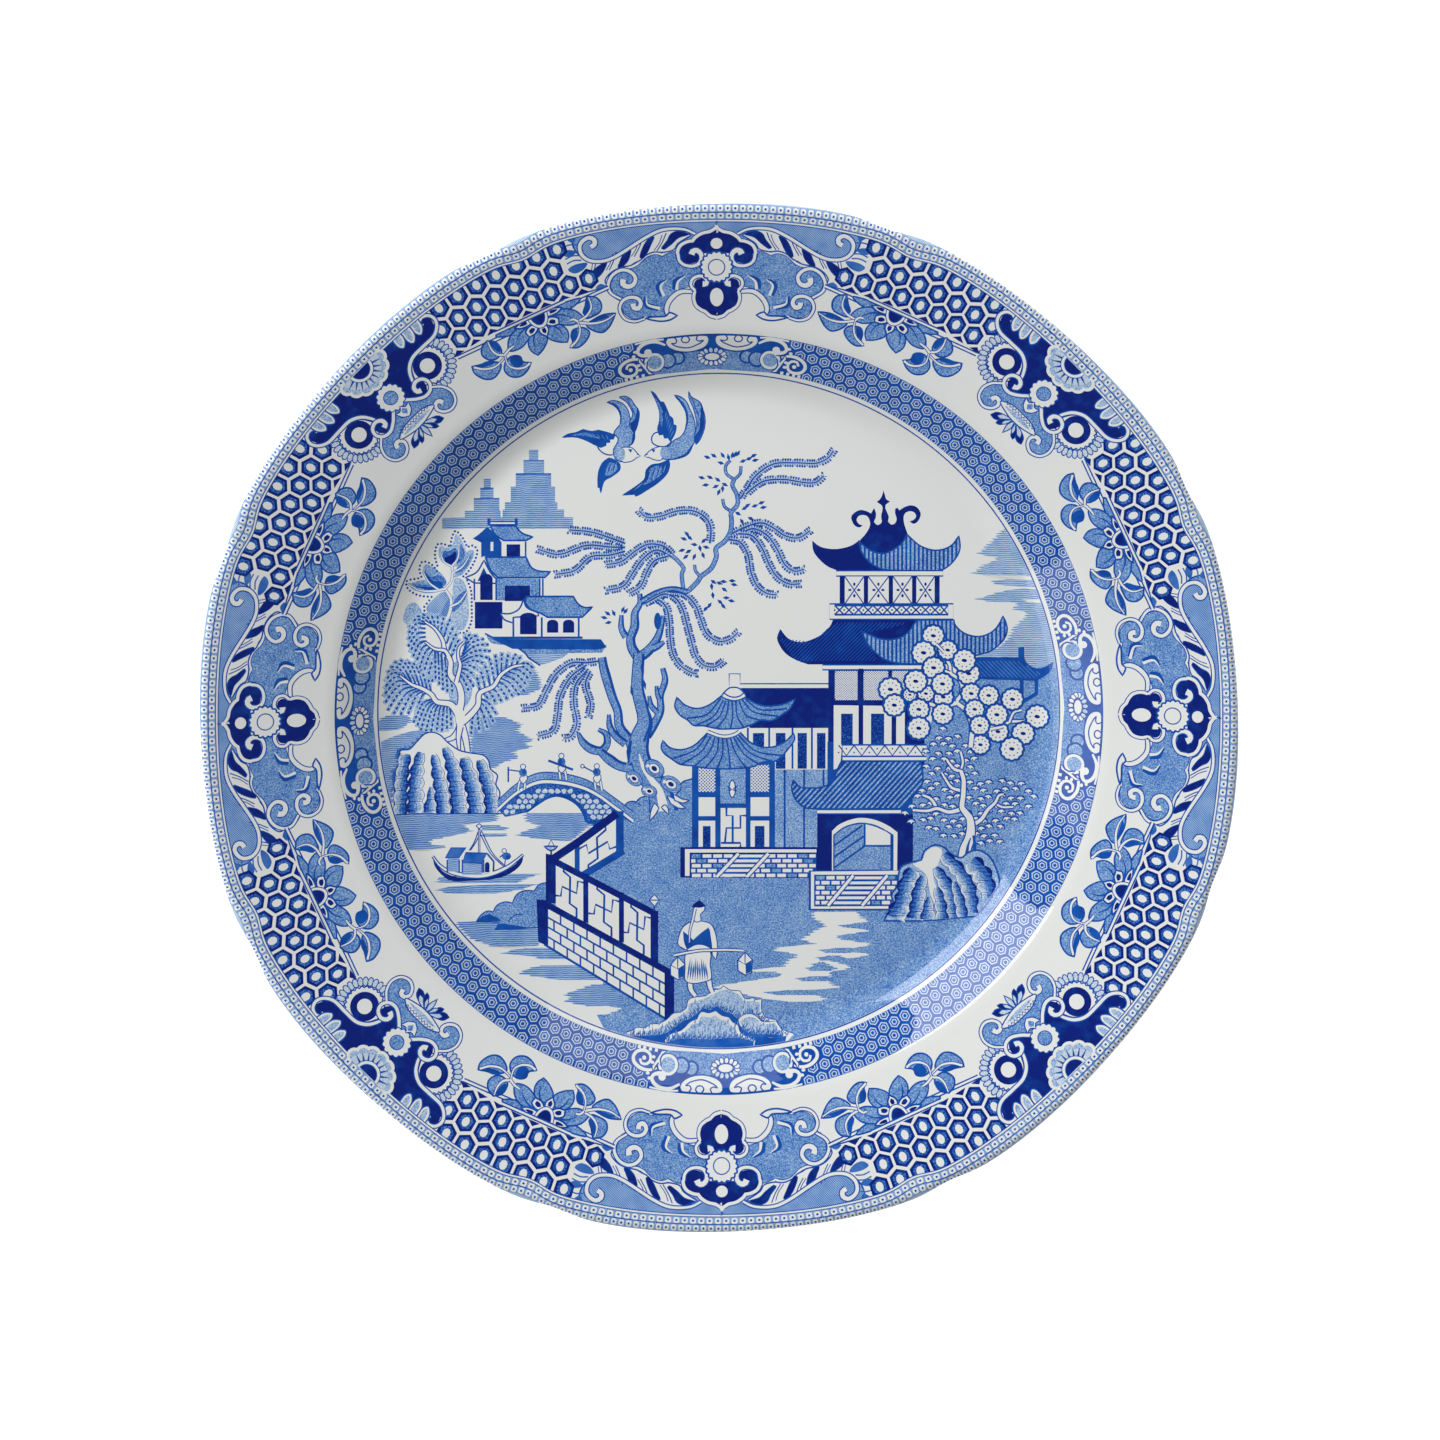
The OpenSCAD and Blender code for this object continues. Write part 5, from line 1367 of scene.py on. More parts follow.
def pagoda():
    """The big house: four roofs above one another, and the arched gate under them."""
    box(SOLID, 28.2, -15, 53, 12)
    box(DEEP, 28, -27, 50, -8)
    fill(SOLID, [(15.8, 21.3, 1), (18, 18.8), (21, 17.9), (24, 18.6), (26.6, 20), (28.6, 22),
                 (29.4, 23.8, 1), (60.4, 23.8, 1), (60.4, 12.1, 1), (23, 12.1, 1), (20, 13.2), (17.4, 14.8),
                 (15.8, 16.8), (15, 19)])
    diagonals((0.82, 0), 0.2, [(15.2, 19, 1), (24, 18, 1), (30, 23, 1), (50, 23, 1), (37, 20, 1),
                               (41, 13, 1), (20, 13, 1)], 1.0)
    striped([(36.6, 20.8, 1), (38.8, 19.8), (40.9, 18.9), (43.4, 18.5), (46, 18.8), (48, 19.8),
             (49.7, 21.7), (50.9, 23.6, 1), (60.5, 23.6, 1), (60.7, 22.5), (62.2, 20.8), (64.3, 19.7),
             (66.8, 19.3), (69, 19.8), (70.9, 21), (72.2, 22.7), (73.1, 24.6, 1), (73.8, 23.1), (74.2, 21),
             (73.6, 19), (72.2, 17.3), (69.7, 15.4), (66.8, 14.6), (62, 12.6), (56, 12.2), (49.7, 12.2),
             (44.7, 12.7), (41.8, 14), (39.7, 15.8), (38, 18)])
    patch(WHITE, DEEP, 0.4, [(26.7, 10.7), (26.7, 12), (53.5, 12), (53.5, 10.7)], straight)
    for x0, x1 in ((29.9, 35.7), (37.3, 43.6), (44.6, 49)):
        lattice(x0, 2.8, x1, 10.4, 0.62, 0.2)
    box(SOLID, 28.2, 1.6, 50, 2.8)
    fill(WHITE, [(29.6, 1.5), (48, 1.3), (48, -8.7), (31.8, -8.7), (31.4, -13), (30.4, -15), (29.6, -15.2)],
         straight)
    box(SOLID, 36, -8.8, 37.2, 11)
    box(SOLID, 44.5, -8.8, 45.7, 2)
    for x0, x1 in ((31.5, 34.5), (39.2, 42.6)):
        box(ROOM, x0, -8.6, x1, -0.7)
    box(SOLID, 47.9, -8.8, 52, 0)
    box(WHITE, 31.9, -12.9, 53.5, -8.8)
    for k in range(6):
        x = 32.9 + k * 3.95
        line(DEEP, 0.3, [(x - 2, -8.9), (x, -11.6), (x + 1.98, -8.9)], straight)
        oval(DEEP, x - 2, -10.8, 0.22)
        oval(DEEP, x, -9.8, 0.22)
    for y in (-8.8, -11.8, -13):
        line(DEEP, 0.35, [(31.6, y), (53.5, y)], straight)
    roof = [(32, -13.1, 1), (30.6, -15), (29.9, -17), (28.4, -19), (26, -19.9), (23.4, -20), (21, -19.8),
            (19.2, -18, 1), (18.8, -20), (19.6, -22.6), (21.5, -24.7), (24.4, -25.4), (47, -25.4, 1),
            (49.5, -23), (52, -20), (52.6, -17), (52, -13.1, 1)]
    patch(ROOF, DEEP, 0.45, roof)
    diagonals(DEEP, 0.5, roof, 1.4, 0.9)
    box(WHITE, 25.4, -26.8, 47, -25.6)
    for y in (-25.6, -26.8):
        line(DEEP, 0.35, [(25.4, y), (48, y)], straight)
    box(SOLID, 25.4, -41.5, 50.1, -26.9)
    arch = [(29.2, -41.5, 1), (29.2, -31.2, 1), (31.1, -29.5), (34.2, -28.2), (37, -27.8), (40.5, -28.4),
            (43.8, -29.9), (46.1, -31.6, 1), (46, -41.5, 1)]
    fill(WHITE, arch)
    inner = [(29.7, -41.5, 1), (29.7, -32.3, 1), (32.4, -30.3), (35.6, -29.3), (38, -29.3), (41, -30.1),
             (44.9, -32.3, 1), (44.9, -41.5, 1)]
    patch((0.48, 1), DEEP, 0.4, inner)
    fill(WHITE, [(37.9, -29.5), (40.5, -30.2), (43.2, -31.4), (44.5, -32.4), (44.5, -35), (37.9, -35)],
         straight)
    for route in (
            [(37.6, -29.3), (37.6, -35.1)],
            [(37, -35.1), (45, -35.1)],
            [(29.8, -40.8), (37.6, -35.2)],
            [(29.8, -38), (37.4, -32.6)],
            [(29.8, -35), (37, -29.8)],
            [(44.5, -32), (44.5, -41.5)]):
        line(DEEP, 0.4, route, straight)
    fill(SOLID, [(36.3, 44.3, 1), (38, 46.3), (38.9, 48.4), (38.4, 50.2), (37.4, 50.8), (36, 50.6),
                 (35.4, 49.5), (36, 48.5), (37, 48.1, 1), (36.1, 47.6), (34.9, 48.1), (34, 50.1),
                 (34.7, 51.3), (36.3, 52.1), (38, 51.8), (39.1, 51.2, 1), (39.9, 52.6, 1), (40.4, 51.3),
                 (40.3, 50), (39.9, 49), (40.9, 48.2), (41.9, 49), (41.75, 49.9), (41.75, 50.8), (42, 51.8),
                 (42.1, 52.6), (41.9, 53.3, 1), (40.6, 54.2, 1), (41.5, 55), (42, 56), (42.3, 57.2, 1),
                 (42.7, 55.9), (43, 54.9), (44, 54.3, 1), (42.9, 53.5, 1), (42.8, 52.6), (43.2, 51.6),
                 (43.7, 50.3), (43.5, 49.2), (44.4, 48.3), (45.4, 48.8), (45.7, 49.9), (45.3, 51.2),
                 (45.3, 52.4, 1), (45.9, 52.7), (46.4, 52, 1), (47.6, 52.8), (49.3, 53.3), (50.9, 52.8),
                 (51.9, 51.1), (51.2, 49.2), (50, 48.5), (49, 49.2, 1), (50, 49.5), (50.7, 50.4),
                 (50.3, 51.4), (49.2, 51.8), (48, 51.4), (47.5, 50.4), (47.6, 48.8), (48, 47.4), (48.5, 46),
                 (49, 44, 1), (44, 39, 1), (37, 40, 1)])
    fill(SOLID, [(24, 44.2, 1), (26, 42.7), (28.4, 42.1), (31, 42.1), (34, 42.9), (36.2, 44.3, 1),
                 (38, 41, 1), (46, 37, 1), (44, 36.4, 1), (30.6, 36.4, 1), (28, 37.5), (25.7, 39.5),
                 (24.3, 41.6)])
    striped([(35.9, 44.2, 1), (37.6, 42.6), (39.7, 41.3), (42.6, 40.9), (45.1, 42), (47.2, 43.7),
             (48.4, 45.8, 1), (49.7, 44.5), (51.8, 42.8), (55.1, 41.7), (58, 42), (60.1, 43.2),
             (61.7, 45.4, 1), (62, 42.2), (60.9, 39.6), (58.8, 37.4), (56.3, 36.4), (49, 36.4),
             (42.2, 36.8), (38.8, 38.6), (36.7, 41.3)])
    patch(WHITE, DEEP, 0.4, [(30.2, 35), (30.2, 36.4), (57.7, 36.4), (57.7, 35)], straight)
    box(WHITE, 31.1, 27.8, 56.8, 34.9)
    for x0, x1 in ((32.4, 37.3), (38.4, 43.7), (44.8, 49.7), (50.8, 55.5)):
        line(DEEP, 0.25, [(x0, 34.9), (x1, 27.8)], straight)
        line(DEEP, 0.25, [(x0, 27.8), (x1, 34.9)], straight)
        for dx, dy in ((-1.15, 0), (1.15, 0), (0, -1.5), (0, 1.5)):
            oval(SOLID, (x0 + x1) / 2 + dx, 31.4 + dy, 0.32 + abs(dx) * 0.12, 0.32 + abs(dy) * 0.09)
    for x0, x1 in ((31.1, 32.4), (37.3, 38.4), (43.7, 44.8), (49.7, 50.8), (55.5, 56.8)):
        box(SOLID, x0, 27.8, x1, 34.9)
    patch(WHITE, DEEP, 0.4, [(28.5, 23.8), (28.5, 27.8), (60.3, 27.8), (60.3, 23.8)], straight)
    balustrade(29.8, 25, 59, 27.4, 2.46)


def small_house():
    """The low roof beside the right edge."""
    patch(DEEP, DEEP, 0.3, [(65.9, 13.8, 1), (77.2, 13.8, 1), (77.2, 16.3, 1), (78.5, 16.5, 1),
                            (78.6, 13.5), (79.7, 11.9), (81.8, 10.9), (83.8, 11.3), (85.9, 12.8, 1),
                            (85.4, 10.8), (83.8, 9.2), (81.8, 7.9, 1), (65.9, 8.4, 1)])
    diagonals((0.68, 0), 0.22, [(66, 13, 1), (77, 13, 1), (83, 9.6, 1), (81, 8.4, 1), (66, 9, 1)], 1.1, -1)
    for x0, x1, y0 in ((77.5, 78.5, 4.5), (81.3, 82.2, 4)):
        box(DEEP, x0, y0, x1, 8.2)
    line(DEEP, 0.8, [(82, 4.6), (78.3, 2.4)], straight)


def terraces():
    """The two brick terraces under the houses, each with a slanting gangway."""
    def courses(x0, x1, top, count, pitch, gap, leave):
        """Rows of bricks; every so often, as leave says, one is blue."""
        for j in range(count):
            y = top - j * gap
            for k, x in enumerate(np.arange(x0 - 0.5 * pitch * (j % 2), x1, pitch)):
                a, b = max(x + 0.2, x0), min(x + pitch - 0.3, x1)
                if b - a > 0.5:
                    ink = WHITE if (k * 3 + j * 2) % leave else MID
                    box(ink, a, y - gap / 2 + 0.2, b, y + gap / 2 - 0.2)

    def boards(left, right, low, high, count, gap):
        """Two slanting boards with long planks between them."""
        def x_at(board, y):
            return board[1] + (board[0] - board[1]) * (y - low) / (high - low)

        fill(DEEP, [(left[1], low), (left[0], high), (right[0], high), (right[1], low)], straight)
        for j in range(count):
            y = high - (j + 0.5) * gap
            a, b = x_at(left, y), x_at(right, y)
            put(WHITE, [(a + 0.2, y - 0.36), (b - 0.2, y - 0.36), (b, y + 0.36), (a + 0.4, y + 0.36)])
        for board in (left, right):
            edged(WHITE, 0.75, DEEP, 0.25, [(board[1], low), (board[0], high)], straight)

    fill(SOLID, [(-9.9, -35.4), (25.6, -35.4), (25.6, -43.5), (-9.9, -43.3)], straight)
    fill(WHITE, [(-8.7, -35.9), (25.2, -36), (25.2, -36.8), (-7.5, -36.8), (-7.5, -42.9), (-8.7, -42.9)],
         straight)
    box(DEEP, -7.2, -43.1, 25.2, -37.1)
    courses(-7.1, 25, -37.7, 5, 2.75, 1.27, 5)
    boards((5.1, -0.5), (12.8, 7.3), -43.1, -37.1, 5, 1.25)
    fill(DEEP, [(23.2, -41.5), (46.5, -41.5), (46.5, -52), (23.2, -51.9)], straight)
    fill(WHITE, [(23.8, -41.8), (46.5, -41.6), (46.5, -42.6), (24.6, -42.6), (24.6, -50.9), (46.5, -50.8),
                 (46.5, -51.5), (23.8, -51.5)], straight)
    box(DEEP, 24.8, -50.7, 46, -42.8)
    courses(25, 46, -43.4, 6, 2.6, 1.3, 7)
    boards((34.7, 28.2), (43.5, 37), -50.7, -42.8, 6, 1.3)


def rosette(x, y, r):
    """A round blossom."""
    patch(WHITE, DEEP, 0.65, scallops(x, y, r * 0.92, r * 0.09, 12), straight)
    for k in range(10):
        a = k * math.pi / 5
        oval(WASH, x + r * 0.58 * math.cos(a), y + r * 0.56 * math.sin(a), 0.21, 0, 0, 6)
    oval(SOLID, x, y, r * 0.24, r * 0.15, -10, 10)


def fruit_tree():
    """The tree of round blossoms beside the pagoda."""
    for points, width in (
            ([(64.9, -9.5), (65.3, -5.8), (64.9, -2.5), (63.4, 0.4), (61.3, 2.3), (62.4, 4.2), (62.6, 6.7),
              (61.5, 8.5), (59.7, 9.8), (59.5, 11.7), (58.6, 13.5), (57.8, 15.4), (56.3, 16.8)],
             (1.1, 1, 0.8, 0.7, 0.6)),
            ([(61.3, 2.1), (58.8, 1.5), (55.5, 1.5), (53, 2.4), (50.1, 2.7), (47.4, 3.8)],
             (1, 0.9, 0.7, 0.5)),
            ([(53, 2.4), (51.9, 3.9), (52, 5)], 0.6),
            ([(59.5, 9.9), (57.2, 10.8)], 0.5),
            ([(65, -6), (67.4, -5.6), (70.1, -4.7), (73, -4.2), (74.7, -2.9), (78.6, -2.7)],
             (0.9, 0.8, 0.5)),
            ([(74.8, -3), (76, -0.4), (78, 0.2)], 0.5)):
        edged(WHITE, width, DEEP, 0.28, points)
    for x, y, r in ((57.8, 3.6, 2.7), (53.3, 4.5, 2.3), (49.2, 4.2, 1.9), (55.2, 19.5, 2.9),
                    (58.9, 15.8, 2.6), (52.7, 15.1, 3.1), (55.3, 11.2, 2.9), (64.3, 9.7, 3),
                    (63.2, 13.1, 3), (50.7, 7.7, 3), (57.6, 7, 2.9), (44.2, 5.6, 3.1), (65, 4.5, 2.7),
                    (69.5, 4, 2.7), (75.6, 3, 2.9), (45.2, 1.5, 2.9), (51.5, 0.4, 2.8), (57.7, -0.8, 2.8),
                    (65.9, 0.4, 2.6), (71.9, -5.4, 2.8), (71.6, -1, 2.9), (51.5, -4.5, 3),
                    (67.2, -3.8, 2.6), (82, -1.5, 3.1), (78.4, -5.9, 3), (67.4, -8.8, 2.6),
                    (75.5, -9.9, 3.1)):
        rosette(x, y, r)
    for points, width in (
            ([(57.8, 15.4), (56.5, 16.8), (55.8, 17.4)], 0.5),
            ([(64.9, -9.5), (65.2, -6)], 1.1),
            ([(70.1, -4.7), (73, -4.2)], 0.6)):
        edged(WHITE, width, DEEP, 0.2, points)


def leafy_tree():
    """The white-stemmed tree with small drooping leaves."""
    for k, (x, y) in enumerate((x + (j % 2) * 1.35, y) for j, y in enumerate(np.arange(-4.8, -34.6, -1.95))
                               for x in np.arange(47, 81, 2.7)):
        left = np.interp(-y, [4, 9, 16, 20, 24, 27, 30, 33, 34], [56, 53, 53, 51, 48, 47, 53, 58, 66])
        right = np.interp(-y, [4, 9, 12, 15, 17, 20, 25, 28, 31, 34],
                          [58, 69, 69, 66, 76, 81, 81, 79, 73, 75])
        if not left < x < right or (y < -12 and y > -17 and 66 < x < 72):
            continue
        x, y = x + 0.45 * math.sin(k * 2.4), y + 0.4 * math.cos(k * 1.7)
        lean = 0.35 * math.sin(k * 1.3)
        fill(DEEP, [(x - 1.25, y - 0.75 - lean, 1), (x - 0.9, y + 0.45), (x, y + 0.62),
                    (x + 0.95, y + 0.45), (x + 1.3, y - 0.75 + lean, 1), (x + 0.5, y - 0.5), (x, y - 1, 1),
                    (x - 0.5, y - 0.5)])
        fill(WHITE, [(x - 1, y - 0.35 - lean, 1), (x - 0.5, y + 0.2), (x + 0.2, y + 0.3),
                     (x + 1, y - 0.35 + lean, 1), (x + 0.3, y - 0.25), (x, y - 0.8, 1),
                     (x - 0.35, y - 0.25)])
    for points, width in (
            ([(62.4, -15.4), (62.9, -13.3), (62.3, -10.6)], 0.5),
            ([(62.6, -15.8), (60.5, -15), (58.6, -12.5)], (0.8, 0.5)),
            ([(62.8, -20.8), (60.1, -20), (58.6, -18), (57.4, -16)], (0.8, 0.4)),
            ([(56.3, -25.4), (54.7, -22.9), (52.6, -21.9)], (0.8, 0.5)),
            ([(62.6, -25.6), (59.3, -26.3), (56.3, -25.4), (53.8, -26), (50, -25.8)], (1, 0.5)),
            ([(71.2, -24), (73, -25), (75.9, -25)], 0.5),
            ([(64.8, -30), (67.6, -28.3), (69.3, -25.8), (71.3, -23.8), (72.2, -22), (73.4, -21.7)],
             (1, 0.8, 0.5)),
            ([(63.3, -38.5), (63.6, -36), (64.6, -33.4), (65, -30.9), (64.7, -28), (63.6, -26.4),
              (62.7, -25), (63, -22), (63.1, -18), (62.4, -15.6)],
             (3, 2.4, 1.8, 1.2, 1.1, 0.9))):
        edged(WHITE, width, DEEP, 0.28, points)
    limb([(65.9, -37), (66, -34.6), (65.6, -32.4)], (0.8, 0.7, 0.3), DEEP, 0.1)
    line(DEEP, (0.8, 0.5, 0.2), [(63.9, -37.6), (64.3, -35), (65, -33)])


def streaks(x0, x1, low, high, ink, gap=0.85):
    """Short upright strokes of uneven length between two heights."""
    for k, x in enumerate(np.arange(x0, x1, gap)):
        y = low + (high - low) * (0.5 + 0.3 * math.sin(k * 2.4))
        sliver(ink, (x, y - 0.9), (x + 0.1, y + 0.6 + 0.4 * math.sin(k * 1.7)), 0.42)


def front_rock():
    """The hairy rocks at the foot of the scene."""
    back = [(-24, -83.6, 1), (-22, -83, 1), (-21.2, -82.4), (-19, -82.6, 1), (-17.5, -81.6),
            (-15.4, -81.6, 1), (-13.3, -80.4), (-11.7, -78.9), (-9.8, -78.6, 1), (-8.3, -77.4),
            (-7.5, -75.1), (-3.3, -74.3, 1), (-1.2, -72.8), (0.4, -72.5), (1.2, -71.7, 1), (2.9, -72.8),
            (5.4, -73, 1), (6.7, -75), (8, -75.1, 1), (8.8, -74.8, 1), (9.6, -75.3), (11, -75.1, 1),
            (11, -78), (12.1, -79.9), (14.8, -80.6, 1), (16.2, -82.8), (19.4, -84, 1)]
    foot = [(17, -86.5), (9, -88), (0, -89), (-9, -88), (-18, -86)]
    put(DEEP, ribbon(smooth(back), 0.45))
    put(WHITE, np.vstack([smooth(back), straight(foot)]))
    fill((0.3, 1), [(-7.8, -76.4, 1), (-4, -75, 1), (-1, -73.6), (1.4, -72.6), (5, -73.8), (6.4, -75.6, 1),
                    (10.4, -76), (10.6, -79, 1), (5, -81), (-1, -79), (-8, -80, 1)])
    fill((0.26, 1), [(-19.6, -83.4, 1), (-15, -82.4), (-11, -80), (-8, -78, 1), (-7, -80), (-12, -84),
                     (-20, -85, 1)])
    streaks(-7, 10.6, -78.4, -74.6, (0.5, 0))
    streaks(-6.4, 10, -79.2, -76.4, FINE, 1.15)
    streaks(-18, -8, -83.6, -80.2, (0.55, 0))
    dark = smooth([(-23, -84.4), (-18, -84.3), (-14, -83.9), (-11.4, -82.4), (-9.4, -80.9), (-7, -79.9),
                   (-5.2, -78.4), (-4, -77.4), (-2.2, -77.9), (-0.6, -76.9), (1.2, -78.2), (3.2, -78.8),
                   (4.8, -80.1), (6, -79.6), (8.4, -78.9), (11, -80.2), (13.4, -82.4), (17.5, -84.6)])
    put((0.8, 0), np.vstack([dark, straight(foot)]))
    hairs(dark, 1, 1.5, DEEP, 0.5)
    hairs(dark, 1, 2.4, (0.6, 0), 0.8)
    domes = (
        [(-13.9, -85.6, 1), (-12.3, -84.1), (-10, -83.4), (-8.6, -82.4, 1), (-7.2, -81), (-5.6, -80.4, 1),
         (-4.5, -78.5), (-2.6, -78.8), (-0.8, -78.2, 1), (0.7, -79.4), (2.6, -79.9, 1), (3.6, -81.2),
         (4.9, -81.9, 1), (5.8, -84), (9.4, -85.6, 1), (9, -87.6, 1), (-13, -87.6, 1)],
        [(5.1, -80.4, 1), (6.4, -79.3), (8.2, -79), (9.8, -79.7), (11, -81, 1), (12.6, -81.1),
         (14.8, -80.9, 1), (16.2, -83), (17.6, -84.4, 1), (15, -84.9), (11.4, -84.8), (8, -84),
         (5.7, -82.2)])
    for dome in domes:
        ring = smooth(dome, True)
        put(DEEP, ribbon(ring, 0.3, True))
        put(WHITE, ring)
        put((0.28, 1), ring.mean(0) + (ring - ring.mean(0)) * (0.92, 0.86) - (0, 0.3))
    streaks(-7, 5, -84.4, -79.6, (0.5, 0))
    streaks(-6.2, 5, -83.6, -80.6, (0.62, 0), 1.3)
    streaks(-12, -6, -85.6, -83, (0.55, 0))
    streaks(6.4, 15.6, -84.4, -80.4, (0.55, 0))
    for shade, low in (([(-13.6, -86), (-9, -85.2), (-2, -85.4), (4, -85), (9, -85.8)], 2.4),
                       ([(5.8, -82.4), (7.4, -83.6), (10, -84.1), (13.4, -84.1), (16.6, -84.3)], 0.8)):
        path = smooth(shade)
        put((0.76, 0), np.vstack([path, path[::-1] - (0, low)]))
        hairs(path, 1, 1.4, DEEP, 0.45)
        hairs(path + (0, 0.3), 1, 2.2, (0.6, 0), 0.7)


def lantern(x, y):
    """A square lantern seen from one corner."""
    patch(WHITE, DEEP, 0.35, [(x, y + 2.8), (x + 1.9, y + 0.8), (x + 1.6, y - 2.6), (x, y - 3.2),
                              (x - 1.8, y - 2), (x - 1.9, y + 0.6)], straight)
    fill(DEEP, [(x + 0.1, y - 0.3), (x + 1.7, y + 0.7), (x + 1.5, y - 2.4), (x + 0.2, y - 2.9)], straight)
    for dx in (-1.9, 1.9):
        line(DEEP, 0.25, [(x, y + 2.6), (x, y - 0.4), (x + dx, y + 0.7)], straight)


def porter():
    """A figure seen from behind with a yoke and two lanterns."""
    for points in ([(-7.4, -70), (-7.2, -72.5), (-6, -74.3)], [(-2.6, -69.8), (-2.2, -72), (-1.6, -73.4)]):
        edged(WHITE, (1.2, 1, 0.8), DEEP, 0.25, points)
    patch(WHITE, DEEP, 0.3, [(-8.2, -63), (-2.4, -62.6), (-2.2, -66), (-1.9, -69.6), (-3.2, -70.4),
                             (-6.6, -71), (-8.6, -70.2), (-8.7, -67)])
    for k in range(9):
        x = -8.1 + k * 0.66
        sliver((0.6, 0), (x * 0.7 - 1.6, -64.2 - (k % 3) * 0.6), (x, -70.2), 0.55)
        sliver(DEEP, (x * 0.85 - 0.8, -66.6), (x, -70.4), 0.34)
    jacket = [(-5.4, -54.2, 1), (-7.9, -55.2), (-9.6, -56.8), (-10.6, -60.5), (-9.6, -61.6),
              (-7.9, -62.4, 1), (-2, -62.1, 1), (-1.6, -63.6), (-0.7, -64.8, 1), (-0.3, -62), (-0.8, -58),
              (-2.1, -55.4), (-4.6, -54.6, 1)]
    patch(WHITE, DEEP, 0.3, jacket)
    fill(DEEP, [(-9.2, -57.3, 1), (-7.8, -58.4), (-6.6, -59.6, 1), (-4.6, -57.8), (-2.6, -56.3, 1),
                (-2.3, -59), (-2, -61.9, 1), (-4, -61), (-6, -61), (-8.2, -62.2, 1), (-9, -60)])
    line(DEEP, (0.3, 0.6, 0.3), [(-2.5, -56.8), (-2.2, -60), (-1.7, -63.4)])
    edged(WHITE, 0.45, DEEP, 0.22, [(-11.5, -63.6), (-8, -62.9), (-5, -62.4), (-2, -62.3), (2, -62.2),
                                    (6.4, -62.4)])
    lantern(-10.6, -66.8)
    lantern(6.8, -65.6)
    patch(WHITE, DEEP, 0.28, [(-6, -50.6), (-3.8, -50.4), (-3.7, -51.9), (-4.7, -52.9), (-4.6, -54.6),
                              (-6.2, -54.8), (-6.4, -52.6)])
    edged(WHITE, (0.5, 0.35, 0.15), DEEP, 0.18, [(-6.1, -51.4), (-6.6, -54), (-7.4, -57), (-7.6, -60.3)])
    fill(SOLID, [(-7.1, -50.9, 1), (-5.9, -49.8), (-5, -49.2, 1), (-4.2, -49.8), (-3.3, -50.8, 1),
                 (-5, -51.2)])


def whole_scene():
    for part in (far_side, islands, feather_bush, palm_tree, left_rock, willow, blossom_branch, bridge,
                 boat, long_house, pagoda, small_house, pavilion, terraces, fence, leafy_tree, fruit_tree,
                 right_rock, front_rock, porter, doves):
        part()


# === meshes: the finished face of the plate, as in the CAD model, in millimetres ===
lip_r, plate_h = 132.8, 26.2
floor_r, shoulder_r, well_rise = 81.0, 101.0, 8.8
corner_out, dip_depth, dip_half, corner_turn = 1.5, 0.9, 2.8, 26.25
lip_round, stretch_r = 1.6, 112.0
floor_wall, rim_wall, foot_h = 4.4, 3.3, 1.8
foot_out, foot_in, bare_h = 77.4, 74.6, 0.5
glaze, coat_wall = 0.22, 0.18
floor_z = foot_h + floor_wall
rim_start_r, rim_full_r = 90.0, shoulder_r + 3
rim_run = rim_full_r - rim_start_r
rim_slope = (plate_h - floor_z - well_rise) / (lip_r - rim_full_r + rim_run / 2)
well_edge_r = 100.0
stations = 720


def eased(t):
    """Rises gently from 0 to 1."""
    c = np.clip(t, 0, 1)
    return c * c * (3 - 2 * c)


def face_z(r):
    """Height of the face at radius r, away from the lip."""
    c = np.clip((r - rim_start_r) / rim_run, 0, 1)
    rim = rim_run * (c**3 - c**4 / 2) + np.maximum(0, r - rim_full_r)
    return floor_z + well_rise * eased((r - floor_r) / (shoulder_r - floor_r)) + rim_slope * rim


def under_z(r):
    """Height of the underside at radius r."""
    wall = floor_wall + (rim_wall - floor_wall) * eased((r - floor_r) / (lip_r - floor_r))
    return face_z(r) - wall - 0.057 * eased((r - 110) / 20)


def edge_out(angle):
    """How far the lip stands outside lip_r, at an angle in degrees."""
    u = (angle - corner_turn + 22.5) % 45 - 22.5
    return corner_out * (0.5 + 0.5 * np.cos(np.radians(8 * u))) - dip_depth * np.exp(-((u / dip_half) ** 2))


def stretch(r):
    """How much of the lip's shape the plate follows at radius r."""
    return np.clip((r - stretch_r) / (lip_r - stretch_r), 0, None) ** 2


lip_x = lip_r - lip_round
lip_z = float(face_z(lip_x)) - lip_round * 1.05
lip_start_r = lip_x - lip_round * 0.3


def height(x, y):
    """Height of the finished face over a point of the plan."""
    r = np.hypot(x, y)
    out = edge_out(np.degrees(np.arctan2(y, x)))
    flat = r.copy()
    for _ in range(8):
        flat = r - out * stretch(flat)
    arc = lip_z + np.sqrt(np.maximum(lip_round**2 - (flat - lip_x) ** 2, 0))
    return np.where(flat < lip_start_r, face_z(flat), arc)


def normals_at(x, y):
    """Directions square to the face over points of the plan."""
    d = 0.02
    dx = (height(x + d, y) - height(x - d, y)) / (2 * d)
    dy = (height(x, y + d) - height(x, y - d)) / (2 * d)
    n = np.stack([-dx, -dy, np.ones_like(dx)], 1)
    return n / np.linalg.norm(n, axis=1)[:, None]


def ring_points(r, first=0.0, turn=360.0, count=stations):
    """Points of the plate's plan at radius r, which follow the shaped edge."""
    n = int(round(count * turn / 360))
    a = first + np.arange(n + (turn < 360)) * turn / n
    out = r + edge_out(a) * stretch(r)
    return np.stack([out * np.cos(np.radians(a)), out * np.sin(np.radians(a))], 1)


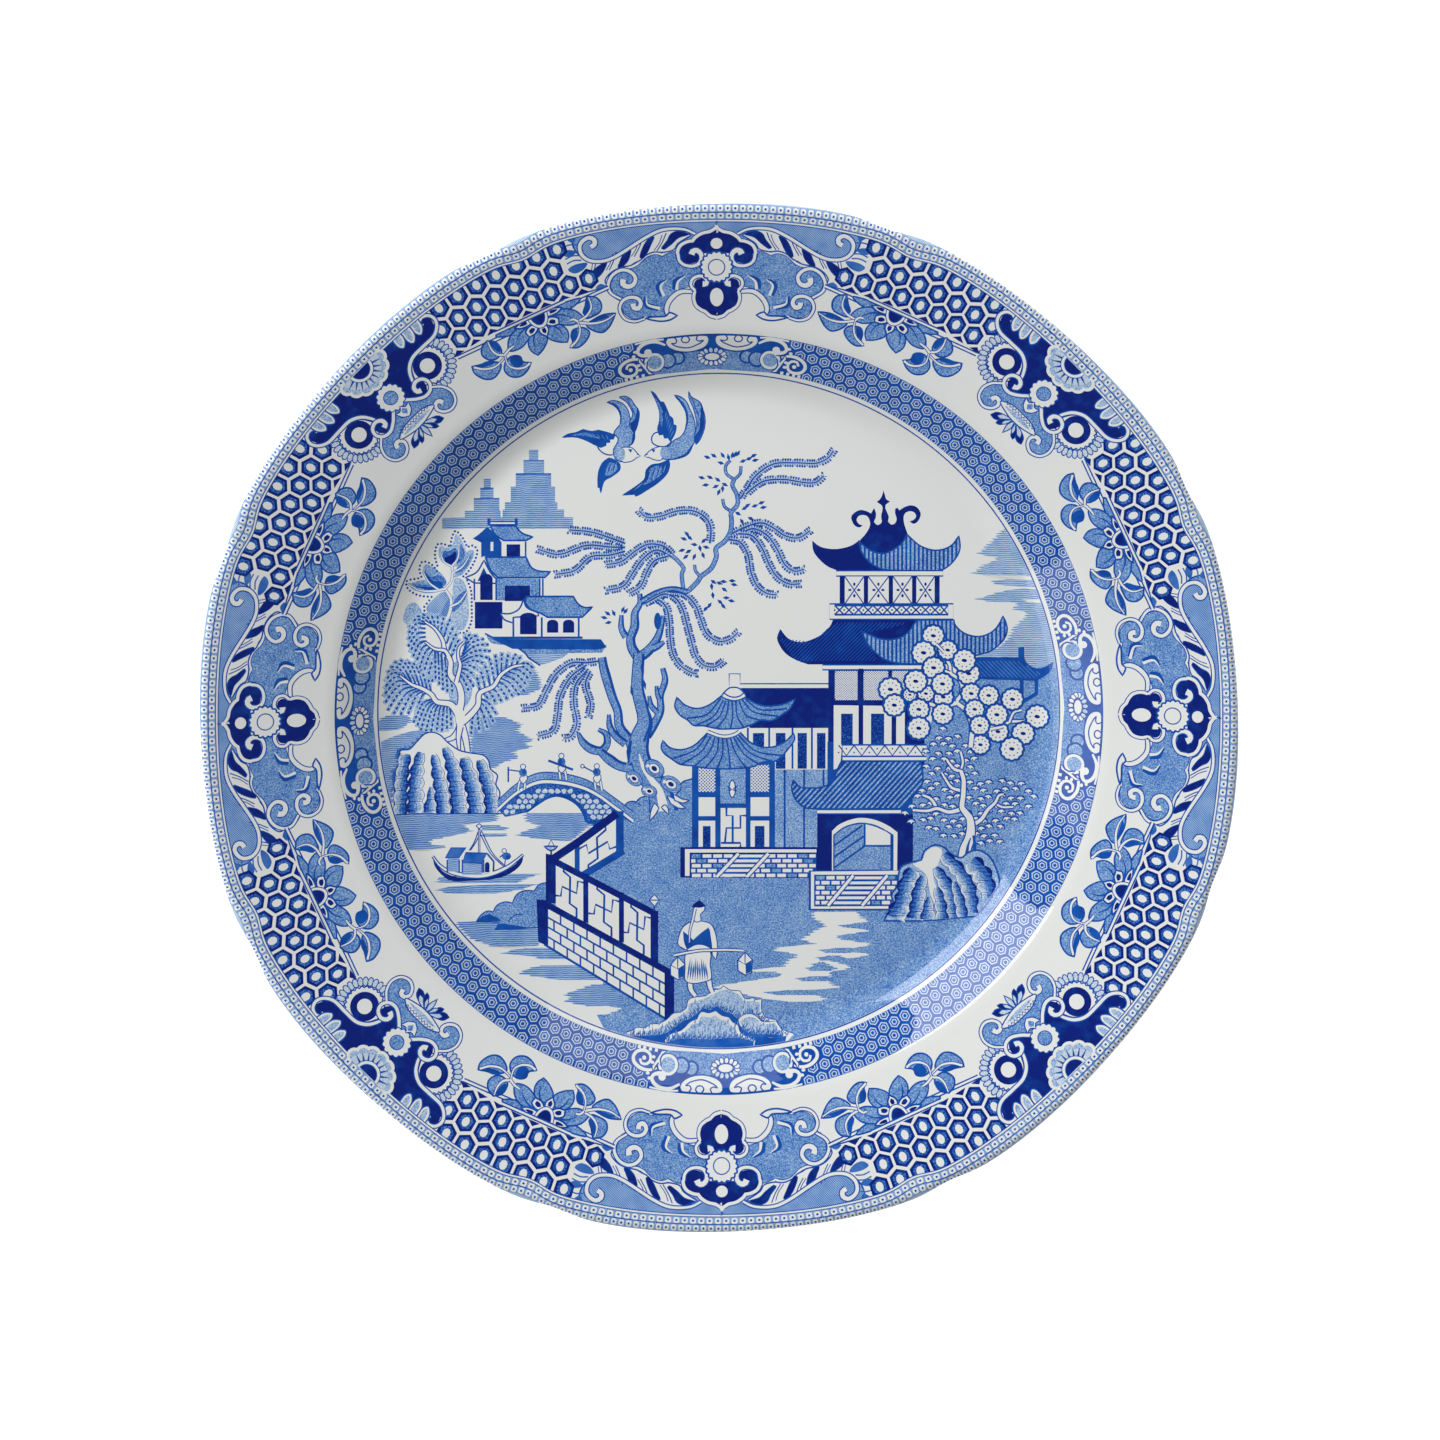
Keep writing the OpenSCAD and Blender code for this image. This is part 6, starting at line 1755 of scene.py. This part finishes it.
def inside(points, outline):
    """Which points the outline winds around."""
    wind = np.zeros(len(points), int)
    px, py = points[:, 0], points[:, 1]
    ends = np.roll(outline, -1, 0)
    for (x0, y0), (x1, y1) in zip(outline, ends):
        if y0 == y1:
            continue
        left = (x1 - x0) * (py - y0) - (px - x0) * (y1 - y0)
        wind += ((y0 <= py) & (y1 > py) & (left > 0)).astype(int)
        wind -= ((y1 <= py) & (y0 > py) & (left < 0)).astype(int)
    return wind != 0


def cut_up(outline, shapes, rings, spots):
    """Triangles that fill the outline, cut along every shape, each with the ink of the top shape."""
    points, edges, start = [], [], 0
    for loop, closed in [(outline, True)] + [(s[0], True) for s in shapes] + [(r, False) for r in rings]:
        n = len(loop)
        points.append(loop)
        edges += [(start + i, start + i + 1) for i in range(n - 1)]
        if closed:
            edges.append((start + n - 1, start))
        start += n
    points = np.vstack(points + [spots])
    verts, _, faces, *_ = delaunay_2d_cdt([Vector(p) for p in points.tolist()], edges, [], 0, 1e-5, False)
    verts = np.array([(v.x, v.y) for v in verts])
    faces = np.array([f for f in faces if len(f) == 3])
    centre = verts[faces].mean(1)
    keep = inside(centre, outline)
    a, b, c = (verts[faces[:, i]] for i in range(3))
    area = (b[:, 0] - a[:, 0]) * (c[:, 1] - a[:, 1]) - (b[:, 1] - a[:, 1]) * (c[:, 0] - a[:, 0])
    keep &= np.abs(area) > 1e-9
    faces, centre, area = faces[keep], centre[keep], area[keep]
    faces[area < 0] = faces[area < 0][:, ::-1]
    order = np.argsort(centre[:, 0])
    xs = centre[order, 0]
    ink = np.zeros((len(faces), 2))
    for shape, colour in shapes:
        (x0, y0), (x1, y1) = shape.min(0), shape.max(0)
        near = order[np.searchsorted(xs, x0):np.searchsorted(xs, x1)]
        near = near[(centre[near, 1] >= y0) & (centre[near, 1] <= y1)]
        ink[near[inside(centre[near], shape)]] = colour
    return verts, faces, ink


def mesh_piece(name, verts, faces, material, normals=None, ink=None):
    """A mesh object of triangles or quads, with smooth normals and, for a print, its ink on each face."""
    mesh = bpy.data.meshes.new(name)
    verts, faces = np.asarray(verts, float) * MM, np.asarray(faces)
    mesh.vertices.add(len(verts))
    mesh.vertices.foreach_set("co", verts.ravel())
    mesh.loops.add(faces.size)
    mesh.loops.foreach_set("vertex_index", faces.ravel())
    mesh.polygons.add(len(faces))
    mesh.polygons.foreach_set("loop_start", np.arange(len(faces)) * faces.shape[1])
    mesh.update(calc_edges=True)
    mesh.polygons.foreach_set("use_smooth", np.ones(len(faces), bool))
    if ink is not None:
        for k, label in enumerate(("ink", "grain")):
            layer = mesh.attributes.new(label, "FLOAT", "FACE")
            layer.data.foreach_set("value", ink[:, k].astype(float))
    if normals is not None:
        mesh.normals_split_custom_set_from_vertices(normals.tolist())
    piece = bpy.data.objects.new(name, mesh)
    bpy.context.scene.collection.objects.link(piece)
    mesh.materials.append(material)
    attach(piece, "root")
    return piece


def border_loop(faces):
    """The vertices round the edge of a patch of triangles, in order."""
    sides = np.vstack([faces[:, [0, 1]], faces[:, [1, 2]], faces[:, [2, 0]]])
    _, first, count = np.unique(np.sort(sides, 1), axis=0, return_index=True, return_counts=True)
    after = dict(sides[first[count == 1]].tolist())
    loop = [next(iter(after))]
    while after[loop[-1]] != loop[0]:
        loop.append(after[loop[-1]])
    return np.array(loop)


def face_piece(name, outline, shapes, rings, spots, material):
    """A closed shell of glaze: the printed face, a plain back, and the narrow edge between them."""
    verts, faces, ink = cut_up(outline, shapes, rings, spots)
    used = np.unique(faces)
    index = np.full(len(verts), -1)
    index[used] = np.arange(len(used))
    verts, faces = verts[used], index[faces]
    loop = border_loop(faces)
    back, back_faces, _ = cut_up(verts[loop], [], [], spots[::3])
    n, m = len(verts), len(loop)
    here, there = np.arange(m), (np.arange(m) + 1) % m
    walls = np.vstack([np.column_stack([loop[there], loop, n + here]),
                       np.column_stack([loop[there], n + here, n + there])])
    plan = np.vstack([verts, back])
    z = height(plan[:, 0], plan[:, 1])
    z[n:] -= glaze
    normal = normals_at(plan[:, 0], plan[:, 1])
    normal[n:] *= -1
    all_faces = np.vstack([faces, walls, back_faces[:, ::-1] + n])
    ink = np.vstack([ink, np.zeros((len(all_faces) - len(ink), 2))])
    return mesh_piece(name, np.column_stack([plan, z]), all_faces, material, normal, ink)


def coat(name, line, material, replaced):
    """A skin of glaze turned round the axis from a line of (radius, height), which may end on the axis."""
    line = np.array(line, float)
    way = np.gradient(line, axis=0)
    way /= np.linalg.norm(way, axis=1)[:, None]
    out = np.stack([-way[:, 1], way[:, 0]], 1)
    rows = np.vstack([line, (line - out * coat_wall)[::-1]])
    rows[:, 0] = np.where(rows[:, 0] < 0.5, 0, rows[:, 0])
    facing = np.vstack([out, -out[::-1]])
    angles = np.radians(np.arange(stations) * 360 / stations)
    verts, normals, starts = [], [], []
    for (r, z), (out_r, out_z) in zip(rows, facing):
        starts.append(len(verts))
        if r == 0:
            verts.append((0, 0, z))
            normals.append((0, 0, math.copysign(1, out_z)))
        else:
            verts += [(x, y, z) for x, y in ring_points(r)]
            normals += [(out_r * math.cos(a), out_r * math.sin(a), out_z) for a in angles]
    faces = []
    i = np.arange(stations)
    k = (i + 1) % stations
    for j in range(len(rows)):
        a, b = starts[j], starts[(j + 1) % len(rows)]
        a_on_axis, b_on_axis = rows[j, 0] == 0, rows[(j + 1) % len(rows), 0] == 0
        if not b_on_axis:
            faces.append(np.column_stack([np.full(stations, a) if a_on_axis else a + i, b + i, b + k]))
        if not a_on_axis:
            faces.append(np.column_stack([a + i, np.full(stations, b) if b_on_axis else b + k, a + k]))
    piece = mesh_piece(name, verts, np.vstack(faces), material, np.array(normals))
    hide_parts(replaced)


# === materials ===


class Nodes:
    """A short way to write a material's nodes."""

    def __init__(self, name):
        self.material = bpy.data.materials.new(name)
        self.material.use_nodes = True
        self.tree = self.material.node_tree
        self.shader = self.tree.nodes["Principled BSDF"]

    def add(self, kind, settings=(), **inputs):
        """A node; a socket is given by its name, or by i and its number."""
        node = self.tree.nodes.new(kind)
        for key, value in dict(settings).items():
            setattr(node, key, value)
        for key, value in inputs.items():
            self.set(node, key.replace("_", " ") if not key.startswith("i") else int(key[1:]), value)
        return node

    def set(self, node, key, value):
        socket = node.inputs[key]
        if isinstance(value, bpy.types.NodeSocket):
            self.tree.links.new(value, socket)
        else:
            socket.default_value = value

    def math(self, operation, a, b=0.0, c=0.0, clamp=False):
        node = self.add("ShaderNodeMath", {"operation": operation, "use_clamp": clamp}, i0=a, i1=b, i2=c)
        return node.outputs[0]

    def noise(self, scale, detail=2.0, rough=0.5, where=None):
        node = self.add("ShaderNodeTexNoise", Scale=scale, Detail=detail, Roughness=rough)
        self.set(node, "Vector", where or self.place)
        return node.outputs["Fac"]

    @property
    def place(self):
        return self.add("ShaderNodeTexCoord").outputs["Object"]

    def ramp(self, value, stops):
        node = self.add("ShaderNodeValToRGB", i0=value)
        bar = node.color_ramp.elements
        while len(bar) < len(stops):
            bar.new(0.5)
        for mark, (at, colour) in zip(bar, stops):
            mark.position = at
            mark.color = (*colour, 1)
        return node.outputs["Color"]


def printed_glaze():
    """White china with the cobalt print under clear glaze; the mesh says how much ink each face holds."""
    m = Nodes("printed_glaze")
    ink = m.add("ShaderNodeAttribute", {"attribute_name": "ink"}).outputs["Fac"]
    grain = m.add("ShaderNodeAttribute", {"attribute_name": "grain"}).outputs["Fac"]
    where = m.place
    split = m.add("ShaderNodeSeparateXYZ", i0=where)
    x, y = split.outputs[0], split.outputs[1]
    wobble = m.noise(450, 2, 0.6, where)
    cloud = m.noise(260, 3, 0.55, where)
    specks = m.noise(2600, 2, 0.7, where)
    ruled_pitch, hatch_pitch = 0.00052, 0.0006
    shift = m.math("MULTIPLY", wobble, 0.0006)
    ruled = m.math("SINE", m.math("MULTIPLY", m.math("ADD", y, shift), math.tau / ruled_pitch))
    slant = m.math("SINE", m.math("MULTIPLY", m.math("ADD", m.math("ADD", x, y), shift),
                                  math.tau / hatch_pitch))

    def when(number):
        return m.math("COMPARE", grain, number, 0.4)

    stipple = m.math("MULTIPLY", when(1), m.math("MULTIPLY", m.math("SUBTRACT", specks, 0.5), 1.4))
    lines = m.math("MULTIPLY", when(2), m.math("MULTIPLY", ruled, 0.24))
    hatch = m.math("MULTIPLY", when(3), m.math("MULTIPLY", slant, 0.2))
    patchy = m.math("MULTIPLY", m.math("SUBTRACT", cloud, 0.5), 0.28)
    change = m.math("ADD", m.math("ADD", stipple, lines), m.math("ADD", hatch, patchy))
    strength = m.math("MINIMUM", m.math("MULTIPLY", ink, 3.5), 1.0)
    amount = m.math("ADD", ink, m.math("MULTIPLY", change, strength), clamp=True)
    m.set(m.shader, "Base Color", m.ramp(amount, GLAZE_TONES))
    m.set(m.shader, "Roughness", 0.3)
    m.set(m.shader, "Coat Weight", 1.0)
    m.set(m.shader, "Coat Roughness", 0.035)
    m.set(m.shader, "Coat IOR", 1.35)
    m.set(m.shader, "Specular IOR Level", 0.0)
    ripple = m.add("ShaderNodeBump", Strength=0.05, Distance=0.0004, Height=m.noise(120, 2, 0.5, where))
    m.set(m.shader, "Coat Normal", ripple.outputs[0])
    return m.material


GLAZE_TONES = ((0.0, (0.75, 0.765, 0.74)), (0.3, (0.34, 0.49, 0.70)), (0.52, (0.125, 0.27, 0.56)),
               (0.78, (0.005, 0.095, 0.44)), (1.0, (0.0005, 0.012, 0.18)))


def plain_glaze(name, marks=()):
    """Unprinted white glaze; each mark is the place of a small scar that a kiln stilt left."""
    m = Nodes(name)
    tint = m.noise(60, 3, 0.5)
    white = m.ramp(tint, ((0.3, (0.72, 0.735, 0.715)), (0.7, (0.77, 0.785, 0.76))))
    scar = 0.0
    for x, y in marks:
        gap = m.add("ShaderNodeVectorMath", {"operation": "DISTANCE"}, i0=m.place, i1=(x, y, foot_h * MM))
        near = m.math("LESS_THAN", m.math("ADD", gap.outputs["Value"], m.math("MULTIPLY", tint, 0.0012)),
                      0.0018)
        scar = m.math("MAXIMUM", scar, near)
    if marks:
        mix = m.add("ShaderNodeMix", {"data_type": "RGBA"}, i0=scar, i6=white, i7=(0.42, 0.37, 0.30, 1))
        m.set(m.shader, "Base Color", mix.outputs[2])
        m.set(m.shader, "Coat Weight", m.math("SUBTRACT", 1.0, scar))
    else:
        m.set(m.shader, "Base Color", white)
        m.set(m.shader, "Coat Weight", 1.0)
    m.set(m.shader, "Roughness", 0.3)
    m.set(m.shader, "Coat Roughness", 0.035)
    ripple = m.add("ShaderNodeBump", Strength=0.08, Distance=0.0004, Height=m.noise(120, 2))
    m.set(m.shader, "Coat Normal", ripple.outputs[0])
    return m.material


def bare_biscuit():
    m = Nodes("bare_biscuit")
    grain = m.noise(3000, 4, 0.6)
    m.set(m.shader, "Base Color", m.ramp(grain, ((0.3, (0.50, 0.46, 0.39)), (0.7, (0.62, 0.58, 0.50)))))
    m.set(m.shader, "Roughness", 0.85)
    bump = m.add("ShaderNodeBump", Strength=0.4, Distance=0.0001, Height=grain)
    m.set(m.shader, "Normal", bump.outputs[0])
    return m.material


def floor_material():
    m = Nodes("pale_floor")
    m.set(m.shader, "Base Color", (0.93, 0.93, 0.93, 1))
    m.set(m.shader, "Emission Color", (1, 1, 1, 1))
    m.set(m.shader, "Emission Strength", 0.6)
    m.set(m.shader, "Roughness", 0.9)
    m.set(m.shader, "Specular IOR Level", 0.1)
    return m.material


# === pieces ===
print_turn, band_turn = math.radians(0.32), math.radians(1.06)


def on_rim(outline, side, axis_angle, radius=flat_r, turn=print_turn):
    """Takes a flat outline to the plan, on one side of the axis at axis_angle."""
    a = math.radians(axis_angle) - side * outline[:, 0] / radius + turn
    points = np.stack([outline[:, 1] * np.cos(a), outline[:, 1] * np.sin(a)], 1)
    return points if side > 0 else points[::-1]


def drawn(*makers):
    """What the makers draw, taken off the list again."""
    mark = len(art)
    for make in makers:
        make()
    return taken(mark)


def border_shapes():
    """The whole rim border, in the plan."""
    halves = drawn(cartouche, honeycomb, lotus, wing, middle_ornament, edge_strips)
    shapes = [(on_rim(s, side, axis), ink) for axis in (0, 90, 180, 270) for side in (1, -1)
              for s, ink in halves]
    for first, centre in ((0, whole_ornament), (45, whole_medallion)):
        shapes += [(on_rim(s, 1, axis), ink) for axis in range(first, 360, 90) for s, ink in drawn(centre)]
    for count, row, half_w, half_h in ((430, bead_r, 0.62, 0.8), (382, bead_r - 1.95, 0.7, 0.72)):
        for k in range(count):
            x = k * 8 * eighth / count
            bead(x, row + float(wave(x)), half_w, half_h)
    return shapes + [(on_rim(s, 1, 0), ink) for s, ink in taken(0)]


def near_sector(shapes, middle):
    """The shapes that reach into the quarter of the rim round an angle in degrees."""
    way = np.array([math.cos(math.radians(middle)), math.sin(math.radians(middle))])
    limit = math.cos(math.radians(47))
    out = []
    for shape, ink in shapes:
        share = shape @ way / np.maximum(np.linalg.norm(shape, axis=1), 1e-9)
        if share.max() > limit:
            out.append((shape, ink))
    return out


def spots_between(r0, r1, gap):
    """Evenly spread points between two radii, which keep the triangles small."""
    rows = []
    for i, r in enumerate(np.arange(r0 + gap / 2, r1, gap)):
        n = int(2 * math.pi * r / gap)
        a = (np.arange(n) + i % 2 / 2) * 2 * math.pi / n + 0.013
        rows.append(np.stack([r * np.cos(a), r * np.sin(a)], 1))
    return np.vstack(rows)


lip_rings = [lip_x + lip_round * math.cos(math.radians(b)) for b in (107.4, 90, 72, 57, 44, 32, 22)]
lip_end = lip_x + lip_round * math.cos(math.radians(14))
china = printed_glaze()


def rim_quarter(k, shapes):
    """One quarter of the printed rim, from one diagonal to the next."""
    first = 45 + 90 * k
    outer = ring_points(lip_end, first, 90)
    inner = ring_points(well_edge_r, first, 90)
    outline = np.vstack([outer, inner[::-1]])
    rings = [ring_points(r, first, 90) for r in lip_rings]
    spots = spots_between(well_edge_r + 0.5, lip_rings[0] - 1, 2.4)
    spots = spots[inside(spots, outline)]
    piece = face_piece(f"rim_face_{k + 1}", outline, near_sector(shapes, first + 45), rings, spots, china)
    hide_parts(f"border_transfer_{k + 1}")
    return piece


def hoop(ink, r0, r1):
    """A ring between two radii."""
    a = np.arange(361) * math.pi / 180
    ring = np.stack([np.cos(a), np.sin(a)], 1)
    put(ink, np.vstack([ring * r1, ring[::-1] * r0]))


def well_shapes():
    """The scene and the band round it, in the plan."""
    whole_scene()
    hoop(WHITE, 87.45, 99.2)
    hoop(DEEP, 87.5, 87.85)
    hoop(DEEP, band_low, 98.65)
    rings = taken(0)
    for maker, sides in ((band_rows, (1,)), (band_cartouche, (1, -1)), (band_daisy, (1,))):
        part = drawn(maker)
        rings += [(on_rim(s, side, axis, band_flat_r, band_turn), ink) for axis in (0, 90, 180, 270)
                  for side in sides for s, ink in part]
    return rings


all_border = border_shapes()
for k in range(4):
    rim_quarter(k, all_border)
well_outline = ring_points(well_edge_r)
well = face_piece("well_face", well_outline, well_shapes(), [], spots_between(0, well_edge_r - 0.5, 2.4),
                  china)
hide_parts("face_glaze", "scene_transfer", "band_transfer_1", "band_transfer_2", "band_transfer_3",
            "band_transfer_4")

lip_arc = [(lip_x + lip_round * math.cos(math.radians(a)), lip_z + lip_round * math.sin(math.radians(a)))
           for a in np.linspace(14, -72.6, 12)]
under_line = [(r, float(under_z(r))) for r in np.linspace(129, floor_r, 17)]
outer_foot = [(foot_out + out, z) for out, z in ((2.2, 1.76), (1.5, 1.62), (1.1, 1.35), (0.9, 0.95),
                                                 (0.7, bare_h))]
coat("underside_coat", lip_arc + under_line + outer_foot, plain_glaze("underside_glaze"), "underside_glaze")
inner_foot = [(foot_in - back, z) for back, z in ((0.58, bare_h), (0.8, 1.0), (1.05, 1.4), (1.5, 1.68),
                                                  (2.3, foot_h), (4.6, foot_h))]
recess = [(r, foot_h) for r in (50, 25, 8, 0)]
stilts = [(0.052 * math.cos(a), 0.052 * math.sin(a)) for a in (0.4 + k * math.tau / 3 for k in range(3))]
coat("recess_coat", inner_foot + recess, plain_glaze("recess_glaze", stilts), "recess_glaze")


# === stage, light and camera ===
centre = Vector((0, 0, plate_h * MM))


def make_floor():
    mesh = bpy.data.meshes.new("floor")
    size = 6.0
    mesh.from_pydata([(-size, -size, 0), (size, -size, 0), (size, size, 0), (-size, size, 0)], [],
                     [(0, 1, 2, 3)])
    floor = bpy.data.objects.new("floor", mesh)
    mesh.materials.append(floor_material())
    bpy.context.scene.collection.objects.link(floor)


def make_light(name, place, size, power, aim=centre):
    data = bpy.data.lights.new(name, "AREA")
    data.shape = "RECTANGLE"
    data.size, data.size_y = size
    data.energy = power
    light = bpy.data.objects.new(name, data)
    light.location = place
    light.rotation_euler = (aim - Vector(place)).to_track_quat("-Z", "Y").to_euler()
    bpy.context.scene.collection.objects.link(light)


def make_camera():
    """A long lens, a little off the plate's axis towards the top of the scene."""
    tilt, way, distance = math.radians(7.9), math.radians(93), 3.0
    data = bpy.data.cameras.new("camera")
    data.sensor_width = 36
    data.lens = 293.3
    data.shift_x, data.shift_y = 0.0005, 0.00125
    data.clip_start, data.clip_end = 0.05, 50
    camera = bpy.data.objects.new("camera", data)
    camera.location = centre + distance * Vector((math.cos(way) * math.sin(tilt),
                                                  math.sin(way) * math.sin(tilt), math.cos(tilt)))
    forward = (centre - camera.location).normalized()
    right = forward.cross(Vector((0, 1, 0))).normalized()
    up = right.cross(forward)
    turn = np.array([right, up, -forward]).T
    camera.rotation_euler = Matrix(turn.tolist()).to_euler()
    bpy.context.scene.collection.objects.link(camera)
    bpy.context.scene.camera = camera


make_floor()
make_light("window", (-1.65, 1.3, 1.8), (1.2, 1.2), 46)
make_light("left_softbox", (-2.3, -0.5, 1.3), (1.8, 1.2), 22)
make_light("top_softbox", (0.5, 2.3, 1.3), (1.8, 1.2), 22)
bpy.context.scene.view_settings.view_transform = "Standard"
world = bpy.data.worlds.new("studio")
world.use_nodes = True
world.node_tree.nodes["Background"].inputs[0].default_value = (0.95, 0.97, 1.0, 1)
world.node_tree.nodes["Background"].inputs[1].default_value = 0.27
bpy.context.scene.world = world
make_camera()

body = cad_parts["biscuit_body"]
for k in range(len(body.material_slots)):
    body.material_slots[k].material = bare_biscuit()
